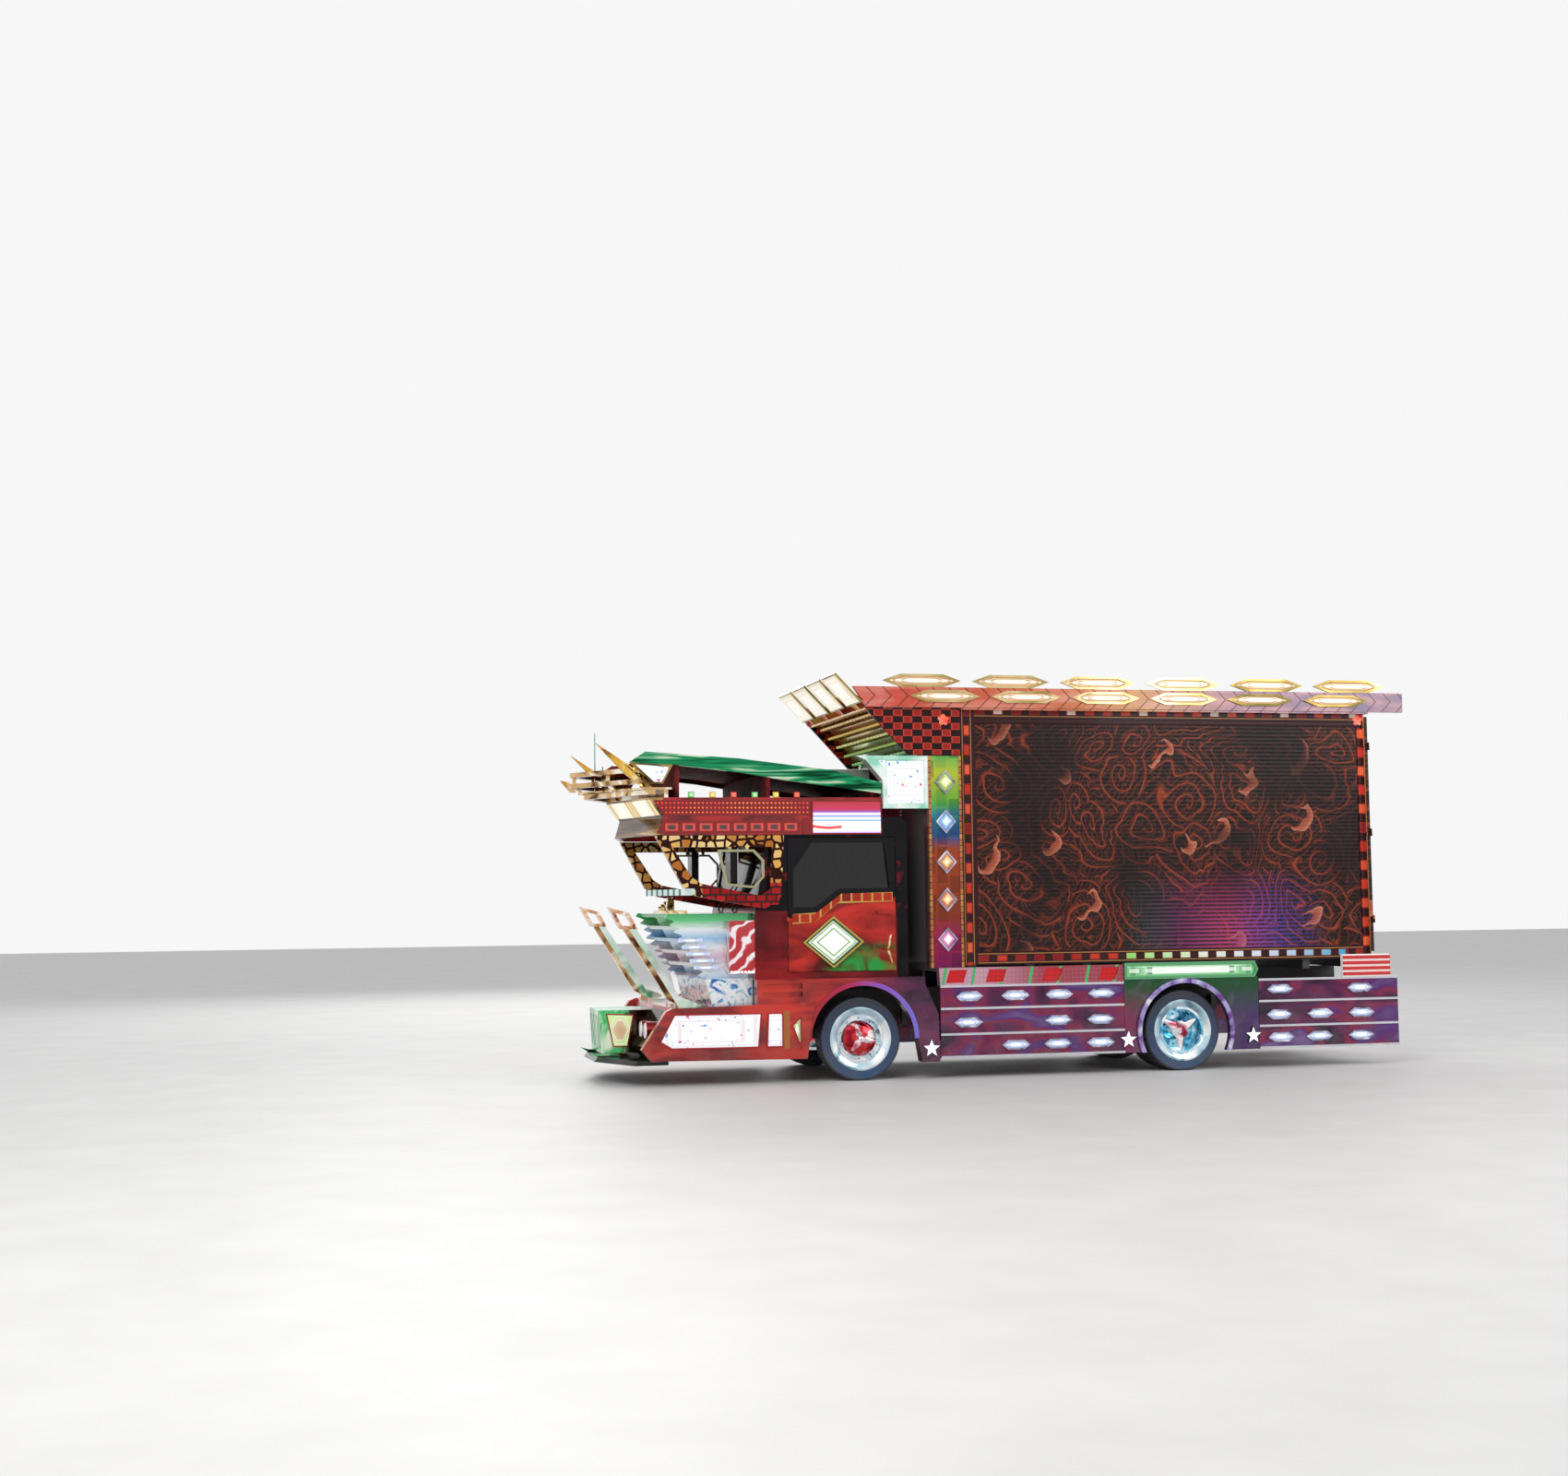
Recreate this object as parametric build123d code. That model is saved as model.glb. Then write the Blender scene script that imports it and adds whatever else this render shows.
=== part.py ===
from build123d import *
import math
import os

# Decorated box truck: a forward-control cab and a van body on a ladder frame, dressed with lamp boards,
# a prow-shaped roof deck and visor, a leaning nose grille and a low bumper with two arms.
# Millimetres. X runs forward and is measured from the front axle, Y to the truck's left, Z up from the
# ground. The finished pieces are moved forward at the end, which centres the truck over the origin.

# Running gear
TYRE_RADIUS = 405
TYRE_WIDTH = 225
TYRE_SIDES = 36
RIM_RADIUS = 222
RIM_WIDTH = 190
RIM_LIP = 18
RIM_WALL = 10
WHEELBASE = 3375
FRONT_WHEEL_Y = 930
REAR_OUTER_Y = 965
TWIN_SPACING = 265
KINGPIN_Y = 720
KINGPIN_RADIUS = 20
SPINDLE_RADIUS = 35
RUNNING_GAP = 0.3
HUB_Z = TYRE_RADIUS
REAR_X = -WHEELBASE

# Ladder frame and what stands on it
RAIL_Y = 420
RAIL_FLANGE = 70
RAIL_WALL = 8
RAIL_BOTTOM = 640
RAIL_DEPTH = 220
RAIL_TOP = RAIL_BOTTOM + RAIL_DEPTH
RAIL_FRONT = 1000
SILL_HEIGHT = 140
SILL_TOP = RAIL_TOP + SILL_HEIGHT
BEARER_HEIGHT = 100
BEARER_TOP = SILL_TOP + BEARER_HEIGHT

# Cab
CAB_HALF = 1050
CAB_FRONT = 1050
CAB_LENGTH = 1550
CAB_REAR = CAB_FRONT - CAB_LENGTH
CAB_FLOOR = SILL_TOP
CAB_HEIGHT = 1570
CAB_ROOF = CAB_FLOOR + CAB_HEIGHT
CAB_WALL = 45
WAIST_Z = CAB_FLOOR + 600
DOOR_FRONT = CAB_FRONT - 330
DOOR_REAR = CAB_REAR + 120
DOOR_BOTTOM = CAB_FLOOR + 60
DOOR_TOP = CAB_ROOF - 195
DOOR_GAP = 6

# Van body
BOX_GAP = 540
BOX_LENGTH = 4460
BOX_FRONT = CAB_REAR - BOX_GAP
BOX_REAR = BOX_FRONT - BOX_LENGTH
BOX_HALF = 1100
FLOOR_THICK = 60
BOX_FLOOR = BEARER_TOP + FLOOR_THICK
BOX_HEIGHT = 2470
BOX_TOP = BOX_FLOOR + BOX_HEIGHT
BOX_WALL = 40
BORDER_PROUD = 14
BORDER_WIDTH = 130
REAR_POST = 60
RAIL_REAR = BOX_REAR + 80

# Dress: what stands out from the cab's and the body's sides
FRONT_OUT = 100
FRONT_HALF = CAB_HALF + FRONT_OUT
SKIRT_OUT = 50
SKIRT_HALF = BOX_HALF + SKIRT_OUT
SKIRT_THICK = 40
SKIRT_BOTTOM = 200
SKIRT_TOP = RAIL_TOP + 50
BOARD_OUT = 100
BOARD_HALF = BOX_HALF + BOARD_OUT
BOARD_THICK = 50
BOARD_HEIGHT = 200
BOARD_BOTTOM = BOX_TOP + 20
BOARD_TOP = BOARD_BOTTOM + BOARD_HEIGHT
BOARD_REAR = BOX_REAR - 400
NOSE_TIP_X = 2800

nodes = {}


def add(name, *shapes):
    nodes[name] = list(shapes)


def block(x0, x1, y0, y1, z0, z1):
    return Pos(x0, y0, z0) * Box(x1 - x0, y1 - y0, z1 - z0, align=(Align.MIN, Align.MIN, Align.MIN))


def across(x0, x1, half, z0, z1):
    return block(x0, x1, -half, half, z0, z1)


def side_plate(points, y0, y1):
    face = Face(Wire.make_polygon([(x, y0, z) for x, z in points]))
    return extrude(face, amount=y1 - y0, dir=(0, 1, 0))


def cross_plate(points, half):
    return side_plate(points, -half, half)


def plan_plate(points, z0, z1):
    face = Face(Wire.make_polygon([(x, y, z0) for x, y in points]))
    return extrude(face, amount=z1 - z0, dir=(0, 0, 1))


def outset(points, gap):
    """The outline moved outward by gap, or inward where it is negative, with mitred corners."""
    following = points[1:] + points[:1]
    area = sum(x0 * z1 - x1 * z0 for (x0, z0), (x1, z1) in zip(points, following))
    turn = 1 if area > 0 else -1
    normals = []
    for (x0, z0), (x1, z1) in zip(points, following):
        length = math.hypot(x1 - x0, z1 - z0)
        normals.append((turn * (z1 - z0) / length, turn * (x0 - x1) / length))
    moved = []
    for k, (x, z) in enumerate(points):
        before = normals[k - 1]
        after = normals[k]
        share = gap / (1 + before[0] * after[0] + before[1] * after[1])
        moved.append((x + share * (before[0] + after[0]), z + share * (before[1] + after[1])))
    return moved


def rod_x(y, z, radius, x0, x1):
    return extrude(Plane(origin=(x0, y, z), z_dir=(1, 0, 0)) * Circle(radius), amount=x1 - x0)


def rod_y(x, z, radius, y0, y1):
    return extrude(Plane(origin=(x, y0, z), z_dir=(0, 1, 0)) * Circle(radius), amount=y1 - y0)


def rod_z(x, y, radius, z0, z1):
    return Pos(x, y, z0) * Cylinder(radius, z1 - z0, align=(Align.CENTER, Align.CENTER, Align.MIN))


def mirrored(shape):
    return mirror(shape, Plane.XZ)


def pair(shape):
    return [shape, mirrored(shape)]


def both(shape):
    return shape + mirrored(shape)


def ring_y(profile, x, z):
    """Turns a (y, radius) profile about the wheel line at x, z."""
    face = Face(Wire.make_polygon([(x, y, z + r) for y, r in profile]))
    return revolve(face, Axis((x, 0, z), (0, 1, 0)), 360)


def raked(low, z_low, high, z_high):
    """A ruled block between two plans of as many corners."""
    wires = [Wire.make_polygon([(x, y, z) for x, y in plan]) for plan, z in ((low, z_low), (high, z_high))]
    return Solid.make_loft(wires, ruled=True)


def prow(back, corner, nose, half, nose_half=10):
    return [(back, -half), (corner, -half), (nose, -nose_half), (nose, nose_half), (corner, half),
            (back, half)]


def lens_outline(x, z, length, height):
    """A lamp's outline with pointed ends, lying along X."""
    end = length / 2
    shoulder = 0.55 * end
    rise = height / 2
    return [(x - end, z), (x - shoulder, z - rise), (x + shoulder, z - rise), (x + end, z),
            (x + shoulder, z + rise),
            (x - shoulder, z + rise)]


def diamond_outline(x, z, width, height):
    return [(x - width / 2, z), (x, z - height / 2), (x + width / 2, z), (x, z + height / 2)]


def star_outline(x, z, radius):
    points = []
    for k in range(10):
        r = radius if k % 2 == 0 else 0.42 * radius
        a = math.radians(90 + 36 * k)
        points.append((x + r * math.cos(a), z + r * math.sin(a)))
    return points


def framed_lamp(outline, rim, y, depth):
    """A lamp plate at y: a raised rim round a sunk glass, with the outline as its edge."""
    inner = outset(outline, -rim)
    shape = side_plate(outline, y, y + depth)
    return shape - side_plate(inner, y + depth * 0.45, y + depth + 1)


# Ladder frame: two channel rails with cross members between their webs, and brackets out to the bumper.
BUMPER_BACK = 1250
BUMPER_TOP = 745
BUMPER_WALL = 40
web_y = RAIL_Y - RAIL_WALL
MEMBER_LENGTH = 90
MEMBER_DEPTH = 140
BRACKET_WIDTH = 57
BRACKET_DEPTH = 60
# The front members stand clear of the engine, the gearbox and the shaft. The others are evenly spaced.
FRONT_MEMBERS = (RAIL_FRONT - 140, -1230, -1900)
REAR_MEMBERS = 4
member_first = REAR_X + 475
member_step = (member_first - (RAIL_REAR + 100)) / (REAR_MEMBERS - 1)
member_rows = list(FRONT_MEMBERS) + [member_first - k * member_step for k in range(REAR_MEMBERS)]
rail = block(RAIL_REAR, RAIL_FRONT, RAIL_Y - RAIL_FLANGE, RAIL_Y, RAIL_BOTTOM, RAIL_TOP)
rail -= block(RAIL_REAR - 1, RAIL_FRONT + 1, RAIL_Y - RAIL_FLANGE - 1, web_y, RAIL_BOTTOM + RAIL_WALL,
              RAIL_TOP - RAIL_WALL)
ladder = both(rail)
member_top = RAIL_TOP - RAIL_WALL
for x in member_rows:
    ladder += across(x - MEMBER_LENGTH / 2, x + MEMBER_LENGTH / 2, web_y + 1, member_top - MEMBER_DEPTH,
                     member_top + 1)
arm_x = BUMPER_BACK + 50
bracket = block(RAIL_FRONT - 150, arm_x, web_y - BRACKET_WIDTH, web_y, RAIL_BOTTOM - BRACKET_DEPTH,
                RAIL_BOTTOM + 1)
bracket += block(BUMPER_BACK + 5, arm_x, web_y - BRACKET_WIDTH, web_y, RAIL_BOTTOM, BUMPER_TOP - BUMPER_WALL)
ladder += both(bracket)

# Rear coupling: a tongue behind the last cross member with a bore for a towing pin.
TOW_BORE = 20
TOW_THICK = 40
TOW_REACH = 230
TOW_HALF = 60
tow_z = RAIL_TOP - 110
tow_x = RAIL_REAR - TOW_REACH
tongue = across(tow_x, RAIL_REAR + 100, TOW_HALF, tow_z - TOW_THICK / 2, tow_z + TOW_THICK / 2)
tongue += rod_z(tow_x, 0, TOW_HALF, tow_z - TOW_THICK / 2, tow_z + TOW_THICK / 2)
tongue -= rod_z(tow_x, 0, TOW_BORE, tow_z - TOW_THICK, tow_z + TOW_THICK)
ladder += tongue
add("ladder_frame", ladder)

# Floor bearers: long sills on the rails, and cross bearers out to the side panels.
BEARERS = 8
BEARER_WIDTH = 80
bearer_first = BOX_FRONT - 120
bearer_step = (bearer_first - (BOX_REAR + 120)) / (BEARERS - 1)
body_back = BOX_REAR + REAR_POST
inner_half = BOX_HALF - BOX_WALL
floor = both(block(body_back, BOX_FRONT - 60, RAIL_Y - RAIL_FLANGE, RAIL_Y, RAIL_TOP, SILL_TOP))
for k in range(BEARERS):
    x = bearer_first - k * bearer_step
    floor += across(x - BEARER_WIDTH / 2, x + BEARER_WIDTH / 2, inner_half, SILL_TOP, BEARER_TOP)
floor += across(body_back, BOX_FRONT - BOX_WALL, inner_half, BEARER_TOP, BOX_FLOOR)
add("box_floor", floor)

# Front axle: a dropped beam between the kingpin eyes.
EYE_HALF = 55
EYE_RADIUS = 42
eye_bottom = HUB_Z - EYE_HALF
eye_top = HUB_Z + EYE_HALF
BEAM_DROP = 35
BEAM_DEPTH = 80
BEAM_HALF_X = 45
beam_top = HUB_Z - BEAM_DROP
beam_bottom = beam_top - BEAM_DEPTH
bend_out = KINGPIN_Y - 70
bend_in = KINGPIN_Y - 150
beam_points = [(-KINGPIN_Y, eye_bottom), (-KINGPIN_Y, eye_top), (-bend_out, eye_top), (-bend_in, beam_top),
               (bend_in, beam_top), (bend_out, eye_top), (KINGPIN_Y, eye_top), (KINGPIN_Y, eye_bottom),
               (bend_out, eye_bottom), (bend_in, beam_bottom), (-bend_in, beam_bottom),
               (-bend_out, eye_bottom)]
beam = extrude(Face(Wire.make_polygon([(-BEAM_HALF_X, y, z) for y, z in beam_points])),
               amount=2 * BEAM_HALF_X,
               dir=(1, 0, 0))
LUG = 50
for side in (-1, 1):
    beam += rod_z(0, side * KINGPIN_Y, EYE_RADIUS + 4, eye_bottom, eye_top)
    beam += rod_z(0, side * KINGPIN_Y, KINGPIN_RADIUS, eye_bottom - LUG - 5, eye_top + LUG + 5)
add("front_axle", beam)

# Rear axle: a tube with the final drive bulge in its middle and a thinner stub at each end.
AXLE_TUBE = 60
DRIVE_RADIUS = 175
HUB_FACE_Y = 560
stub_end_y = REAR_OUTER_Y + 45
drive_bulge = ring_y([(-170, 0), (-170, AXLE_TUBE), (-110, DRIVE_RADIUS - 30), (-60, DRIVE_RADIUS),
                      (60, DRIVE_RADIUS),
                      (110, DRIVE_RADIUS - 30), (170, AXLE_TUBE), (170, 0)], REAR_X, HUB_Z)
axle = rod_y(REAR_X, HUB_Z, AXLE_TUBE, -HUB_FACE_Y, HUB_FACE_Y)
axle += rod_y(REAR_X, HUB_Z, SPINDLE_RADIUS, -stub_end_y, stub_end_y)
axle += drive_bulge
add("rear_axle", axle)

# Leaf springs: three leaves a side on each axle, hung from brackets on the outside of the rails.
SPRING_HALF = 620
SPRING_WIDTH = 70
LEAF = 16
PERCH = 25
FRONT_CAMBER = 95
REAR_CAMBER = 60
spring_in = RAIL_Y + 15
spring_out = spring_in + SPRING_WIDTH


def leaf_spring(x, seat, half, camber):
    shape = None
    for k, share in enumerate((1.0, 0.78, 0.55)):
        reach = half * share
        rise = camber * share * share
        z = seat + LEAF * (2 - k)
        low = ThreePointArc((x - reach, spring_in, z + rise), (x, spring_in, z),
                            (x + reach, spring_in, z + rise))
        top = ThreePointArc((x + reach, spring_in, z + rise + LEAF), (x, spring_in, z + LEAF),
                            (x - reach, spring_in, z + rise + LEAF))
        ends = [Line(low @ 1, top @ 0), Line(top @ 1, low @ 0)]
        leaf = extrude(Face(Wire([low, ends[0], top, ends[1]])), amount=SPRING_WIDTH, dir=(0, 1, 0))
        shape = leaf if shape is None else shape + leaf
    tip = seat + 2 * LEAF + camber
    for end in (-1, 1):
        shape += block(x + end * half - 30, x + end * half + 30, RAIL_Y, spring_out, tip, RAIL_BOTTOM + 90)
    return shape


front_spring = leaf_spring(0, beam_top, SPRING_HALF, FRONT_CAMBER)
perch_top = HUB_Z + AXLE_TUBE + PERCH
rear_spring = leaf_spring(REAR_X, perch_top, SPRING_HALF, REAR_CAMBER)
rear_spring += block(REAR_X - 60, REAR_X + 60, spring_in, spring_out, HUB_Z + AXLE_TUBE - 8, perch_top + 4)
rear_spring -= rod_y(REAR_X, HUB_Z, AXLE_TUBE, 0, HUB_FACE_Y)
add("leaf_springs", *pair(front_spring), *pair(rear_spring))

# Engine as one block between the rails, with its mounts on the lower flanges.
ENGINE_HALF = 320
ENGINE_REAR = -560
ENGINE_FRONT = 700
ENGINE_BOTTOM = RAIL_BOTTOM - 140
engine = across(ENGINE_REAR, ENGINE_FRONT, ENGINE_HALF, ENGINE_BOTTOM, CAB_FLOOR - 40)
for x in (ENGINE_REAR + 140, ENGINE_FRONT - 140):
    engine += across(x - 40, x + 40, web_y, RAIL_BOTTOM + RAIL_WALL, RAIL_BOTTOM + 80)
add("engine", engine)

# Gearbox behind the engine, and the propeller shaft down to the rear axle.
GEARBOX_LENGTH = 590
GEARBOX_HALF = 150
SHAFT_RADIUS = 45
gearbox_end = ENGINE_REAR - GEARBOX_LENGTH
drive = across(gearbox_end, ENGINE_REAR, GEARBOX_HALF, ENGINE_BOTTOM, ENGINE_BOTTOM + 2 * GEARBOX_HALF)
shaft_start = Vector(gearbox_end, 0, ENGINE_BOTTOM + 140)
shaft_end = Vector(REAR_X + DRIVE_RADIUS - 20, 0, HUB_Z + 20)
shaft_run = shaft_end - shaft_start
drive += extrude(Plane(origin=shaft_start, z_dir=shaft_run) * Circle(SHAFT_RADIUS), amount=shaft_run.length)
add("drive_shaft", drive - drive_bulge)

# Fuel tank on the right and silencer on the left, each on the rail's web.
TANK_FRONT = -1250
TANK_LENGTH = 1100
TANK_DEPTH = 510
tank = block(TANK_FRONT - TANK_LENGTH, TANK_FRONT, -RAIL_Y - TANK_DEPTH, -RAIL_Y, RAIL_TOP - 480,
             RAIL_TOP - 20)
tank = fillet(tank.edges().filter_by(Axis.X), 60)
SILENCER_RADIUS = 150
SILENCER_LENGTH = 800
silencer_x = TANK_FRONT - 250
silencer_y = RAIL_Y + SILENCER_RADIUS + 40
silencer = rod_x(silencer_y, RAIL_BOTTOM - 80, SILENCER_RADIUS, silencer_x - SILENCER_LENGTH, silencer_x)
for x in (silencer_x - SILENCER_LENGTH + 80, silencer_x - 120):
    silencer += block(x - 30, x + 30, RAIL_Y, silencer_y, RAIL_BOTTOM, RAIL_BOTTOM + 80)
tail_pipe = rod_x(silencer_y, RAIL_BOTTOM - 80, 35, silencer_x - SILENCER_LENGTH - 260,
                  silencer_x - SILENCER_LENGTH + 10)
silencer += tail_pipe
add("under_tanks", tank, silencer)

# Knuckles: a fork over each kingpin eye with the wheel spindle.
FORK = 55
FORK_BACK = 30
SPINDLE_REACH = 70


def knuckle():
    shape = block(-EYE_RADIUS, EYE_RADIUS, KINGPIN_Y + FORK, KINGPIN_Y + FORK + FORK_BACK, eye_bottom - LUG,
                  eye_top + LUG)
    for z0, z1 in ((eye_bottom - LUG, eye_bottom - RUNNING_GAP), (eye_top + RUNNING_GAP, eye_top + LUG)):
        shape += rod_z(0, KINGPIN_Y, EYE_RADIUS, z0, z1)
        shape += block(-EYE_RADIUS, EYE_RADIUS, KINGPIN_Y, KINGPIN_Y + FORK, z0, z1)
    shape += rod_y(0, HUB_Z, SPINDLE_RADIUS, KINGPIN_Y + FORK, FRONT_WHEEL_Y + SPINDLE_REACH)
    return shape - rod_z(0, KINGPIN_Y, KINGPIN_RADIUS + RUNNING_GAP, eye_bottom - 2 * LUG, eye_top + 2 * LUG)


add("knuckle_left", knuckle())
add("knuckle_right", mirrored(knuckle()))

# Tyres: flat-sided rings of TYRE_SIDES faces, one of them flat on the ground.
bead = RIM_WIDTH / 2
flange = 12
lip_radius = RIM_RADIUS + RIM_LIP
shoulder = TYRE_WIDTH / 2
# Columns: distance outward from the tyre's middle, radius. The inner half is the same the other way round.
TYRE_HALF = [(bead - flange, RIM_RADIUS), (bead - flange, lip_radius + 2), (shoulder - 6, lip_radius + 30),
             (shoulder, TYRE_RADIUS - 75), (shoulder - 14, TYRE_RADIUS - 20), (shoulder - 36, TYRE_RADIUS)]


def flat_ring(x, y, radius):
    """The corners of a ring of TYRE_SIDES flats about the wheel line at x, the lowest flat level."""
    corner = radius / math.cos(math.pi / TYRE_SIDES)
    turns = [math.pi * (2 * k + 1) / TYRE_SIDES for k in range(TYRE_SIDES)]
    return [(x + corner * math.sin(a), y, HUB_Z - corner * math.cos(a)) for a in turns]


def tyre(x, y):
    profile = [(-a, r) for a, r in TYRE_HALF] + [(a, r) for a, r in reversed(TYRE_HALF)]
    rings = [flat_ring(x, y + a, r) for a, r in profile]
    flats = []
    for near, far in zip(rings, rings[1:] + rings[:1]):
        for k in range(TYRE_SIDES):
            flats.append(Face(Wire.make_polygon([near[k - 1], near[k], far[k], far[k - 1]])))
    return Solid(Shell(flats))


# Wheels. Profiles are (distance outward from the tyre's middle, radius).
rim_bore = RIM_RADIUS - RIM_WALL
RIM_PROFILE = [(-bead, lip_radius), (-bead + flange, lip_radius), (-bead + flange, RIM_RADIUS),
               (bead - flange, RIM_RADIUS),
               (bead - flange, lip_radius), (bead, lip_radius), (bead, rim_bore), (-bead, rim_bore)]
hub_bore = SPINDLE_RADIUS + RUNNING_GAP
HUB_RADIUS = 110
CAP_RADIUS = 165
web_radius = rim_bore + 2
FRONT_DISC = [(30, hub_bore), (30, web_radius), (44, web_radius), (44, CAP_RADIUS + 12), (56, CAP_RADIUS),
              (82, CAP_RADIUS - 4),
              (108, 128), (124, 78), (128, 0), (72, 0), (72, hub_bore)]
FRONT_HUB = [(-70, hub_bore), (-70, HUB_RADIUS), (31, HUB_RADIUS), (31, hub_bore)]


def at(profile, y):
    return [(y + a, r) for a, r in profile]


def front_wheel():
    shape = ring_y(at(RIM_PROFILE, FRONT_WHEEL_Y), 0, HUB_Z)
    for profile in (FRONT_DISC, FRONT_HUB):
        shape += ring_y(at(profile, FRONT_WHEEL_Y), 0, HUB_Z)
    return shape


SPINNER_ARMS = 3


def rear_wheel():
    inner_y = REAR_OUTER_Y - TWIN_SPACING
    disc_y = (REAR_OUTER_Y + inner_y) / 2
    shape = ring_y(at(RIM_PROFILE, REAR_OUTER_Y), REAR_X, HUB_Z)
    shape += ring_y(at(RIM_PROFILE, inner_y), REAR_X, HUB_Z)
    hub = [(HUB_FACE_Y + 5, hub_bore), (HUB_FACE_Y + 5, 150), (disc_y - 40, 150), (disc_y - 12, 140),
           (disc_y - 12, web_radius), (disc_y + 12, web_radius), (disc_y + 12, HUB_RADIUS),
           (stub_end_y + 12, HUB_RADIUS - 20), (stub_end_y + 24, 0), (stub_end_y + 4, 0),
           (stub_end_y + 4, hub_bore)]
    shape += ring_y(hub, REAR_X, HUB_Z)
    barrel = [(disc_y - 40, rim_bore - 10), (disc_y - 40, web_radius), (disc_y + 40, web_radius),
              (disc_y + 40, rim_bore - 10)]
    shape += ring_y(barrel, REAR_X, HUB_Z)
    arm = side_plate([(60, -34), (150, -24), (rim_bore + 2, -9), (rim_bore + 2, 9), (150, 24), (60, 34)],
                     -10, 10)
    for k in range(SPINNER_ARMS):
        shape += Pos(REAR_X, stub_end_y - 6, HUB_Z) * Rot(0, 90 + 360 / SPINNER_ARMS * k, 0) * arm
    return shape


front = front_wheel()
rear = rear_wheel()
front_tyre = tyre(0, FRONT_WHEEL_Y)
twin_tyres = [tyre(REAR_X, y) for y in (REAR_OUTER_Y, REAR_OUTER_Y - TWIN_SPACING)]
add("front_wheel_left", front)
add("front_wheel_right", mirrored(front))
add("front_tyre_left", front_tyre)
add("front_tyre_right", mirrored(front_tyre))
add("rear_wheel_left", rear)
add("rear_wheel_right", mirrored(rear))
add("rear_tyres_left", *twin_tyres)
add("rear_tyres_right", *[mirrored(t) for t in twin_tyres])

# Cab shell: hollow, with door openings and a windscreen opening. The screen line leans back above the waist.
SCREEN_LEAN = 145
SCREEN_SIDE = 110
HEADER = 80
header_z = CAB_ROOF - HEADER
screen_top_x = CAB_FRONT - SCREEN_LEAN
CAB_PROFILE = [(CAB_REAR, CAB_FLOOR), (CAB_FRONT, CAB_FLOOR), (CAB_FRONT, WAIST_Z), (screen_top_x, header_z),
               (screen_top_x - 75, CAB_ROOF - 20), (CAB_REAR + 500, CAB_ROOF), (CAB_REAR + 60, CAB_ROOF),
               (CAB_REAR, CAB_ROOF - 60)]
cab = cross_plate(CAB_PROFILE, CAB_HALF) - cross_plate(outset(CAB_PROFILE, -CAB_WALL), CAB_HALF - CAB_WALL)
cab -= across(DOOR_REAR, DOOR_FRONT, CAB_HALF + 10, DOOR_BOTTOM, DOOR_TOP)
screen_half = CAB_HALF - SCREEN_SIDE
screen_bottom = WAIST_Z + 90
screen_top = header_z - 70
cab -= across(screen_top_x - CAB_WALL - 45, CAB_FRONT + 10, screen_half, screen_bottom, screen_top)
HINGE_RADIUS = 9
HINGE_STANDOFF = 2
PIN_RADIUS = 5.7
KNUCKLE = 40
hinge_x = DOOR_FRONT + 2
hinge_y = CAB_HALF + HINGE_RADIUS + HINGE_STANDOFF
cab_hinges = (DOOR_BOTTOM + 190, WAIST_Z - 40)
for z in cab_hinges:
    leaf = rod_z(hinge_x, hinge_y, PIN_RADIUS, z - KNUCKLE, z + KNUCKLE)
    leaf += rod_z(hinge_x, hinge_y, HINGE_RADIUS, z - KNUCKLE, z - RUNNING_GAP)
    leaf += block(hinge_x + 2, hinge_x + 34, CAB_HALF - 12, hinge_y, z - KNUCKLE, z - RUNNING_GAP)
    cab += leaf
    cab += mirrored(leaf)
add("cab_shell", cab)

# Windscreen: a flat pane that fills the leaning opening.
GLASS = 8
GLASS_IN = 15


def screen_x(z):
    return CAB_FRONT - SCREEN_LEAN * (z - WAIST_Z) / (header_z - WAIST_Z)


pane = [(screen_x(screen_bottom) - GLASS_IN, screen_bottom), (screen_x(screen_top) - GLASS_IN, screen_top),
        (screen_x(screen_top) - GLASS_IN - GLASS, screen_top),
        (screen_x(screen_bottom) - GLASS_IN - GLASS, screen_bottom)]
add("windscreen", cross_plate(pane, screen_half))

# Doors: a skin with a stepped belt moulding, a raised window frame, the diamond lamp's frame and a handle.
WINDOW = [(DOOR_REAR + 65, WAIST_Z + 270), (DOOR_REAR + 115, DOOR_TOP - 55),
          (DOOR_FRONT - 250, DOOR_TOP - 55),
          (DOOR_FRONT - 60, DOOR_TOP - 325), (DOOR_FRONT - 60, WAIST_Z + 90),
          (DOOR_FRONT - 290, WAIST_Z + 90),
          (DOOR_FRONT - 540, WAIST_Z + 270)]
BELT = [(DOOR_FRONT - 45, WAIST_Z - 70), (DOOR_FRONT - 45, WAIST_Z + 25), (DOOR_FRONT - 290, WAIST_Z + 40),
        (DOOR_FRONT - 540, WAIST_Z + 220), (DOOR_REAR + 40, WAIST_Z + 230), (DOOR_REAR + 40, WAIST_Z + 140),
        (DOOR_FRONT - 500, WAIST_Z + 125), (DOOR_FRONT - 270, WAIST_Z - 55)]
DOOR_LAMP = diamond_outline(DOOR_FRONT - 450, WAIST_Z - 250, 620, 510)
skin_in = CAB_HALF - CAB_WALL


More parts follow.
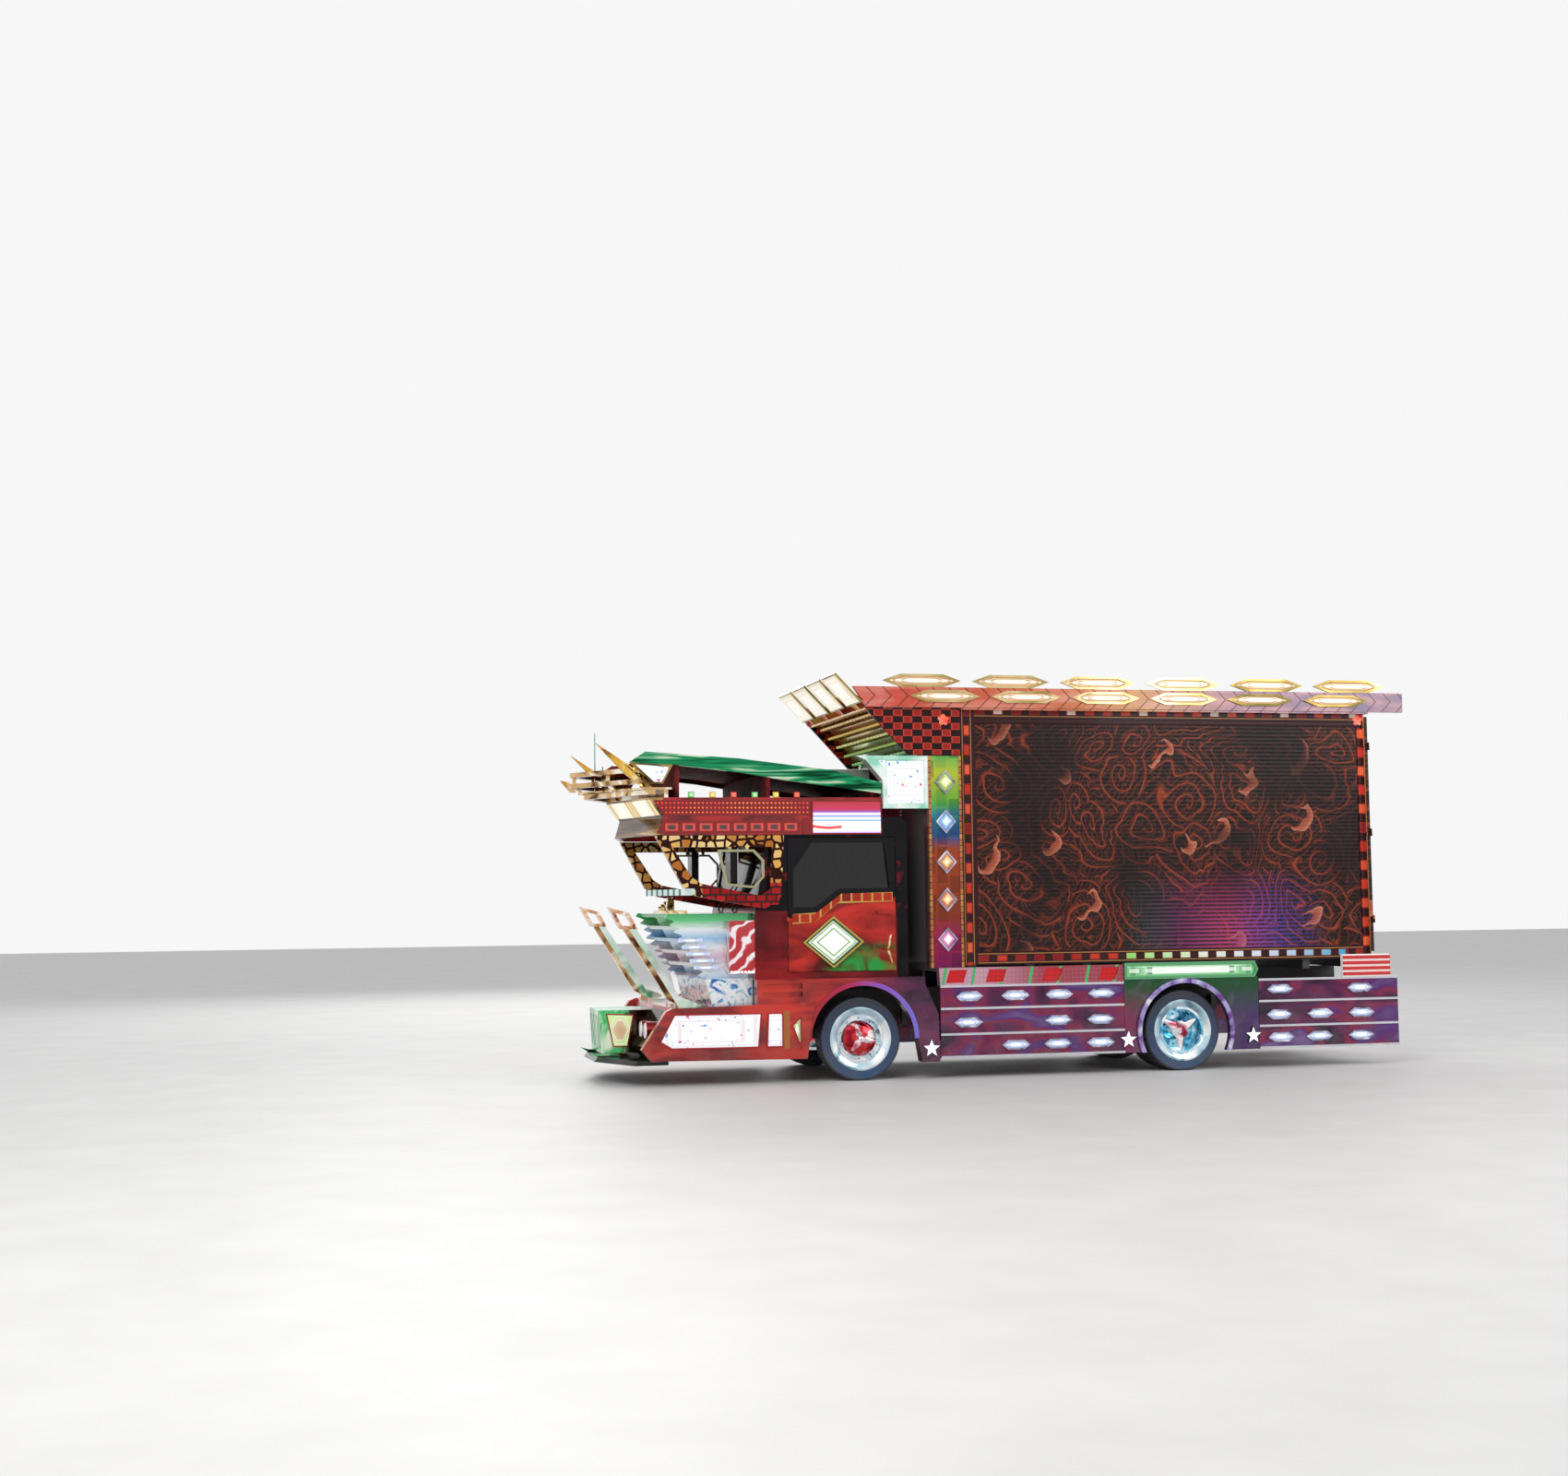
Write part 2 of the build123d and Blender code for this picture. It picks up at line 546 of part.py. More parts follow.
def door():
    shape = block(DOOR_REAR + DOOR_GAP, DOOR_FRONT - DOOR_GAP, skin_in, CAB_HALF, DOOR_BOTTOM + DOOR_GAP,
                  DOOR_TOP - DOOR_GAP)
    shape += side_plate(outset(WINDOW, 28), CAB_HALF - 5, CAB_HALF + 9)
    shape -= side_plate(WINDOW, skin_in - 1, CAB_HALF + 10)
    shape += side_plate(BELT, CAB_HALF - 5, CAB_HALF + 20)
    shape += side_plate(DOOR_LAMP, CAB_HALF - 5, CAB_HALF + 45)
    shape -= side_plate(outset(DOOR_LAMP, -34), CAB_HALF + 22, CAB_HALF + 46)
    grip = block(DOOR_REAR + 60, DOOR_REAR + 200, CAB_HALF - 2, CAB_HALF + 34, WAIST_Z + 20, WAIST_Z + 48)
    grip -= block(DOOR_REAR + 85, DOOR_REAR + 175, CAB_HALF, CAB_HALF + 20, WAIST_Z + 19, WAIST_Z + 49)
    shape += grip
    for z in cab_hinges:
        shape += rod_z(hinge_x, hinge_y, HINGE_RADIUS, z, z + KNUCKLE)
        shape += block(DOOR_FRONT - 60, hinge_x, CAB_HALF + HINGE_STANDOFF, hinge_y, z, z + KNUCKLE)
        shape += block(DOOR_FRONT - 60, DOOR_FRONT - DOOR_GAP, CAB_HALF - 5, hinge_y, z, z + KNUCKLE)
        shape -= rod_z(hinge_x, hinge_y, PIN_RADIUS + RUNNING_GAP, z - KNUCKLE - 2, z + KNUCKLE + 2)
    return shape


door_glass = side_plate(WINDOW, CAB_HALF - 30, CAB_HALF - 30 + GLASS - 2)
for name, turn in (("left", lambda shape: shape), ("right", mirrored)):
    add("door_" + name, turn(door()))
    add("door_glass_" + name, turn(door_glass))

# Seats: a cushion on a base, a leaning back with side bolsters and a headrest.
SEAT_Y = 480
SEAT_HALF = 250
seat_back = CAB_REAR + CAB_WALL + 5
inside_floor = CAB_FLOOR + CAB_WALL
SEAT_BASE = [(seat_back + 120, inside_floor), (seat_back + 560, inside_floor),
             (seat_back + 600, inside_floor + 250),
             (seat_back + 640, inside_floor + 300), (seat_back + 630, inside_floor + 385),
             (seat_back + 120, inside_floor + 350)]
SEAT_BACK = [(seat_back + 10, inside_floor + 300), (seat_back + 140, inside_floor + 300),
             (seat_back + 130, inside_floor + 500),
             (seat_back + 90, inside_floor + 860), (seat_back, inside_floor + 860)]
HEADREST = [(seat_back, inside_floor + 880), (seat_back + 85, inside_floor + 880),
            (seat_back + 75, inside_floor + 1080),
            (seat_back, inside_floor + 1080)]
seats = []
for side in (-1, 1):
    y = side * SEAT_Y
    seat = side_plate(SEAT_BASE, y - SEAT_HALF, y + SEAT_HALF)
    seat += side_plate(SEAT_BACK, y - SEAT_HALF, y + SEAT_HALF)
    seat += side_plate(HEADREST, y - 140, y + 140)
    seat += block(seat_back + 20, seat_back + 50, y - 60, y + 60, inside_floor + 840, inside_floor + 900)
    seats.append(seat)
add("seats", *seats)

# Dashboard with the steering column and wheel on the right.
dash_half = skin_in - 20
dash_front = CAB_FRONT - CAB_WALL
dash_top = WAIST_Z - 20
dash = cross_plate([(dash_front, inside_floor + 250), (dash_front, dash_top), (dash_front - 145, dash_top),
                    (dash_front - 265, dash_top - 100), (dash_front - 265, dash_top - 280),
                    (dash_front - 145, inside_floor + 300)], dash_half)
STEER_RADIUS = 205
RING_WIDTH = 16
column = Vector(dash_front - 245, -SEAT_Y, dash_top - 180)
wheel_centre = Vector(dash_front - 485, -SEAT_Y, dash_top)
lean = wheel_centre - column
dash += extrude(Plane(origin=column, z_dir=lean) * Circle(28), amount=lean.length)
wheel_plane = Plane(origin=wheel_centre, z_dir=lean)
rim_points = [(STEER_RADIUS + RING_WIDTH * math.cos(math.pi * k / 3), 0,
               RING_WIDTH * math.sin(math.pi * k / 3)) for k in range(6)]
dash += wheel_plane * revolve(Face(Wire.make_polygon(rim_points)), Axis.Z, 360)
dash += wheel_plane * Box(2 * STEER_RADIUS - 10, 34, 18)
dash += wheel_plane * Cylinder(60, 40)
add("dashboard", dash)

# Front corner under the cab: a stepped plate on each side, open over the wheel, with a raised arch flare.
FRONT_ARCH = 520
FLARE_WIDTH = 45
FLARE_PROUD = 20
fender_out = FRONT_HALF - 10
fender_in = CAB_HALF - 50
step_top = CAB_FLOOR - 240
WING_OUTLINE = [(1880, BUMPER_TOP), (470, BUMPER_TOP + 30), (560, 235), (2070, 250), (2170, 360),
                (1935, BUMPER_TOP - 25)]
FENDER = [(CAB_FRONT, step_top), (CAB_FRONT, CAB_FLOOR), (-640, CAB_FLOOR), (-640, 930), (-770, 640),
          (-785, 170), (-600, 170),
          (-560, 400), (480, 400), (480, step_top)]
fender = side_plate(FENDER, fender_in, fender_out)
fender -= rod_y(0, HUB_Z, FRONT_ARCH, fender_in - 10, FRONT_HALF)
flare = rod_y(0, HUB_Z, FRONT_ARCH + FLARE_WIDTH, fender_in, fender_out + FLARE_PROUD)
flare -= rod_y(0, HUB_Z, FRONT_ARCH, fender_in - 10, fender_out + FLARE_PROUD + 10)
flare -= block(-900, 900, fender_in - 10, fender_out + FLARE_PROUD + 10, -400, HUB_Z)
fender += flare
fender -= side_plate(WING_OUTLINE, fender_in - 10, FRONT_HALF + FLARE_PROUD)
for z in (step_top + 70, step_top + 150):
    fender -= block(600, CAB_FRONT - 60, fender_out - 40, fender_out + 1, z, z + 50)
add("front_fenders", *pair(fender))

# Bumper: a hollow body, open behind, raked above and below its fold, that comes out a little at the nose.
CHIN_Z = 250
FOLD_Z = 360
WING_THICK = 90
POD_HALF = 340
CHIN_X = 1990
FOLD_X = 2060
TOP_X = 1850
NOSE_OUT = 70


def bumper_body(inset):
    half = FRONT_HALF - WING_THICK - inset * 0.02
    back = BUMPER_BACK - inset
    plans = [prow(back, x - inset, x - inset + NOSE_OUT, half, POD_HALF) for x in (CHIN_X, FOLD_X, TOP_X)]
    under = raked(plans[0], CHIN_Z + inset, plans[1], FOLD_Z)
    return under + raked(plans[1], FOLD_Z, plans[2], BUMPER_TOP - inset)


bumper_solid = bumper_body(0)
add("bumper_front", bumper_solid - bumper_body(BUMPER_WALL))

# Side wings of the bumper: thick plates hollowed behind, with a raised edge strip in front.
wing_in = FRONT_HALF - WING_THICK
wing = side_plate(WING_OUTLINE, wing_in, FRONT_HALF)
wing -= side_plate(outset(WING_OUTLINE, -55), wing_in - 1, FRONT_HALF - 30)
edge_outer = [(1940, BUMPER_TOP - 25), (2180, 360), (2080, 245), (2020, 245), (2115, 365),
              (1880, BUMPER_TOP - 10)]
wing += side_plate(edge_outer, wing_in, FRONT_HALF + 12)
add("bumper_wings", *pair(wing))

# Lamps of the bumper: two lit panels and a triangle on each wing, and a round headlamp pair in front.
PANEL_OUT = 14
PANEL_RIM = 12
LONG_PANEL = [(1865, 690), (1010, 685), (1040, 355), (1890, 360), (2005, 430)]
SHORT_PANEL = [(950, 685), (800, 685), (800, 355), (965, 355)]
TRIANGLE = [(620, 650), (715, 560), (620, 330)]
front_lamps = []
for outline in (LONG_PANEL, SHORT_PANEL, TRIANGLE):
    front_lamps += pair(framed_lamp(outline, PANEL_RIM, FRONT_HALF, PANEL_OUT))
HEADLAMP_RADIUS = 85
for y in (500, 760):
    headlamp = rod_x(y, 520, HEADLAMP_RADIUS, 1900, 2075)
    front_lamps += pair(headlamp - bumper_solid)

# Centre pod with a trapezoid lamp on each cheek, over a low pointed lip.
POD_BACK = 1900
POD_FRONT = 2440
POD_BOTTOM = 280
POD_TOP = 700
POD_RAKE = 30


def pod_plan(front):
    return [(POD_BACK, -POD_HALF), (front, -POD_HALF), (front, POD_HALF), (POD_BACK, POD_HALF)]


pod = raked(pod_plan(POD_FRONT), POD_BOTTOM, pod_plan(POD_FRONT + POD_RAKE), POD_TOP)
GROOVES = 6
groove_step = 2 * (POD_HALF - 90) / (GROOVES - 1)
for k in range(GROOVES):
    y = -POD_HALF + 90 + k * groove_step
    pod -= block(POD_FRONT - 20, POD_FRONT + 2 * POD_RAKE, y - 12, y + 12, POD_BOTTOM + 50, POD_TOP - 50)
pod -= bumper_solid
LIP_CORNER = POD_BACK + 330
LIP_NOSE = POD_FRONT + 80
LIP_RAKE = 35
LIP_DEPTH = 45
lip_half = wing_in - 20
lip_nose_half = POD_HALF + 40
lip_low = prow(POD_BACK, LIP_CORNER, LIP_NOSE, lip_half, lip_nose_half)
lip_high = prow(POD_BACK, LIP_CORNER - LIP_RAKE, LIP_NOSE - LIP_RAKE, lip_half, lip_nose_half)
lip = raked(lip_low, CHIN_Z - LIP_DEPTH, lip_high, CHIN_Z)
LIP_HORN = [(LIP_CORNER, CHIN_Z), (LIP_NOSE - 40, CHIN_Z), (LIP_NOSE + 40, CHIN_Z + 50),
            (LIP_NOSE - 50, CHIN_Z + 25), (LIP_CORNER + 70, CHIN_Z + 25)]
lip += both(side_plate(LIP_HORN, lip_nose_half - 20, lip_nose_half))
add("bumper_pod", pod, lip)
POD_LAMP = [(2120, POD_TOP - 45), (2400, POD_TOP - 30), (2330, POD_BOTTOM + 60), (2180, POD_BOTTOM + 60)]
front_lamps += pair(framed_lamp(POD_LAMP, PANEL_RIM, POD_HALF, PANEL_OUT))

# Two arms that lean forward from the bumper's top, flared at the foot, each with an open square head.
ARM_IN = CAB_HALF - 90
ARM_OUT = CAB_HALF
SHAFT = [(2215, 1520), (2335, 1510), (1905, 830), (1830, 785), (1835, BUMPER_TOP), (1560, BUMPER_TOP),
         (1650, 800), (1790, 850)]
HEAD = [(2475, 1715), (2275, 1655), (2195, 1500), (2365, 1505)]
arm = side_plate(SHAFT, ARM_IN, ARM_OUT)
arm += side_plate(HEAD, ARM_IN - 20, ARM_OUT + 20)
arm -= side_plate(outset(HEAD, -32), ARM_IN - 30, ARM_OUT + 30)
arm += side_plate([(1800, BUMPER_TOP), (1560, BUMPER_TOP), (1560, BUMPER_TOP + 25),
                   (1800, BUMPER_TOP + 25)], POD_HALF, ARM_IN + 1)
add("bumper_arms", *pair(arm))

# Nose: a raked base that stands on the bumper, and a flat panel at each side of the cab's front.
NOSE_HALF = CAB_HALF - 100
BASE_X = 1450
GRILLE_X = 1520
GRILLE_LEAN = 360
GRILLE_BOTTOM = CAB_FLOOR + 10
GRILLE_TOP = GRILLE_BOTTOM + 630
NOSE_VEE = 110


def nose_plan(front_x, half, vee=NOSE_VEE):
    return [(CAB_FRONT, -half), (front_x, -half), (front_x + vee, 0), (front_x, half), (CAB_FRONT, half)]


nose_base = raked(nose_plan(BASE_X, NOSE_HALF), BUMPER_TOP, nose_plan(GRILLE_X, NOSE_HALF), GRILLE_BOTTOM)
nose_base -= bumper_solid
corner_panel = block(CAB_FRONT, CAB_FRONT + 250, NOSE_HALF - 50, CAB_HALF + 2, CAB_FLOOR + 60, WAIST_Z - 30)
add("nose_base", nose_base, *pair(corner_panel))

# Nose grille: cheeks with a toothed front edge, a closed back, and leaning vanes between them.
GRILLE_HALF = NOSE_HALF - 55
CHEEK = 40
VANES = 6
VANE_THICK = 34
TEETH = 9
grille_height = GRILLE_TOP - GRILLE_BOTTOM


def lean_x(z):
    return GRILLE_X + GRILLE_LEAN * (z - GRILLE_BOTTOM) / grille_height


tooth = grille_height / TEETH
edge = []
for k in range(TEETH):
    low = GRILLE_BOTTOM + k * tooth
    edge += [(lean_x(low) - 30, low), (lean_x(low + tooth / 2) + 40, low + tooth / 2)]
cheek_points = [(CAB_FRONT, GRILLE_BOTTOM)] + edge
cheek_points += [(lean_x(GRILLE_TOP), GRILLE_TOP), (CAB_FRONT, GRILLE_TOP)]
grille = side_plate(cheek_points, GRILLE_HALF - CHEEK, GRILLE_HALF)
grille += mirrored(grille)
back_plan = nose_plan(GRILLE_X - 130, GRILLE_HALF - CHEEK + 1)
back_top = nose_plan(GRILLE_X + GRILLE_LEAN - 130, GRILLE_HALF - CHEEK + 1)
grille += raked(back_plan, GRILLE_BOTTOM, back_top, GRILLE_TOP)
vane_pitch = (grille_height - VANE_THICK) / (VANES - 1)
for k in range(VANES):
    z = GRILLE_BOTTOM + k * vane_pitch
    low = nose_plan(lean_x(z) - 12, GRILLE_HALF - CHEEK + 1)
    high = nose_plan(lean_x(z + VANE_THICK) - 12, GRILLE_HALF - CHEEK + 1)
    grille += raked(low, z, high, z + VANE_THICK)
add("nose_grille", grille)

# Lamp plates on the grille's cheeks, stacked along its lean.
CHEEK_LAMPS = 5
for k in range(CHEEK_LAMPS):
    z = GRILLE_BOTTOM + 110 + 66 * k
    outline = lens_outline(lean_x(z) - 75, z, 250, 46)
    front_lamps += pair(side_plate(outline, GRILLE_HALF, GRILLE_HALF + 22))

# Crest on the nose: a fan of round lobes on a stepped foot.
CREST_FOOT = 30
CREST_REAR = GRILLE_X + GRILLE_LEAN - 300
CREST_FRONT = CREST_REAR + 220
LOBE_THICK = 60
# Columns: distance from the middle, height of the lobe's centre over the grille, radius.
LOBES = ((0, 78, 80), (95, 62, 60), (175, 48, 45), (240, 38, 32))
crest = across(CREST_REAR, CREST_FRONT, LOBES[-1][0] + 120, GRILLE_TOP, GRILLE_TOP + CREST_FOOT)
for out, rise, radius in LOBES:
    lobe_x = CREST_REAR + 80 + 0.2 * out
    for y in {-out, out}:
        crest += rod_x(y, GRILLE_TOP + rise, radius, lobe_x, lobe_x + LOBE_THICK)
crest -= across(CREST_REAR - 1, CREST_FRONT + 1, LOBES[-1][0] + 130, GRILLE_TOP - 60, GRILLE_TOP)
add("nose_crest", crest)

# Mirror stays: an open loop plate on each side, a thin six-sided ring in it, a mirror behind, and a toothed
# bar across the truck low in front.
STAY_IN = CAB_HALF + 10
STAY_OUT = STAY_IN + 80
LOOP_OUTER = [(2030, 2390), (1765, 1900), (1640, 1810), (960, 1680), (800, 1800), (770, 2390)]
LOOP_INNER = [(1870, 2280), (1680, 1990), (1590, 1930), (1020, 1810), (910, 1870), (890, 2280)]
RING = [(1420, 2255), (1060, 2255), (960, 2150), (960, 1990), (1060, 1880), (1340, 1910)]
MIRROR_X = 1225
MIRROR_THICK = 70
stay = side_plate(LOOP_OUTER, STAY_IN, STAY_OUT) - side_plate(LOOP_INNER, STAY_IN - 1, STAY_OUT + 1)
stay += block(800, 960, CAB_HALF, STAY_IN + 1, 1720, 1800)
stay += side_plate(RING, STAY_IN + 25, STAY_OUT - 25) - side_plate(outset(RING, -22), STAY_IN, STAY_OUT)
for x in (1130, 1300):
    stay += block(x - 15, x + 15, STAY_IN + 25, STAY_OUT - 25, 2250, 2290)
mirror_case = block(MIRROR_X, MIRROR_X + MIRROR_THICK, STAY_IN - 180, STAY_IN + 45, 1925, 2285)
stay += fillet(mirror_case.edges().filter_by(Axis.X), 30)
bar_teeth = 20
bar_pitch = 2 * STAY_IN / bar_teeth
front_edge = []
for k in range(bar_teeth):
    y = -STAY_IN + k * bar_pitch
    front_edge += [(1735, y), (1765, y + bar_pitch / 2)]
bar_plan = [(1660, -STAY_IN - 5)] + front_edge + [(1735, STAY_IN), (1735, STAY_IN + 5), (1660, STAY_IN + 5)]
stays = both(stay)
stays += plan_plate(bar_plan, 1818, 1880)
add("mirror_stays", stays)

# Visor: a deep peak over the windscreen, open below, its front drawn out to a prow.
VISOR_HALF = CAB_HALF + 40
VISOR_HEIGHT = 190
VISOR_FOLD = CAB_ROOF
VISOR_TOP = VISOR_FOLD + VISOR_HEIGHT
VISOR_BOTTOM = VISOR_FOLD - 175
VISOR_WALL = 30
VISOR_REAR = CAB_REAR + 270
VISOR_X = 1950
VISOR_NOSE = 250


def visor_body(inset):
    half = VISOR_HALF - inset
    fold = prow(VISOR_REAR + inset, VISOR_X - inset, VISOR_X + VISOR_NOSE - inset, half)
    top = prow(VISOR_REAR + inset, VISOR_X + 130 - inset, VISOR_X + VISOR_NOSE + 140 - inset, half)
    low = prow(60, VISOR_X + 80 - inset, VISOR_X + VISOR_NOSE + 50 - inset, half)
    low_top = prow(60, VISOR_X - inset, VISOR_X + VISOR_NOSE - inset, half)
    upper_part = raked(fold, VISOR_FOLD, top, VISOR_TOP - inset)
    return upper_part + raked(low, VISOR_BOTTOM - inset, low_top, VISOR_FOLD + 0.01)


visor_solid = visor_body(0)
visor = visor_solid - visor_body(VISOR_WALL)
visor -= cross_plate(CAB_PROFILE, CAB_HALF + 3)
visor -= across(VISOR_REAR - 10, DOOR_FRONT + 40, VISOR_HALF + 5, DOOR_TOP - 75, DOOR_TOP + 5)
add("visor", visor)

# Visor lamps: a lit strip over each door, a red lamp band on each side, and lit panels on the raked front.
STRIP_OUT = 18
BAND_OUT = 10
strip = side_plate([(570, DOOR_TOP + 25), (570, VISOR_FOLD - 10), (480, VISOR_FOLD - 10),
                    (480, VISOR_TOP - 30),
                    (VISOR_REAR, VISOR_TOP - 30),
                    (VISOR_REAR, DOOR_TOP + 25)], VISOR_HALF, VISOR_HALF + STRIP_OUT)
red_band = side_plate([(490, VISOR_FOLD + 15), (490, VISOR_TOP - 25), (2045, VISOR_TOP - 25),
                       (1950, VISOR_FOLD + 15)],
                      VISOR_HALF, VISOR_HALF + BAND_OUT)
red_row = side_plate([(600, VISOR_BOTTOM + 20), (600, VISOR_FOLD - 40), (1960, VISOR_FOLD - 40),
                      (2010, VISOR_BOTTOM + 20)],
                     VISOR_HALF, VISOR_HALF + BAND_OUT)
for shape in (strip, red_band, red_row):
    front_lamps += pair(shape)
brow = (visor_body(-12) - visor_solid) & across(VISOR_X + 25, VISOR_X + 500, VISOR_HALF - 20,
                                                VISOR_FOLD + 20, VISOR_TOP - 20)
PANELS = 4
panel_step = 2 * (VISOR_HALF - 20) / PANELS
for k in range(PANELS + 1):
    y = -(VISOR_HALF - 20) + k * panel_step
    brow -= block(VISOR_X, VISOR_X + 500, y - 15, y + 15, VISOR_FOLD, VISOR_TOP)
front_lamps += list(brow.solids())

# Roof deck: sloping side rails with a board between them on three cross plates.
DECK_HALF = CAB_HALF + 50
DECK_THICK = 60
deck_in = DECK_HALF - DECK_THICK
deck_rear = VISOR_REAR
# Columns: X, height over the visor's top for the rail's upper edge and for its lower edge.
DECK_STATIONS = ((deck_rear, 150, 40), (290, 270, 110), (750, 325, 170), (1210, 380, 245), (1850, 422, 315),
                 (2120, 440, 328))
upper = [(x, VISOR_TOP + high) for x, high, low in DECK_STATIONS]
lower = [(x, VISOR_TOP + low) for x, high, low in reversed(DECK_STATIONS)]
deck_rail = side_plate(upper + [(2270, VISOR_TOP + 340)] + lower, deck_in, DECK_HALF)
mid_line = [(x, VISOR_TOP + (high + low) / 2) for x, high, low in DECK_STATIONS]
deck = cross_plate(mid_line + [(x, z - 25) for x, z in reversed(mid_line)], deck_in + 1)
for x, rise in ((deck_rear + 80, 70), (900, 240), (1800, 340)):
    deck += across(x - 20, x + 20, deck_in, VISOR_TOP, VISOR_TOP + rise)
deck += both(deck_rail)
add("roof_deck", deck)
trap = side_plate([(2270, VISOR_TOP + 340), (2120, VISOR_TOP + 328), (1850, VISOR_TOP + 315),
                   (1950, VISOR_TOP + 130),
                   (2040, VISOR_TOP + 130)], deck_in, DECK_HALF)
add("front_lamps", *front_lamps)

# Prow truss under the deck's front: three chevron tiers tied by posts, on a board over the visor, with blade
# spikes and two thin rods.
TRUSS_HALF = CAB_HALF - 20
TRUSS_NOSE_HALF = 40
TIER_HEIGHT = 45
TIER_DEPTH = 90
POST_HALF = 15
# Columns: height of the tier's underside over the visor, its corners' X, its nose's X.
TIERS = ((30, 2100, 2560), (140, 2130, 2720), (250, 2150, 2700))


def chevron(corner, nose, z):
    front = [(corner, -TRUSS_HALF), (nose, -TRUSS_NOSE_HALF), (nose, TRUSS_NOSE_HALF), (corner, TRUSS_HALF)]
    back = [(x - TIER_DEPTH, y) for x, y in reversed(front)]
    return plan_plate(front + back, z, z + TIER_HEIGHT)


truss_board_z = VISOR_TOP + 80
truss = plan_plate(prow(1850, 2120, 2620, TRUSS_HALF, TRUSS_NOSE_HALF), truss_board_z, truss_board_z + 20)
truss += across(1880, 1920, TRUSS_HALF - 30, VISOR_TOP, truss_board_z + 10)
for rise, corner, nose in TIERS:
    truss += chevron(corner, nose, VISOR_TOP + rise)
post_reach = TRUSS_HALF - 30
for y in (-post_reach, -post_reach / 2, 0, post_reach / 2, post_reach):
    share = min(1, (TRUSS_HALF - abs(y)) / (TRUSS_HALF - TRUSS_NOSE_HALF))
    line = [(corner + share * (nose - corner) - 30, VISOR_TOP + rise + 20) for rise, corner, nose in TIERS]
    back_line = [(x - 40, z) for x, z in reversed(line)]
    truss += side_plate(line + back_line, y - POST_HALF, y + POST_HALF)
SPIKE_Y = TRUSS_HALF - 130
SPIKE = [(2560, VISOR_TOP + 525), (2190, VISOR_TOP + 260), (2030, VISOR_TOP + 120), (2120, VISOR_TOP + 120),
         (2250, VISOR_TOP + 300)]
NOSE_SPIKE = [(NOSE_TIP_X, VISOR_TOP + 220), (2700, VISOR_TOP + 100), (2640, VISOR_TOP + 100),
              (2700, VISOR_TOP + 200)]
truss += both(side_plate(SPIKE, SPIKE_Y - POST_HALF, SPIKE_Y + POST_HALF))
truss += cross_plate(NOSE_SPIKE, POST_HALF + 5)
ROD_RADIUS = 7
for x, y, rise in ((2450, 0, 700), (2380, 60, 360)):
    truss += rod_z(x, y, ROD_RADIUS, truss_board_z + 15, VISOR_TOP + rise)
add("deck_truss", truss)

# Side light boxes on the cab's rear corners: lit panels in a deep rim, in front of the corner pillars.
PILLAR_LENGTH = 340
PILLAR_FRONT = BOX_FRONT + PILLAR_LENGTH
PILLAR_BOTTOM = SKIRT_TOP + 170
PILLAR_TOP = BOX_TOP - 460
light_in = SKIRT_HALF - 150
light_front = CAB_REAR + 264
LIGHT_BOX = [(light_front + 176, PILLAR_TOP - 40), (light_front, VISOR_TOP + 165),
             (light_front, CAB_ROOF + 80),
             (PILLAR_FRONT, CAB_ROOF + 80), (PILLAR_FRONT, PILLAR_TOP), (light_front + 276, PILLAR_TOP)]
light_box = side_plate(LIGHT_BOX, light_in, SKIRT_HALF)
LIGHT_FACE = [(light_front - 35, CAB_ROOF + 120), (PILLAR_FRONT + 35, CAB_ROOF + 120),
              (PILLAR_FRONT + 35, PILLAR_TOP - 40),
              (light_front + 60, PILLAR_TOP - 40), (light_front - 35, PILLAR_TOP - 140)]
light_box -= side_plate(LIGHT_FACE, SKIRT_HALF - 12, SKIRT_HALF + 1)
add("side_lightboxes", *pair(light_box))

# Corner pillars of the van body, each with raised edge strips and five diamond lamps.
pillar_in = SKIRT_HALF - 160
pillar = block(BOX_FRONT, PILLAR_FRONT, pillar_in, SKIRT_HALF, PILLAR_BOTTOM, PILLAR_TOP)
for x in (BOX_FRONT, PILLAR_FRONT - 26):
    pillar += block(x, x + 26, SKIRT_HALF - 1, SKIRT_HALF + 10, PILLAR_BOTTOM, PILLAR_TOP)
add("corner_pillars", *pair(pillar))
side_lamps = []
PILLAR_LAMPS = (2910, 2520, 2120, 1750, 1360)
pillar_x = (BOX_FRONT + PILLAR_FRONT) / 2
for z in PILLAR_LAMPS:
    side_lamps += pair(framed_lamp(diamond_outline(pillar_x, z, 210, 240), 16, SKIRT_HALF, 30))

# Van body: front wall, mural sides with raised borders, roof, rear frame and two doors.
add("box_front_wall", across(BOX_FRONT - BOX_WALL, BOX_FRONT, inner_half, BEARER_TOP, BOX_TOP - BOX_WALL))
panel = block(body_back, BOX_FRONT, inner_half, BOX_HALF + BORDER_PROUD, BEARER_TOP, BOX_TOP)
panel -= block(body_back + 30, BOX_FRONT - BORDER_WIDTH - 40, BOX_HALF, BOX_HALF + BORDER_PROUD + 1,
               BEARER_TOP + BORDER_WIDTH, BOX_TOP - BORDER_WIDTH)
add("side_panel_left", panel)
add("side_panel_right", mirrored(panel))
add("box_roof", across(body_back, BOX_FRONT, inner_half, BOX_TOP - BOX_WALL, BOX_TOP))

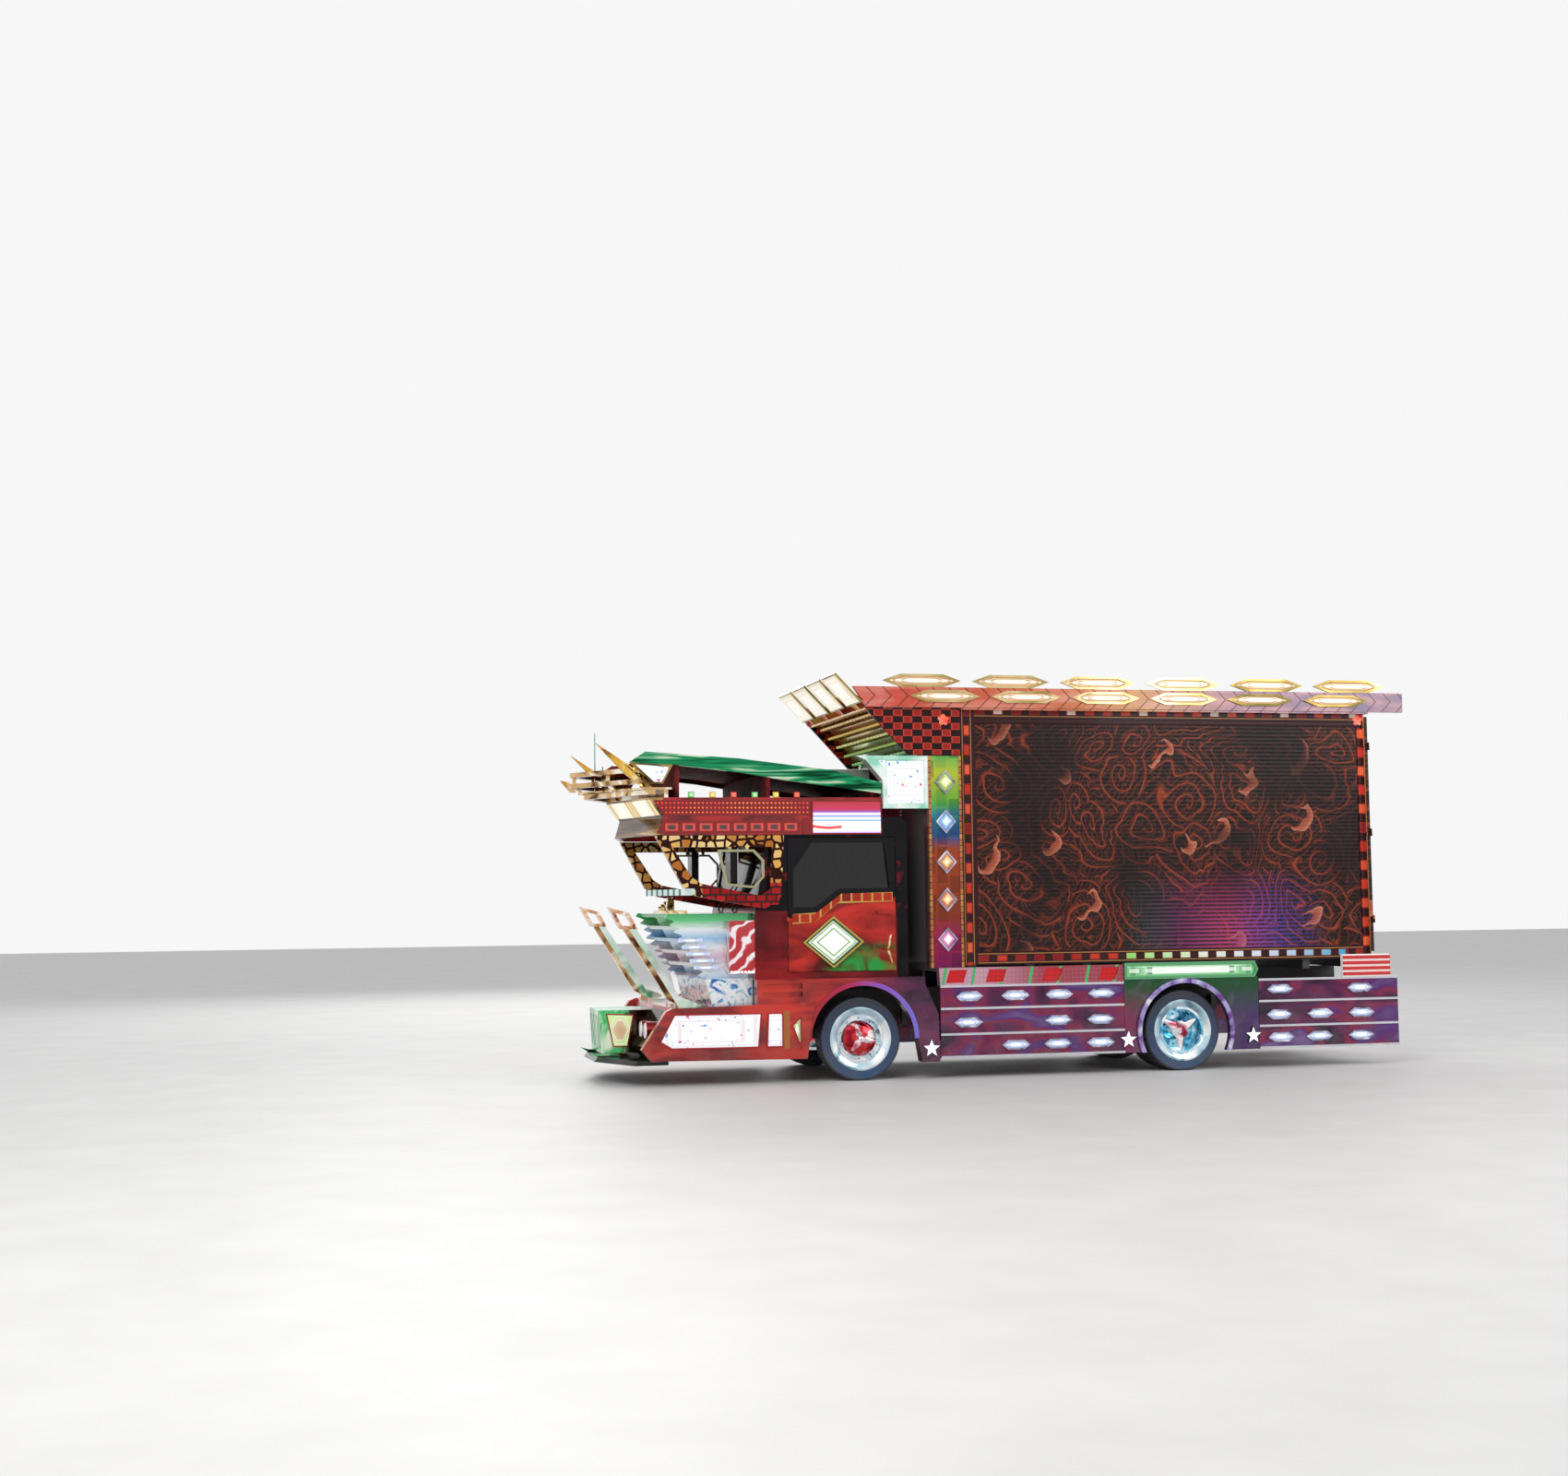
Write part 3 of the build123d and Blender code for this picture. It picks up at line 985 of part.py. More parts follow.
REAR_OPEN_SIDE = 100
CARGO_THICK = 40
cargo_hinge_y = BOX_HALF + 6
cargo_hinge_x = BOX_REAR - CARGO_THICK - DOOR_GAP
cargo_hinges = (BOX_FLOOR + 340, BOX_FLOOR + 1240, BOX_TOP - 330)
rear_frame = across(BOX_REAR, body_back, BOX_HALF, BEARER_TOP, BOX_TOP)
rear_frame -= across(BOX_REAR - 1, body_back + 1, BOX_HALF - REAR_OPEN_SIDE, BOX_FLOOR, BOX_TOP - 90)
for z in cargo_hinges:
    leaf = rod_z(cargo_hinge_x, cargo_hinge_y, PIN_RADIUS, z - KNUCKLE, z + KNUCKLE)
    leaf += rod_z(cargo_hinge_x, cargo_hinge_y, HINGE_RADIUS, z - KNUCKLE, z - RUNNING_GAP)
    leaf += block(cargo_hinge_x, BOX_REAR + 10, cargo_hinge_y - 10, cargo_hinge_y + 1, z - KNUCKLE,
                  z - RUNNING_GAP)
    rear_frame += leaf
    rear_frame += mirrored(leaf)
add("rear_frame", rear_frame)

# Rear doors: flat leaves with two lock rods each, in guides.
LOCK_RADIUS = 14
LOCK_OUT = 26
door_face = BOX_REAR - DOOR_GAP - CARGO_THICK
door_low = BOX_FLOOR + 6
door_high = BOX_TOP - 20


def cargo_door():
    shape = block(door_face, door_face + CARGO_THICK, 4, BOX_HALF - 14, door_low, door_high)
    for y in (150, BOX_HALF - 330):
        shape += rod_z(door_face - LOCK_OUT, y, LOCK_RADIUS, door_low + 20, door_high - 20)
        for z in (door_low + 60, door_low + 900, door_high - 60):
            shape += block(door_face - LOCK_OUT - 24, door_face + 1, y - 30, y + 30, z - 35, z + 35)
    for z in cargo_hinges:
        shape += rod_z(cargo_hinge_x, cargo_hinge_y, HINGE_RADIUS, z, z + KNUCKLE)
        shape += block(cargo_hinge_x - 5, cargo_hinge_x + 5, BOX_HALF - 60, cargo_hinge_y, z, z + KNUCKLE)
        shape -= rod_z(cargo_hinge_x, cargo_hinge_y, PIN_RADIUS + RUNNING_GAP, z - KNUCKLE - 2,
                       z + KNUCKLE + 2)
    return shape


add("cargo_door_left", cargo_door())
add("cargo_door_right", mirrored(cargo_door()))

# Lamp boards along the roof edges, on angle brackets. Lamp plates stand on them and hang on their faces.
BOARD_FRONT_TOP = CAB_REAR + 570
BOARD_SLANT = 140
lamp_board = side_plate([(BOARD_FRONT_TOP, BOARD_TOP), (BOARD_FRONT_TOP - BOARD_SLANT, BOARD_BOTTOM),
                         (BOARD_REAR, BOARD_BOTTOM),
                         (BOARD_REAR, BOARD_TOP)], BOARD_HALF - BOARD_THICK, BOARD_HALF)
board_in = BOX_HALF - 60
lamp_board += block(BOX_REAR, BOX_FRONT, board_in, BOARD_HALF - BOARD_THICK, BOX_TOP, BOARD_BOTTOM + 20)
lamp_board += block(BOX_REAR, BOX_FRONT, board_in, BOARD_HALF, BOX_TOP, BOX_TOP + 15)
add("roof_boards", *pair(lamp_board))
RAIL_LAMPS = 6
TOP_LAMP_FIRST = -640
TOP_LAMP_STEP = 930
FACE_LAMP_FIRST = -870
FACE_LAMP_STEP = 850
LAMP_RIM = 22
roof_lamps = pair(trap)
for k in range(RAIL_LAMPS):
    top_outline = lens_outline(TOP_LAMP_FIRST - k * TOP_LAMP_STEP, BOARD_TOP + 65, 810, 130)
    face_outline = lens_outline(FACE_LAMP_FIRST - k * FACE_LAMP_STEP, BOARD_BOTTOM + 110, 730, 120)
    top_lamp = framed_lamp(top_outline, LAMP_RIM, BOARD_HALF - 40, 30)
    top_lamp += side_plate([(x, z) for x, z in outset(top_outline, -40)], BOARD_HALF - 30, BOARD_HALF - 16)
    roof_lamps += pair(top_lamp)
    face_lamp = framed_lamp(face_outline, LAMP_RIM, BOARD_HALF, 20)
    roof_lamps += pair(face_lamp)

# Front fairing of the van body: cheeks with a sloping edge, a slope plate behind it and five toothed slats.
FAIRING_FRONT = BOARD_FRONT_TOP - BOARD_SLANT + 10
FAIRING_FOOT = -500
fairing_low = BOX_TOP - 450
fairing_half = SKIRT_HALF - 10
FAIRING = [(FAIRING_FRONT, BOARD_BOTTOM), (FAIRING_FOOT, fairing_low), (BOX_FRONT, fairing_low),
           (BOX_FRONT, BOARD_BOTTOM)]
cheek = side_plate(FAIRING, fairing_half - 30, fairing_half)
fairing = both(cheek)
SLOPE_BACK = 210
slope = [(FAIRING_FRONT - SLOPE_BACK, BOARD_BOTTOM - 20), (FAIRING_FOOT - 120, fairing_low),
         (FAIRING_FOOT - 150, fairing_low),
         (FAIRING_FRONT - SLOPE_BACK - 30, BOARD_BOTTOM - 20)]
fairing += cross_plate(slope, fairing_half - 29)
fairing += across(BOX_FRONT, FAIRING_FRONT - 20, fairing_half - 29, BOARD_BOTTOM - 20, BOARD_BOTTOM)
fairing += across(BOX_FRONT, FAIRING_FOOT - 120, fairing_half - 29, fairing_low, fairing_low + 20)
SLATS = 5
SLAT_TEETH = 20
SLAT_DEPTH = 110
SLAT_THICK = 26
slat_half = fairing_half - 29
tooth_pitch = 2 * slat_half / SLAT_TEETH
slope_run = FAIRING_FRONT - FAIRING_FOOT
for k in range(SLATS):
    share = (k + 0.55) / SLATS
    x = FAIRING_FRONT - share * slope_run - 90
    z = BOARD_BOTTOM - share * (BOARD_BOTTOM - fairing_low)
    teeth = []
    for tooth_index in range(SLAT_TEETH):
        y = -slat_half + tooth_index * tooth_pitch
        teeth += [(x, y), (x + 22, y + tooth_pitch / 2)]
    plan = [(x - SLAT_DEPTH, -slat_half)] + teeth + [(x, slat_half), (x - SLAT_DEPTH, slat_half)]
    fairing += plan_plate(plan, z - SLAT_THICK / 2, z + SLAT_THICK / 2)
add("box_fairing", fairing)

# Crown lamps: four lit panels that lean forward over the fairing, each on a rib.
CROWN_LAMPS = 4
CROWN_PITCH = 620
CROWN_HALF = 255
CROWN_THICK = 20
crown_low = (FAIRING_FRONT + 49, BOARD_BOTTOM + 40)
crown_high = (FAIRING_FRONT + 320, BOARD_BOTTOM + 320)
crown_run = math.hypot(crown_high[0] - crown_low[0], crown_high[1] - crown_low[1])
back_x = -CROWN_THICK * (crown_high[1] - crown_low[1]) / crown_run
back_z = CROWN_THICK * (crown_high[0] - crown_low[0]) / crown_run
crown_section = [crown_low, crown_high, (crown_high[0] + back_x, crown_high[1] + back_z),
                 (crown_low[0] + back_x, crown_low[1] + back_z)]
rib_top = (crown_low[0] + 0.7 * (crown_high[0] - crown_low[0]) + back_x / 2,
           crown_low[1] + 0.7 * (crown_high[1] - crown_low[1]) + back_z / 2)
rib_low = (crown_low[0] + back_x / 2, crown_low[1] + back_z / 2)
RIB = [(FAIRING_FRONT - 240, BOARD_BOTTOM), (FAIRING_FRONT - 5, BOARD_BOTTOM), rib_low, rib_top]
for k in range(CROWN_LAMPS):
    y = (k - (CROWN_LAMPS - 1) / 2) * CROWN_PITCH
    lamp = side_plate(crown_section, y - CROWN_HALF, y + CROWN_HALF)
    lamp += side_plate(RIB, y - 20, y + 20)
    roof_lamps.append(lamp)
add("roof_lamps", *roof_lamps)

# Lower body: ribbed skirts, step boxes, and rear wheel panels with flares and a long lamp over each.
SKIRT_FRONT = -790
PANEL_FRONT = REAR_X + 655
PANEL_REAR = REAR_X - 810
SKIRT_REAR = BOX_REAR - 260
skirt_in = SKIRT_HALF - SKIRT_THICK
skirts = []
for front_x, rear_end in ((SKIRT_FRONT, PANEL_FRONT + 4), (PANEL_REAR - 4, SKIRT_REAR)):
    skirt = block(rear_end, front_x, skirt_in, SKIRT_HALF, SKIRT_BOTTOM, SKIRT_TOP)
    for z in (SKIRT_BOTTOM, SKIRT_BOTTOM + 220, SKIRT_BOTTOM + 470, SKIRT_TOP - 22):
        skirt += block(rear_end, front_x, SKIRT_HALF - 1, SKIRT_HALF + 10, z, z + 22)
    skirts += pair(skirt)
add("side_skirts", *skirts)

REAR_ARCH = 480
flare_out = SKIRT_HALF + 30
panel_top = HUB_Z + REAR_ARCH + FLARE_WIDTH
wheel_panel = block(PANEL_REAR, PANEL_FRONT, skirt_in, SKIRT_HALF, SKIRT_BOTTOM, panel_top)
arch_ring = rod_y(REAR_X, HUB_Z, REAR_ARCH + FLARE_WIDTH, skirt_in, flare_out)
arch_ring -= block(REAR_X - 900, REAR_X + 900, skirt_in - 1, flare_out + 10, -200, SKIRT_BOTTOM)
wheel_panel += arch_ring
wheel_panel -= rod_y(REAR_X, HUB_Z, REAR_ARCH, skirt_in - 1, flare_out + 10)
BAR_TOP = BEARER_TOP - 5
BAR_OUTLINE = [(PANEL_FRONT - 4, BAR_TOP), (PANEL_REAR + 40, BAR_TOP),
               (PANEL_REAR, (BAR_TOP + panel_top) / 2),
               (PANEL_REAR + 40, panel_top), (PANEL_FRONT - 4, panel_top)]
bar_lamp = framed_lamp(BAR_OUTLINE, 24, skirt_in, SKIRT_OUT + 10)
add("rear_wheel_panels", *pair(wheel_panel), *pair(bar_lamp))

step_back = PANEL_FRONT
step = side_plate([(SKIRT_FRONT + 10, PILLAR_BOTTOM), (step_back, PILLAR_BOTTOM), (step_back, SKIRT_TOP),
                   (SKIRT_FRONT, SKIRT_TOP)],
                  inner_half, SKIRT_HALF)
for x in (SKIRT_FRONT - 60, SKIRT_FRONT - 470, SKIRT_FRONT - 1060, SKIRT_FRONT - 1660):
    step -= side_plate([(x, SKIRT_TOP + 22), (x - 40, PILLAR_BOTTOM - 22), (x - 220, PILLAR_BOTTOM - 22),
                        (x - 180, SKIRT_TOP + 22)],
                       SKIRT_HALF - 12, SKIRT_HALF + 1)
add("step_boxes", *pair(step))

# The skirts' lens lamps and the stars beside the wheels.
LAMP_PROUD = 22
# Columns: X and height of each lens lamp.
SKIRT_LAMPS = ((-1080, 800), (-1560, 800), (-2020, 800), (-2470, 800), (-1070, 545), (-2010, 545),
               (-2460, 545),
               (-1560, 315), (-2000, 315), (-2450, 315), (-4420, 800), (-5320, 800), (-4410, 545),
               (-4860, 545),
               (-5330, 545), (-4420, 315), (-4850, 315), (-5320, 315))
for x, z in SKIRT_LAMPS:
    side_lamps += pair(framed_lamp(lens_outline(x, z, 300, 96), 12, SKIRT_HALF, LAMP_PROUD))
STAR = 95
# Columns: X and height of each star, and the face that it stands on.
for x, z, y in ((-690, 300, fender_out), (-2750, 330, SKIRT_HALF), (-4110, 340, SKIRT_HALF)):
    side_lamps += pair(side_plate(star_outline(x, z, STAR), y, y + LAMP_PROUD))
add("side_lamps", *side_lamps)

# Rear: bumper beam on brackets, side lamp clusters with ribs and round tail lamps.
BUMPER_X = BOX_REAR - 100
BEAM_BACK = BUMPER_X - 100
rear_bumper = across(BEAM_BACK, BUMPER_X, skirt_in - 1, 420, 640)
for side in (-1, 1):
    bracket_y = side * (RAIL_Y - RAIL_FLANGE / 2)
    rear_bumper += block(BUMPER_X, RAIL_REAR, bracket_y - 30, bracket_y + 30, 500, RAIL_TOP)
add("rear_bumper", rear_bumper)
TAIL_RADIUS = 58
TAIL_PITCH = 160
tail_lamps = []
for k in range(4):
    tail_y = skirt_in - 210 - k * TAIL_PITCH
    tail_lamps += pair(rod_x(tail_y, 530, TAIL_RADIUS, BEAM_BACK - 20, BEAM_BACK))
cluster = block(BOX_REAR - 170, BOX_REAR + 360, BOX_HALF + BORDER_PROUD, SKIRT_HALF + 10, SKIRT_TOP,
                BEARER_TOP + 40)
for k in range(4):
    cluster += block(BOX_REAR - 170, BOX_REAR + 360, SKIRT_HALF + 9, SKIRT_HALF + 28,
                     SKIRT_TOP + 14 + 56 * k, SKIRT_TOP + 48 + 56 * k)
add("tail_lamps", *tail_lamps, *pair(cluster))

os.makedirs("parts", exist_ok=True)
shift = -(NOSE_TIP_X + BOARD_REAR) / 2
for name, shapes in nodes.items():
    solids = []
    for shape in shapes:
        solids += (Pos(shift, 0, 0) * shape).solids()
    body = solids[0] if len(solids) == 1 else Compound(children=solids)
    body.label = name
    export_step(body, os.path.join("parts", name + ".step"))
print(len(nodes), "nodes, front axle at X", shift)
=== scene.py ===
import math

import bpy
from mathutils import Matrix, Vector


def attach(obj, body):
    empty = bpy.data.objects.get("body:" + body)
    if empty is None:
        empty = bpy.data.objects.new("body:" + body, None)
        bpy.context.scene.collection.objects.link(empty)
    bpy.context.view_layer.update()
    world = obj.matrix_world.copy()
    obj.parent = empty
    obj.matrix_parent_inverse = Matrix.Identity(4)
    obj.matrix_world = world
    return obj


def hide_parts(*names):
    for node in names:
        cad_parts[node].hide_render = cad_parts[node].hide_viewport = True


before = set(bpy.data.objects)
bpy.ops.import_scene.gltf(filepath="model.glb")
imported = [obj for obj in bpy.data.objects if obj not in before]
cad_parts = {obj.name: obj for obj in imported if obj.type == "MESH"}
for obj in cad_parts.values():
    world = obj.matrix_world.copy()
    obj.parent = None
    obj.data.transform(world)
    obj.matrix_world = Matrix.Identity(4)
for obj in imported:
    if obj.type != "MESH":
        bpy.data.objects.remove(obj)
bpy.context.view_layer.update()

# ---- Studio ----
# A pale floor under plain soft lamps, and the camera at the photo's own viewpoint: well off the truck's left
# front, at bumper height. Nothing here is part of the truck.
AXLE = 1.55
HUB = 0.405
FLOOR_SIZE = 120.0
LAMP_AIM = (0, 0, 1.6)
CAMERA_PLACE = (6.898, 20.313, 1.796)
FOCAL_PIXELS = 2201
PHOTO_WIDTH = 1700
FILM_WIDTH = 36.0
# Columns: place, size and power.
LAMPS = (((11.0, 15.0, 12.0), 9.0, 1300.0), ((-10.0, 13.0, 9.0), 9.0, 850.0), ((2.0, -16.0, 11.0), 10.0, 1100.0))

bpy.ops.object.select_all(action="DESELECT")
bpy.ops.mesh.primitive_plane_add(size=FLOOR_SIZE)
studio_floor = bpy.context.object
studio_floor.name = "studio_floor"
for place, size, power in LAMPS:
    bpy.ops.object.light_add(type="AREA", location=place)
    lamp = bpy.context.object
    lamp.data.size = size
    lamp.data.energy = power
    lamp.rotation_euler = (Vector(LAMP_AIM) - Vector(place)).to_track_quat("-Z", "Y").to_euler()

bpy.ops.object.camera_add(location=CAMERA_PLACE)
camera = bpy.context.object
right = Vector((-0.97265508, 0.23199534, -0.01096633))
upward = Vector((0.0074448, 0.07833586, 0.99689923))
turn = Matrix((right, upward, right.cross(upward))).transposed()
camera.rotation_euler = turn.to_euler()
camera.data.sensor_fit = "HORIZONTAL"
camera.data.sensor_width = FILM_WIDTH
camera.data.lens = FOCAL_PIXELS / PHOTO_WIDTH * FILM_WIDTH
camera.data.clip_end = 200.0
bpy.context.scene.camera = camera
bpy.context.scene.view_settings.view_transform = "Standard"


def part(tree, kind, settings=(), **sockets):
    """A shader node of that kind. A socket's value is a number, a colour or another node's output."""
    node = tree.nodes.new("ShaderNode" + kind)
    for name, value in dict(settings).items():
        setattr(node, name, value)
    for name, value in sockets.items():
        socket = node.inputs[int(name[1:])] if name[1:].isdigit() else node.inputs[name.replace("_", " ")]
        if isinstance(value, bpy.types.NodeSocket):
            tree.links.new(value, socket)
        else:
            socket.default_value = (*value, 1.0) if socket.type == "RGBA" else value
    return node


def sums(tree, how, *values, clamp=False):
    sockets = {"n%d" % k: value for k, value in enumerate(values)}
    return part(tree, "Math", {"operation": how, "use_clamp": clamp}, **sockets).outputs[0]


def ramp(tree, value, *stops, steps=False):
    """Colours along a value from 0 to 1: each stop is its place and its colour."""
    node = part(tree, "ValToRGB", Fac=value)
    if steps:
        node.color_ramp.interpolation = "CONSTANT"
    marks = node.color_ramp.elements
    while len(marks) < len(stops):
        marks.new(0.5)
    for mark, (place, colour) in zip(marks, stops):
        mark.position = place
        mark.color = (*colour, 1.0)
    return node.outputs[0]


def noise(tree, where, scale, detail=2.0, distortion=0.0, dimensions="3D", fineness=0.5):
    return part(tree, "TexNoise", {"noise_dimensions": dimensions}, Vector=where, Scale=scale, Detail=detail,
                Distortion=distortion, Roughness=fineness).outputs[0]


def axes_of(tree, vector):
    return part(tree, "SeparateXYZ", Vector=vector).outputs


def place_of(tree):
    """The piece's own place as a vector, then its X, Y and Z, in metres."""
    where = part(tree, "TexCoord").outputs["Object"]
    return (where, *axes_of(tree, where))


def finish(name, colour=(0.5, 0.5, 0.5), metallic=0.0, roughness=0.4, coat=0.0, glow=0.0, shine=0.5):
    """A new material with its shader's plain values. Returns the material, its tree and the shader's inputs."""
    material = bpy.data.materials.new(name)
    material.use_nodes = True
    tree = material.node_tree
    sockets = tree.nodes["Principled BSDF"].inputs
    sockets["Base Color"].default_value = (*colour, 1.0)
    sockets["Metallic"].default_value = metallic
    sockets["Roughness"].default_value = roughness
    sockets["Coat Weight"].default_value = coat
    sockets["Coat Roughness"].default_value = 0.06
    sockets["Emission Strength"].default_value = glow
    sockets["Specular IOR Level"].default_value = shine
    return material, tree, sockets


def feed(tree, sockets, **values):
    """Links each value to the socket of its name."""
    for name, value in values.items():
        tree.links.new(value, sockets[name.replace("_", " ")])


floor_paint, tree, sockets = finish("floor_paint", (0.80, 0.79, 0.77), roughness=0.55)
where = place_of(tree)[0]
grain = noise(tree, where, 1.4, 5.0)
feed(tree, sockets, Base_Color=ramp(tree, grain, (0.3, (0.77, 0.76, 0.74)), (0.7, (0.83, 0.82, 0.80))))
studio_floor.data.materials.append(floor_paint)

world = bpy.data.worlds.new("studio")
bpy.context.scene.world = world
world.use_nodes = True
tree = world.node_tree
tree.nodes.clear()
ray = part(tree, "LightPath").outputs
seen = sums(tree, "MAXIMUM", ray["Is Camera Ray"], sums(tree, "MAXIMUM", ray["Is Glossy Ray"],
                                                        ray["Is Transmission Ray"]))
soft_light = part(tree, "Background", Color=(0.62, 0.63, 0.65), Strength=0.75).outputs[0]
backdrop = part(tree, "Background", Color=(0.93, 0.93, 0.94), Strength=1.0).outputs[0]
shown = part(tree, "MixShader", n0=seen, n1=soft_light, n2=backdrop).outputs[0]
part(tree, "OutputWorld", Surface=shown)

# ---- Frame, axles and driveline ----
# The ladder frame's rails, the axles, springs, engine, gearbox and propeller shaft: pressed steel, cast iron and
# alloy, painted or bare, with road film baked on. They bolt together under the bodies and show from below.


def blend(tree, share, first, second, how="MIX"):
    settings = {"data_type": "RGBA", "blend_type": how, "clamp_factor": True}
    return part(tree, "Mix", settings, n0=share, n6=first, n7=second).outputs[2]


def span(tree, value, low, high, first=0.0, last=1.0):
    """The value carried from low to high over to first to last, and held there."""
    return part(tree, "MapRange", n0=value, n1=low, n2=high, n3=first, n4=last).outputs[0]


def plus(tree, first, second, clamp=False):
    return sums(tree, "ADD", first, second, clamp=clamp)


def times(tree, first, second, clamp=False):
    return sums(tree, "MULTIPLY", first, second, clamp=clamp)


def new_group(name, inputs, outputs):
    group = bpy.data.node_groups.new(name, "ShaderNodeTree")
    for label, kind, value in inputs:
        socket = group.interface.new_socket(label, in_out="INPUT", socket_type="NodeSocket" + kind)
        socket.default_value = (*value, 1.0) if kind == "Color" else value
    for label, kind in outputs:
        group.interface.new_socket(label, in_out="OUTPUT", socket_type="NodeSocket" + kind)
    return group, group.nodes.new("NodeGroupInput").outputs, group.nodes.new("NodeGroupOutput").inputs


def use_group(tree, group, **sockets):
    return part(tree, "Group", {"node_tree": group}, **sockets).outputs


film, given, result = new_group(
    "Road Film",
    (("Color", "Color", (0.5, 0.5, 0.5)), ("Roughness", "Float", 0.4), ("Amount", "Float", 0.5),
     ("Top", "Float", 1.1)),
    (("Color", "Color"), ("Roughness", "Float")))
where, _, _, z = place_of(film)
height = span(film, z, given["Top"], 0.15)
patches = noise(film, where, 5.0, 7.0, fineness=0.65)
cover = times(film, plus(film, times(film, height, 0.75), 0.12), span(film, patches, 0.35, 0.75))
cover = times(film, cover, given["Amount"], clamp=True)
feed(film, result, Color=blend(film, cover, given["Color"], (0.19, 0.165, 0.14)),
     Roughness=plus(film, given["Roughness"], times(film, cover, 0.4), clamp=True))


def road_film(tree, sockets, colour, roughness, amount, top=1.1):
    worn = use_group(tree, film, Color=colour, Roughness=roughness, Amount=amount, Top=top)
    feed(tree, sockets, Base_Color=worn["Color"], Roughness=worn["Roughness"])


def dress(material, *names):
    for name in names:
        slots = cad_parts[name].data.materials
        slots.clear()
        slots.append(material)


def rough_up(tree, sockets, height, depth, strength=1.0):
    bump = part(tree, "Bump", Height=height, Distance=depth, Strength=strength)
    feed(tree, sockets, Normal=bump.outputs[0])


def working_metal(name, dark, light, metallic, roughness, grain_size, amount=0.8):
    """Frame steel or casting: a mottled skin, fine grain in the surface and road film."""
    material, tree, sockets = finish(name, metallic=metallic)
    where = place_of(tree)[0]
    mottle = noise(tree, where, 9.0, 6.0)
    skin = ramp(tree, mottle, (0.32, dark), (0.68, light))
    road_film(tree, sockets, skin, roughness, amount, 1.4)
    grain = noise(tree, where, grain_size, 3.0)
    rough_up(tree, sockets, grain, 0.0012, 0.5)
    return material


frame_black = working_metal("frame_black", (0.012, 0.012, 0.014), (0.035, 0.034, 0.034), 0.0, 0.38, 160.0)
cast_iron = working_metal("cast_iron", (0.06, 0.058, 0.055), (0.13, 0.12, 0.11), 0.7, 0.55, 230.0)
spring_steel = working_metal("spring_steel", (0.10, 0.10, 0.105), (0.22, 0.21, 0.20), 0.85, 0.42, 120.0)
tank_alloy = working_metal("tank_alloy", (0.50, 0.51, 0.53), (0.66, 0.67, 0.69), 1.0, 0.28, 60.0, 0.5)
dress(frame_black, "ladder_frame", "drive_shaft")
dress(cast_iron, "front_axle", "rear_axle", "engine", "knuckle_left", "knuckle_right")
dress(spring_steel, "leaf_springs")
dress(tank_alloy, "under_tanks")

# ---- Cargo floor ----
# Hardwood boards laid lengthways on the cross bearers, with plugged screws in rows over each bearer. The sills
# and bearers under them are dark steel.
BOARD_WIDTH = 0.14


def minus(tree, first, second):
    return sums(tree, "SUBTRACT", first, second)


def ratio(tree, first, second):
    return sums(tree, "DIVIDE", first, second)


def fraction(tree, value):
    return sums(tree, "FRACT", value)


def under(tree, value, edge):
    return sums(tree, "LESS_THAN", value, edge)


def stretched(tree, where, scale):
    return part(tree, "Mapping", Vector=where, Scale=scale).outputs[0]


floor_wood, tree, sockets = finish("floor_wood")
where, _, y, z = place_of(tree)
board = ratio(tree, y, BOARD_WIDTH)
joint = under(tree, fraction(tree, board), 0.03)
tone = part(tree, "TexWhiteNoise", {"noise_dimensions": "1D"}, W=sums(tree, "FLOOR", board)).outputs[0]
along = stretched(tree, where, (1.2, 22.0, 22.0))
figure = noise(tree, along, 3.0, 6.0, 0.6)
wood = ramp(tree, figure, (0.3, (0.13, 0.06, 0.026)), (0.55, (0.26, 0.135, 0.06)), (0.75, (0.36, 0.20, 0.10)))
wood = blend(tree, times(tree, tone, 0.35), wood, (0.10, 0.05, 0.03))
wood = blend(tree, joint, wood, (0.02, 0.012, 0.01))
steel_below = under(tree, z, 1.099)
feed(tree, sockets, Base_Color=blend(tree, steel_below, wood, (0.03, 0.03, 0.033)))
rough_up(tree, sockets, minus(tree, figure, joint), 0.0015)
dress(floor_wood, "box_floor")

# ---- Tyres ----
# Moulded rubber, five ribs wide, with sipes across the ribs and raised rings on the sidewall. Each is stretched
# over its rim; the rear ones are twins. Their walls carry a painted blue glow of lamplight, strongest low down.
TYRE_SECTIONS = 72
TREAD_HALF = 0.096
WHEELBASE = 3.375
REAR_AXLE = AXLE - WHEELBASE
FRONT_TYRE_Y = 0.930
TWIN_TYRES_Y = (0.965, 0.70)
# Columns: radius and half width of each ring, from the tread's edge in to the bead.
TYRE_RINGS = ((0.397, 0.1085), (0.372, 0.1125), (0.352, 0.1105), (0.346, 0.1125), (0.300, 0.1105), (0.294, 0.1085),
              (0.262, 0.1000), (0.240, 0.0850))
GROOVES = (-0.066, -0.058, -0.024, -0.016, 0.016, 0.024, 0.058, 0.066)


def start(add, **how):
    """A new primitive, alone in the selection, with its place and turn put into its mesh."""
    bpy.ops.object.select_all(action="DESELECT")
    add(**how)
    bpy.ops.object.transform_apply(location=True, rotation=True)
    return bpy.context.object


def take_all():
    bpy.ops.mesh.select_all(action="SELECT")


def spread(across, along=1.0):
    """Scales what is picked away from the Y axis, and along it."""
    bpy.ops.transform.resize(value=(across, along, across), center_override=(0, 0, 0))


def close_ring():
    """Bridges the two open edges of a ring."""
    bpy.context.tool_settings.mesh_select_mode = (False, True, False)
    bpy.ops.mesh.select_all(action="DESELECT")
    bpy.ops.mesh.select_non_manifold(extend=False)
    bpy.ops.mesh.bridge_edge_loops()


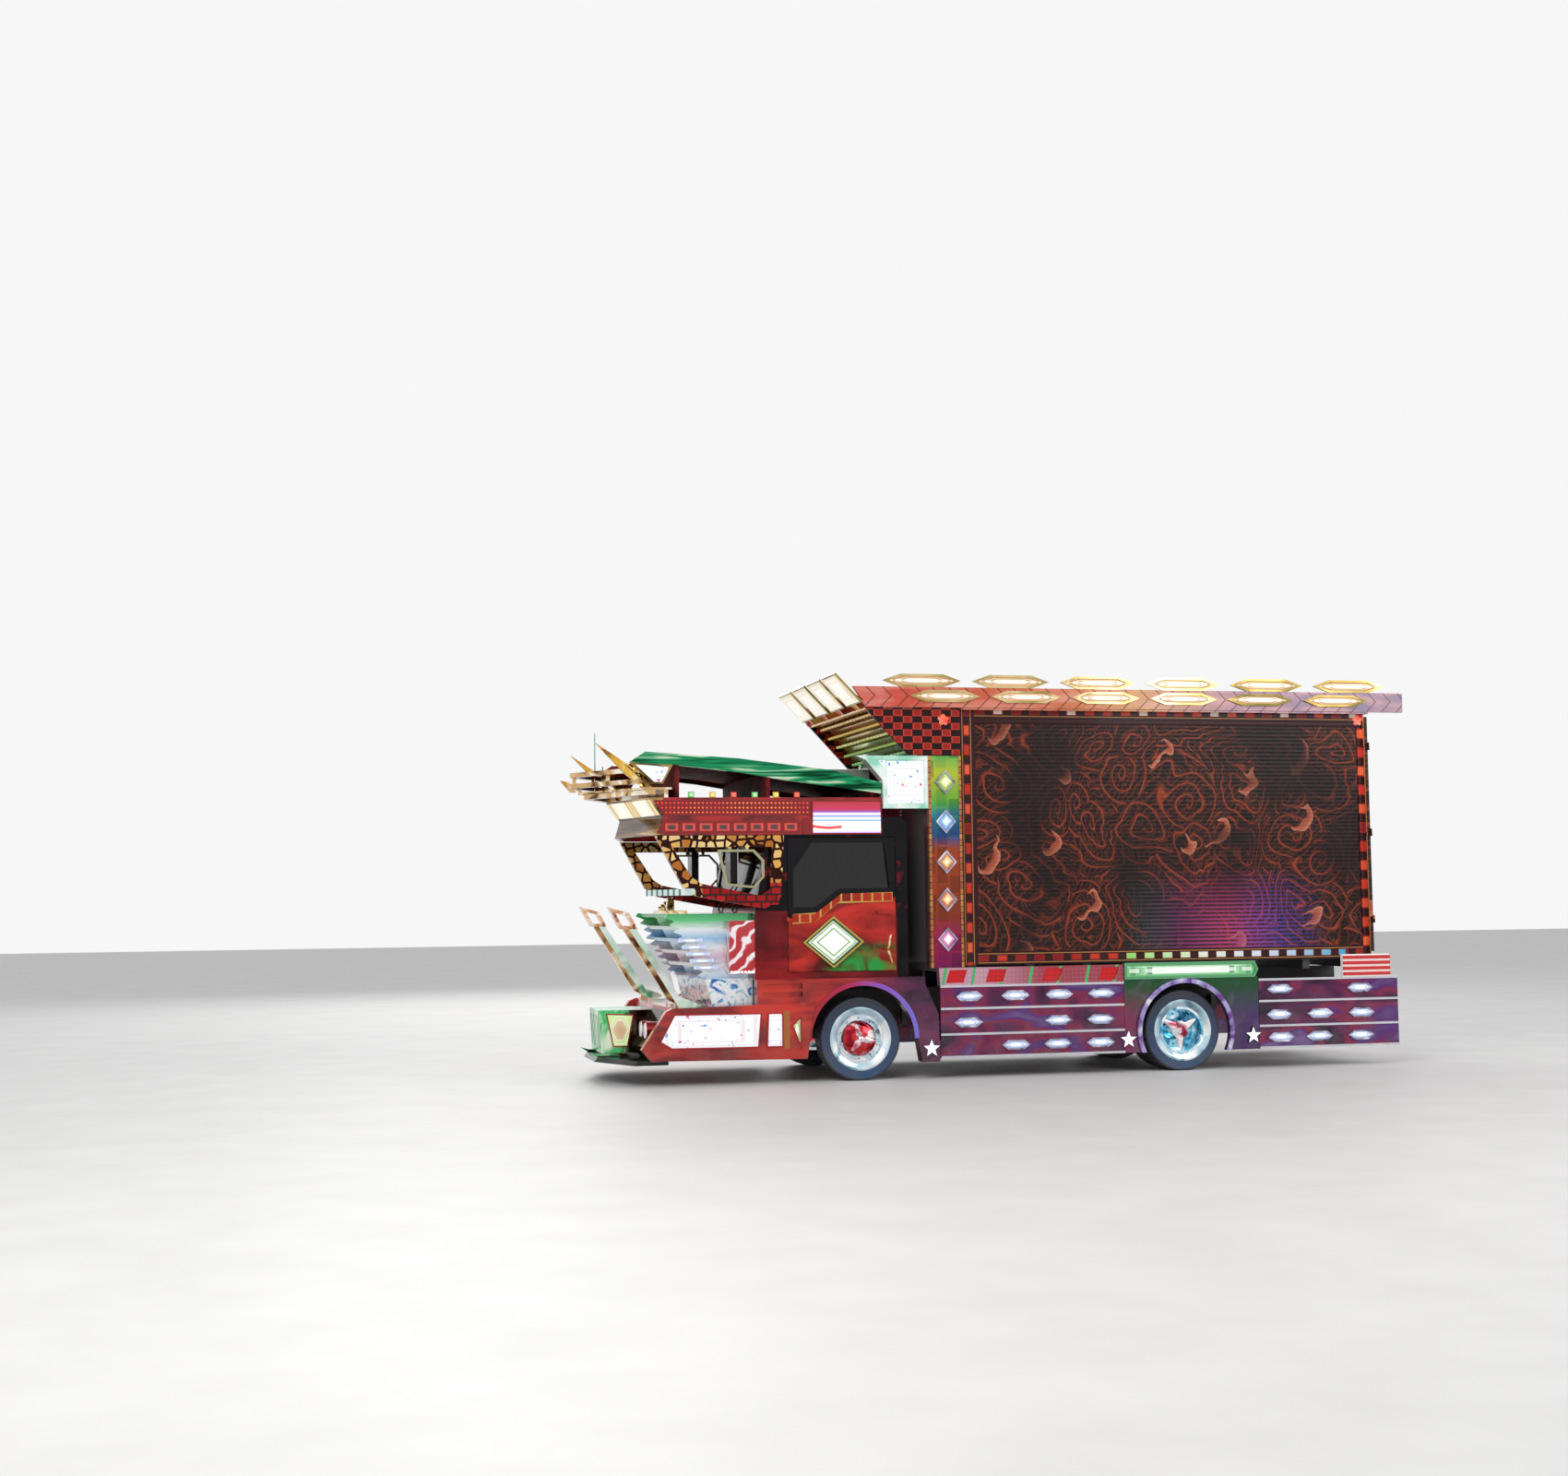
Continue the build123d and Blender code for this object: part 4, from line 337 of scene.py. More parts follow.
def edit(obj):
    bpy.ops.object.select_all(action="DESELECT")
    obj.select_set(True)
    bpy.context.view_layer.objects.active = obj
    bpy.ops.object.mode_set(mode="EDIT")
    bpy.ops.mesh.select_all(action="DESELECT")


def object_mode():
    bpy.ops.object.mode_set(mode="OBJECT")


def pick_faces(obj, test):
    """Selects the faces whose middle and normal pass the test."""
    object_mode()
    bpy.context.tool_settings.mesh_select_mode = (False, False, True)
    for item in list(obj.data.vertices) + list(obj.data.edges):
        item.select = False
    for face in obj.data.polygons:
        face.select = bool(test(face.center, face.normal))
    bpy.ops.object.mode_set(mode="EDIT")


def pick_points(obj, test):
    object_mode()
    bpy.context.tool_settings.mesh_select_mode = (True, False, False)
    for item in list(obj.data.edges) + list(obj.data.polygons):
        item.select = False
    for vertex in obj.data.vertices:
        vertex.select = bool(test(vertex.co))
    bpy.ops.object.mode_set(mode="EDIT")


def tidy_mesh(obj, smooth=None):
    """Leaves edit mode with doubles merged, normals outward and the place in the mesh."""
    bpy.ops.mesh.select_all(action="SELECT")
    bpy.ops.mesh.remove_doubles(threshold=0.00002)
    bpy.ops.mesh.normals_make_consistent(inside=False)
    object_mode()
    bpy.ops.object.transform_apply(location=True, rotation=True, scale=True)
    if smooth is not None:
        bpy.ops.object.shade_smooth_by_angle(angle=math.radians(smooth))


def copies(pattern, name, places):
    """Copies of the pattern at each place (a matrix), joined as one object. The pattern goes."""
    made = []
    for place in places:
        twin = pattern.copy()
        twin.data = pattern.data.copy()
        twin.data.transform(place)
        if place.determinant() < 0:
            twin.data.flip_normals()
        bpy.context.scene.collection.objects.link(twin)
        made.append(twin)
    old = pattern.data
    bpy.data.objects.remove(pattern)
    bpy.data.meshes.remove(old)
    bpy.ops.object.select_all(action="DESELECT")
    for twin in made:
        twin.select_set(True)
    bpy.context.view_layer.objects.active = made[0]
    if len(made) > 1:
        bpy.ops.object.join()
    made[0].name = name
    return made[0]


def give(obj, material, body, slot, *replaced):
    obj.data.materials.clear()
    obj.data.materials.append(material)
    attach(obj, body)
    if replaced:
        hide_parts(*replaced)


def fit(pattern, name, places, *fixing):
    """Copies of the pattern at its places, given their material and body; the slot is not used."""
    give(copies(pattern, name, places), *fixing)


def at(x, y, z):
    return Matrix.Translation((x, y, z))


def tyre_pattern():
    tyre = start(bpy.ops.mesh.primitive_cylinder_add, vertices=TYRE_SECTIONS, radius=HUB, depth=2 * TREAD_HALF,
                 end_fill_type="NOTHING", rotation=(math.pi / 2, 0, 0))
    edit(tyre)
    for y in GROOVES:
        take_all()
        bpy.ops.mesh.bisect(plane_co=(0, y, 0), plane_no=(0, 1, 0))
    radius, half = HUB, TREAD_HALF
    for next_radius, next_half in TYRE_RINGS:
        edge_y = half - 0.0005
        pick_points(tyre, lambda co: abs(co.y) > edge_y and abs(math.hypot(co.x, co.z) - radius) < 0.002)
        bpy.ops.mesh.extrude_edges_move()
        spread(next_radius / radius, next_half / half)
        radius, half = next_radius, next_half
    close_ring()

    def in_groove(middle, normal):
        return math.hypot(middle.x, middle.z) > 0.40 and any(abs(abs(middle.y) - g) < 0.004 for g in (0.020, 0.062))

    pick_faces(tyre, in_groove)
    bpy.ops.mesh.extrude_region_move()
    spread(0.972)

    def sipe(middle, normal):
        turn = math.degrees(math.atan2(middle.z, middle.x)) % 15
        on_rib = math.hypot(middle.x, middle.z) > 0.402 and abs(middle.y) < 0.097
        return on_rib and not in_groove(middle, normal) and turn < 5

    pick_faces(tyre, sipe)
    bpy.ops.mesh.inset(thickness=0.0055, use_individual=True)
    bpy.ops.mesh.extrude_region_move()
    spread(0.982)
    tidy_mesh(tyre, 32)
    return tyre


def unsigned(tree, value):
    return sums(tree, "ABSOLUTE", value)


def over(tree, value, edge):
    return sums(tree, "GREATER_THAN", value, edge)


def inside(tree, value, low, high):
    """1 where the value lies between low and high."""
    above = over(tree, value, low)
    return times(tree, above, under(tree, value, high))


def all_of(tree, first, *masks):
    for mask in masks:
        first = times(tree, first, mask)
    return first


def distance(tree, across, upward):
    return sums(tree, "SQRT", plus(tree, times(tree, across, across), times(tree, upward, upward)))


tyre_rubber, tree, sockets = finish("tyre_rubber", roughness=0.62)
where, x, y, z = place_of(tree)
scuffs = noise(tree, where, 14.0, 8.0, fineness=0.7)
rubber = ramp(tree, scuffs, (0.3, (0.010, 0.013, 0.022)), (0.7, (0.022, 0.030, 0.048)))
# Both wheels of a side at once: X is folded about the middle of the wheelbase.
along = minus(tree, unsigned(tree, minus(tree, x, AXLE - WHEELBASE / 2)), WHEELBASE / 2)
reach = distance(tree, minus(tree, z, HUB), along)
wall = all_of(tree, inside(tree, reach, 0.20, 0.385), over(tree, unsigned(tree, y), 1.0))
# Painted blue glow on the sidewalls, strongest near the ground: lamplight laid into the rubber's colour.
painted_blue_glow = ramp(tree, span(tree, z, 0.0, 0.80), (0.0, (0.022, 0.085, 0.20)), (0.55, (0.012, 0.040, 0.11)),
            (1.0, (0.010, 0.013, 0.026)))
rubber = blend(tree, times(tree, wall, span(tree, scuffs, 0.3, 0.7, 0.65, 0.95)), rubber, painted_blue_glow)
road_film(tree, sockets, rubber, 0.50, 0.4, 0.55)
rough_up(tree, sockets, noise(tree, where, 260.0, 2.0), 0.0008, 0.6)
for side, sign in (("left", 1), ("right", -1)):
    fit(tyre_pattern(), "front_tyre_tread_" + side, [at(AXLE, sign * FRONT_TYRE_Y, HUB)], tyre_rubber,
        "wheel_front_" + side, "tyre_rubber", "front_tyre_" + side)
    twins = copies(tyre_pattern(), "rear_tyre_treads_" + side, [at(REAR_AXLE, sign * y, HUB) for y in TWIN_TYRES_Y])
    give(twins, tyre_rubber, "wheel_rear_" + side, "tyre_rubber", "rear_tyres_" + side)

# ---- Wheels ----
# Steel wheels under chrome covers, bolted to the hubs: a domed cover at the front whose cap carries a painted red
# reflection of the bumper, and painted blue reflections on the dishes, deepest at the rear. Domed nut caps stand
# round each, and a dished ring laps each tyre's bead.
# Painted reflections for chrome: noise streaks run from the dark colour through the tint to the highlight colour,
# laid into the base colour in place of reflected light.
reflection_streaks, given, result = new_group(
    "Painted Reflection Streaks",
    (("Dark", "Color", (0.1, 0.1, 0.1)), ("Tint", "Color", (0.5, 0.5, 0.5)), ("Bright", "Color", (0.9, 0.9, 0.9)),
     ("Scale", "Float", 4.0), ("Stretch", "Vector", (1, 1, 1))),
    (("Color", "Color"), ("Roughness", "Float")))
where = place_of(reflection_streaks)[0]
drawn_out = stretched(reflection_streaks, where, given["Stretch"])
waves = noise(reflection_streaks, drawn_out, given["Scale"], 2.5, 1.2)
low = blend(reflection_streaks, span(reflection_streaks, waves, 0.34, 0.48), given["Dark"], given["Tint"])
feed(reflection_streaks, result, Color=blend(reflection_streaks, span(reflection_streaks, waves, 0.52, 0.64), low, given["Bright"]))
haze = noise(reflection_streaks, where, 11.0, 5.0)
feed(reflection_streaks, result, Roughness=span(reflection_streaks, haze, 0.3, 0.7, 0.05, 0.16))


def mirrored(tree, dark, tint, bright, scale=4.0, stretch=(1, 1, 1)):
    return use_group(tree, reflection_streaks, Dark=dark, Tint=tint, Bright=bright, Scale=scale, Stretch=stretch)


def chrome_with_painted_streaks(name, dark, tint, bright, scale=4.0, stretch=(1, 1, 1), film_amount=0.15):
    """Chrome or tinted chrome over pressed metal, with the lit truck's colours painted into its colour as long
    reflection streaks.
    """
    material, tree, sockets = finish(name, metallic=1.0)
    skin = mirrored(tree, dark, tint, bright, scale, stretch)
    road_film(tree, sockets, skin["Color"], skin["Roughness"], film_amount)
    return material


def wheel_chrome(name, centre_x, cap_radius, cap_reflection_dark, cap_reflection_mid, dish_reflection_dark, dish_reflection_mid):
    material, tree, sockets = finish(name, metallic=1.0)
    _, x, _, z = place_of(tree)
    radius = distance(tree, minus(tree, x, centre_x), minus(tree, z, HUB))
    dish = mirrored(tree, dish_reflection_dark, dish_reflection_mid, (0.92, 0.95, 0.97), 7.0)
    cap = mirrored(tree, cap_reflection_dark, cap_reflection_mid, (0.95, 0.93, 0.93), 5.0)
    on_cap = under(tree, radius, cap_radius)
    road_film(tree, sockets, blend(tree, on_cap, dish["Color"], cap["Color"]), dish["Roughness"], 0.18, 0.7)
    return material


# Chrome with painted reflections: a red cap for the bumper it faces, and blue dishes for the lamps' blue light.
front_chrome = wheel_chrome("front_chrome", AXLE, 0.168, (0.30, 0.01, 0.02), (0.72, 0.05, 0.06), (0.18, 0.30, 0.42),
                            (0.62, 0.76, 0.84))
rear_chrome = wheel_chrome("rear_chrome", REAR_AXLE, 0.10, (0.28, 0.02, 0.05), (0.90, 0.88, 0.90), (0.05, 0.28, 0.44),
                           (0.34, 0.70, 0.86))
dress(front_chrome, "front_wheel_left", "front_wheel_right")
dress(rear_chrome, "rear_wheel_left", "rear_wheel_right")


def pull(x, y, z):
    bpy.ops.mesh.extrude_region_move(TRANSFORM_OT_translate={"value": (x, y, z)})


def lift(rise):
    bpy.ops.transform.translate(value=(0, rise, 0))


def nut_cap(share=1.0):
    cap = start(bpy.ops.mesh.primitive_cylinder_add, vertices=6, radius=0.0125, depth=0.012,
                rotation=(math.pi / 2, 0, 0))
    edit(cap)
    pick_faces(cap, lambda middle, normal: normal.y > 0.9)
    for rise, inward in ((0.005, 0.8), (0.004, 0.6)):
        pull(0, rise, 0)
        spread(inward)
    tidy_mesh(cap)
    cap.data.transform(Matrix.Scale(share, 4))
    return cap


NUTS = 10
# Chrome of the nut caps and small fittings, with painted grey and white reflection streaks.
bright_plate = chrome_with_painted_streaks("bright_plate", (0.22, 0.22, 0.24), (0.62, 0.62, 0.65), (0.90, 0.90, 0.92), 6.0)
for side, sign in (("left", 1), ("right", -1)):
    for label, centre_x, face_y, ring in (("front", AXLE, 0.976, 0.195), ("rear", REAR_AXLE, 0.8485, 0.150)):
        spots = []
        for k in range(NUTS):
            turn = 2 * math.pi * (k + 0.5) / NUTS
            spot = at(centre_x + ring * math.cos(turn), sign * face_y, HUB + ring * math.sin(turn))
            spots.append(spot @ Matrix.Rotation(0 if sign > 0 else math.pi, 4, "Z"))
        fit(nut_cap(), "%s_wheel_nuts_%s" % (label, side), spots, bright_plate, "wheel_%s_%s" % (label, side),
            "bright_chrome")

# Radius and depth from the tyre's middle of each ring of the bright cover that laps the tyre's bead.
COVER_PROFILE = ((0.236, 0.0960), (0.250, 0.1065), (0.266, 0.1100), (0.272, 0.1155), (0.298, 0.1190), (0.309, 0.1175),
                 (0.311, 0.1135), (0.300, 0.1130), (0.280, 0.1115), (0.252, 0.1020), (0.238, 0.0945))


def disc(points, radius, fill="NGON"):
    """A flat disc that faces +Y."""
    return start(bpy.ops.mesh.primitive_circle_add, vertices=points, radius=radius, fill_type=fill,
                 rotation=(-math.pi / 2, 0, 0))


def bead_cover():
    """A dished ring, drawn out from a circle through the profile's rings and closed back on its first one."""
    radius, depth = COVER_PROFILE[0]
    cover = disc(64, radius, "NOTHING")
    edit(cover)
    bpy.context.tool_settings.mesh_select_mode = (False, True, False)
    take_all()
    lift(depth)
    for next_radius, next_depth in COVER_PROFILE[1:]:
        bpy.ops.mesh.extrude_edges_move()
        spread(next_radius / radius)
        lift(next_depth - depth)
        radius, depth = next_radius, next_depth
    close_ring()
    tidy_mesh(cover, 40)
    return cover


# Chrome of the bead rings, with painted blue reflection streaks.
cover_chrome = chrome_with_painted_streaks("cover_chrome", (0.16, 0.26, 0.36), (0.52, 0.72, 0.82), (0.94, 0.97, 0.98), 2.6)
for side, sign in (("left", 1), ("right", -1)):
    for label, centre_x, tyre_y in (("front", AXLE, FRONT_TYRE_Y), ("rear", REAR_AXLE, TWIN_TYRES_Y[0])):
        spot = at(centre_x, sign * tyre_y, HUB) @ Matrix.Rotation(0 if sign > 0 else math.pi, 4, "Z")
        fit(bead_cover(), "%s_wheel_cover_%s" % (label, side), [spot], cover_chrome, "wheel_%s_%s" % (label, side),
            "bright_chrome")

# ---- Cab shell and windscreen ----
# The cab is welded of pressed steel and stands on mounts over the frame's front: candy red below the belt with
# painted shading, black gloss round the glass with painted dark red glints, grey lining inside. The screen is one
# dark laminated pane.


def cells(tree, where, scale, randomness=1.0, feature="F1"):
    """Distance from the middle of the nearest of many cells."""
    found = part(tree, "TexVoronoi", {"feature": feature}, Vector=where, Scale=scale, Randomness=randomness)
    return found.outputs["Distance"]


# Candy paint with painted shading: stretched noise clouds run between the shade and highlight colours in place of
# real reflections, sprinkled with fine pale flakes.
candy, given, result = new_group(
    "Candy Coat And Painted Shading",
    (("Deep", "Color", (0.2, 0.0, 0.0)), ("Bright", "Color", (0.6, 0.02, 0.03)), ("Scale", "Float", 1.6)),
    (("Color", "Color"), ("Roughness", "Float")))
where = place_of(candy)[0]
drawn_out = stretched(candy, where, (0.6, 0.6, 1.9))
clouds = noise(candy, drawn_out, given["Scale"], 4.0, 0.9)
flakes = cells(candy, where, 650.0)
shade = blend(candy, span(candy, clouds, 0.36, 0.66), given["Deep"], given["Bright"])
sparkle = times(candy, under(candy, flakes, 0.22), 0.2)
feed(candy, result, Color=blend(candy, sparkle, shade, (1.0, 0.88, 0.82)),
     Roughness=span(candy, clouds, 0.3, 0.7, 0.15, 0.27))


def candy_with_painted_shading(tree, deep, bright, scale=1.6):
    return use_group(tree, candy, Deep=deep, Bright=bright, Scale=scale)["Color"]


def any_of(tree, first, *masks):
    for mask in masks:
        first = sums(tree, "MAXIMUM", first, mask)
    return first


RED_SHADE = (0.10, 0.002, 0.004)
RED_HIGHLIGHT = (0.44, 0.009, 0.014)
GLOSS_BLACK = (0.006, 0.005, 0.007)
LINING = (0.13, 0.125, 0.12)
BELT_TOP = 1.66
SCREEN_SLOPE = 0.163
WAIST = 1.60

cab_candy, tree, sockets = finish("cab_candy", metallic=0.5, coat=0.12, shine=0.1)
where, x, y, z = place_of(tree)
side = unsigned(tree, y)
colour = candy_with_painted_shading(tree, RED_SHADE, RED_HIGHLIGHT)
# Painted dark red glints on the black gloss, laid into the colour in place of reflections.
glints = noise(tree, where, 9.0, 6.0)
dark = blend(tree, span(tree, glints, 0.58, 0.72), GLOSS_BLACK, (0.22, 0.006, 0.012))
upper = any_of(tree, over(tree, z, BELT_TOP), under(tree, x, AXLE - 0.385))
colour = blend(tree, upper, colour, dark)
leaning = plus(tree, x, times(tree, sums(tree, "MAXIMUM", minus(tree, z, WAIST), 0), SCREEN_SLOPE))
room = all_of(tree, under(tree, side, 1.03), under(tree, leaning, 2.58), over(tree, x, 1.07),
              inside(tree, z, 1.02, 2.55))
colour = blend(tree, room, colour, LINING)
road_film(tree, sockets, colour, 0.18, 0.25, 1.3)
dress(cab_candy, "cab_shell")

dark_glass, tree, sockets = finish("dark_glass", (0.014, 0.015, 0.019), shine=0.08)
sockets["Transmission Weight"].default_value = 0.85
wiped = noise(tree, place_of(tree)[0], 3.0, 6.0)
feed(tree, sockets, Roughness=span(tree, wiped, 0.35, 0.75, 0.01, 0.09))
dress(dark_glass, "windscreen", "door_glass_left", "door_glass_right")

# ---- Doors ----
# A steel door on two pin hinges, in the cab's paints, with a raised belt of lit red blocks in gold lines and the
# raised frame of the diamond lamp, gold over green. The lower rear of the skin carries a painted green reflection.
blocks, given, result = new_group(
    "Lamp Blocks",
    (("Along", "Float", 0.0), ("Up", "Float", 0.0), ("Length", "Float", 0.1), ("Height", "Float", 0.05),
     ("Gap", "Float", 0.006), ("First", "Color", (0.6, 0.02, 0.02)), ("Second", "Color", (0.05, 0.0, 0.0)),
     ("Line", "Color", (0.6, 0.35, 0.08)), ("Bias", "Float", 0.0)),
    (("Color", "Color"), ("Line", "Float")))
flat = part(blocks, "CombineXYZ", X=given["Along"], Y=given["Up"]).outputs[0]
wall = part(blocks, "TexBrick", {"offset": 0.5}, Vector=flat, Color1=given["First"], Color2=given["Second"],
            Mortar=given["Line"], Scale=1.0, Mortar_Size=given["Gap"], Mortar_Smooth=0.15, Bias=given["Bias"],
            Brick_Width=given["Length"], Row_Height=given["Height"]).outputs
feed(blocks, result, Color=wall["Color"], Line=wall["Fac"])


def block_rows(tree, along, up, length, height, gap, first, second, line, bias=0.0):
    return use_group(tree, blocks, Along=along, Up=up, Length=length, Height=height, Gap=gap, First=first,
                     Second=second, Line=line, Bias=bias)["Color"]


def away(tree, value, middle):
    return unsigned(tree, minus(tree, value, middle))


GOLD_LINE = (0.62, 0.36, 0.09)
DOOR_LAMP_X = AXLE + 0.27
DOOR_LAMP_Z = 1.35
door_candy, tree, sockets = finish("door_candy", metallic=0.5, coat=0.18, shine=0.1)
where, x, y, z = place_of(tree)
side = unsigned(tree, y)
red = candy_with_painted_shading(tree, RED_SHADE, (0.62, 0.03, 0.02), 2.2)
# Painted green reflection on the lower rear of the skin.
waves = noise(tree, where, 3.2, 4.0, 1.4)
low_rear = all_of(tree, span(tree, x, AXLE + 0.42, AXLE + 0.10), span(tree, z, 1.36, 1.16))
painted_green_reflection = times(tree, low_rear, span(tree, waves, 0.38, 0.50), clamp=True)
red = blend(tree, painted_green_reflection, red, (0.03, 0.36, 0.06))
above = minus(tree, z, span(tree, x, AXLE + 0.455, AXLE + 0.20, 1.535, 1.735))
colour = blend(tree, over(tree, above, 0.05), red, GLOSS_BLACK)
belt = block_rows(tree, x, above, 0.105, 0.098, 0.010, (0.60, 0.045, 0.015), (0.26, 0.012, 0.010), GOLD_LINE)
colour = blend(tree, all_of(tree, inside(tree, side, 1.0645, 1.0725), inside(tree, above, -0.03, 0.12)), colour, belt)
across = ratio(tree, away(tree, x, DOOR_LAMP_X), 0.31)
upright = ratio(tree, away(tree, z, DOOR_LAMP_Z), 0.255)
to_edge = plus(tree, across, upright)
frame_ring = ramp(tree, to_edge, (0.0, (0.9, 0.9, 0.85)), (0.80, (0.02, 0.16, 0.04)), (0.895, (0.62, 0.05, 0.02)),
                  (0.925, (0.66, 0.50, 0.12)), (0.97, (0.05, 0.30, 0.08)), steps=True)
colour = blend(tree, all_of(tree, over(tree, side, 1.0715), under(tree, to_edge, 1.02), under(tree, z, 1.63)), colour,
               frame_ring)
colour = blend(tree, under(tree, side, 1.03), colour, LINING)
road_film(tree, sockets, colour, 0.17, 0.25, 1.3)
dress(door_candy, "door_left", "door_right")

# ---- Dashboard ----
# A moulded grey dashboard, dark on top and paler at its foot, with the steering wheel on its column. It bolts
# across the cab under the screen.
dash_mould, tree, sockets = finish("dash_mould", roughness=0.55)
where, _, _, z = place_of(tree)
grain = cells(tree, where, 420.0)
tone = noise(tree, where, 6.0, 5.0)
mould = ramp(tree, tone, (0.3, (0.035, 0.034, 0.034)), (0.7, (0.06, 0.058, 0.055)))
feed(tree, sockets, Base_Color=blend(tree, under(tree, z, 1.30), mould, (0.11, 0.105, 0.10)))
rough_up(tree, sockets, grain, 0.0006, 0.6)
dress(dash_mould, "dashboard")

# ---- Front fenders ----
# Steel corner panels under the cab, with two step slots, a raised arch flare and a tail behind the wheel. Candy red
# in front of the wheel, violet behind it, and on the flare painted reflections running from blue and violet to red.
fender_candy, tree, sockets = finish("fender_candy", metallic=0.5, coat=0.35, shine=0.3)
_, x, y, z = place_of(tree)
side = unsigned(tree, y)
red = candy_with_painted_shading(tree, (0.17, 0.004, 0.008), (0.62, 0.035, 0.02), 3.0)
violet = candy_with_painted_shading(tree, (0.035, 0.004, 0.03), (0.16, 0.015, 0.09), 2.0)
colour = blend(tree, span(tree, x, AXLE + 0.25, AXLE - 0.45), red, violet)
reach = distance(tree, minus(tree, x, AXLE), minus(tree, z, HUB))
# Painted reflections on the arch flare: blue and violet at the rear to red at the front.
flare_painted_reflection = ramp(tree, span(tree, x, AXLE - 0.57, AXLE + 0.57), (0.0, (0.20, 0.18, 0.75)),
                  (0.35, (0.30, 0.10, 0.55)), (0.6, (0.50, 0.02, 0.10)), (1.0, (0.40, 0.01, 0.02)))
colour = blend(tree, all_of(tree, over(tree, side, 1.142), under(tree, reach, 0.568)), colour, flare_painted_reflection)
colour = blend(tree, under(tree, side, 1.02), colour, (0.012, 0.011, 0.012))
road_film(tree, sockets, colour, 0.2, 0.45, 1.0)
dress(fender_candy, "front_fenders")

# ---- Bumper, pod and arms ----
# The bumper is a hollow steel body with thick side wings in candy red, edged in chrome. The centre pod is green
# chrome over a dark mesh, on a black lip. Two folded arms, gold outside and pale green inside, bolt to its top.


def facing_of(tree):
    """The X, Y and Z of the way the surface faces."""
    return axes_of(tree, part(tree, "TexCoord").outputs["Normal"])


bumper_candy, tree, sockets = finish("bumper_candy", metallic=0.45, coat=0.35, shine=0.3)
_, x, _, z = place_of(tree)
colour = candy_with_painted_shading(tree, (0.20, 0.004, 0.006), (0.66, 0.03, 0.018), 2.4)
# Faces turned forward get painted pink and red reflection streaks, as on chrome edging.
faces_front = over(tree, facing_of(tree)[0], 0.35)
front_reflection_streak = mirrored(tree, (0.30, 0.01, 0.02), (0.80, 0.25, 0.20), (0.88, 0.55, 0.52), 2.2)
colour = blend(tree, faces_front, colour, front_reflection_streak["Color"])
tail = all_of(tree, inside(tree, x, AXLE + 0.735, AXLE + 0.79), inside(tree, z, 0.34, 0.70))
colour = blend(tree, tail, colour, (0.45, 0.14, 0.02))
road_film(tree, sockets, colour, 0.17, 0.5, 0.9)
dress(bumper_candy, "bumper_wings")


def mesh_skin(tree, where):
    """Black wire mesh with a faint bronze sheen."""
    wires = cells(tree, where, 95.0, feature="DISTANCE_TO_EDGE")
    return blend(tree, under(tree, wires, 0.08), (0.012, 0.009, 0.006), (0.12, 0.09, 0.06))


bumper_chrome, tree, sockets = finish("bumper_chrome", metallic=1.0)
where, _, _, z = place_of(tree)
# Chrome with painted dark red reflection streaks, drawn out upright.
skin = mirrored(tree, (0.16, 0.008, 0.012), (0.42, 0.025, 0.03), (0.66, 0.16, 0.15), 1.6, (1, 1, 2.5))
facing = facing_of(tree)
front = all_of(tree, over(tree, facing[0], 0.3), under(tree, z, 0.715))
road_film(tree, sockets, blend(tree, front, skin["Color"], mesh_skin(tree, where)), skin["Roughness"], 0.5)
dress(bumper_chrome, "bumper_front")

pod_chrome, tree, sockets = finish("pod_chrome", metallic=1.0)
where, x, y, z = place_of(tree)
side = unsigned(tree, y)
# Green chrome with painted reflection streaks, pale at their brightest.
green = mirrored(tree, (0.01, 0.08, 0.03), (0.10, 0.62, 0.20), (0.80, 0.95, 0.72), 6.0, (1, 1, 0.35))
cheek = all_of(tree, over(tree, side, 0.335), under(tree, x, AXLE + 2.17), over(tree, z, 0.26))
colour = blend(tree, cheek, green["Color"], mesh_skin(tree, where))
colour = blend(tree, under(tree, z, 0.262), colour, (0.02, 0.03, 0.03))
road_film(tree, sockets, colour, green["Roughness"], 0.4, 0.8)
dress(pod_chrome, "bumper_pod")

arm_chrome, tree, sockets = finish("arm_chrome", metallic=1.0)
_, x, _, z = place_of(tree)
facing = facing_of(tree)
# Gold, pale green and copper chrome, each with painted reflection streaks.
gold = mirrored(tree, (0.10, 0.03, 0.01), (0.55, 0.30, 0.12), (0.92, 0.78, 0.50), 5.0)
pale = mirrored(tree, (0.10, 0.40, 0.20), (0.70, 0.88, 0.74), (0.96, 0.97, 0.95), 3.0)
copper = mirrored(tree, (0.30, 0.09, 0.04), (0.78, 0.46, 0.26), (0.97, 0.90, 0.82), 9.0)
lead = minus(tree, x, times(tree, z, 0.633))
behind = all_of(tree, over(tree, unsigned(tree, facing[1]), 0.5), under(tree, lead, AXLE + 1.325))
colour = blend(tree, behind, gold["Color"], pale["Color"])
colour = blend(tree, over(tree, z, 1.502), colour, copper["Color"])
road_film(tree, sockets, colour, gold["Roughness"], 0.12)
dress(arm_chrome, "bumper_arms")

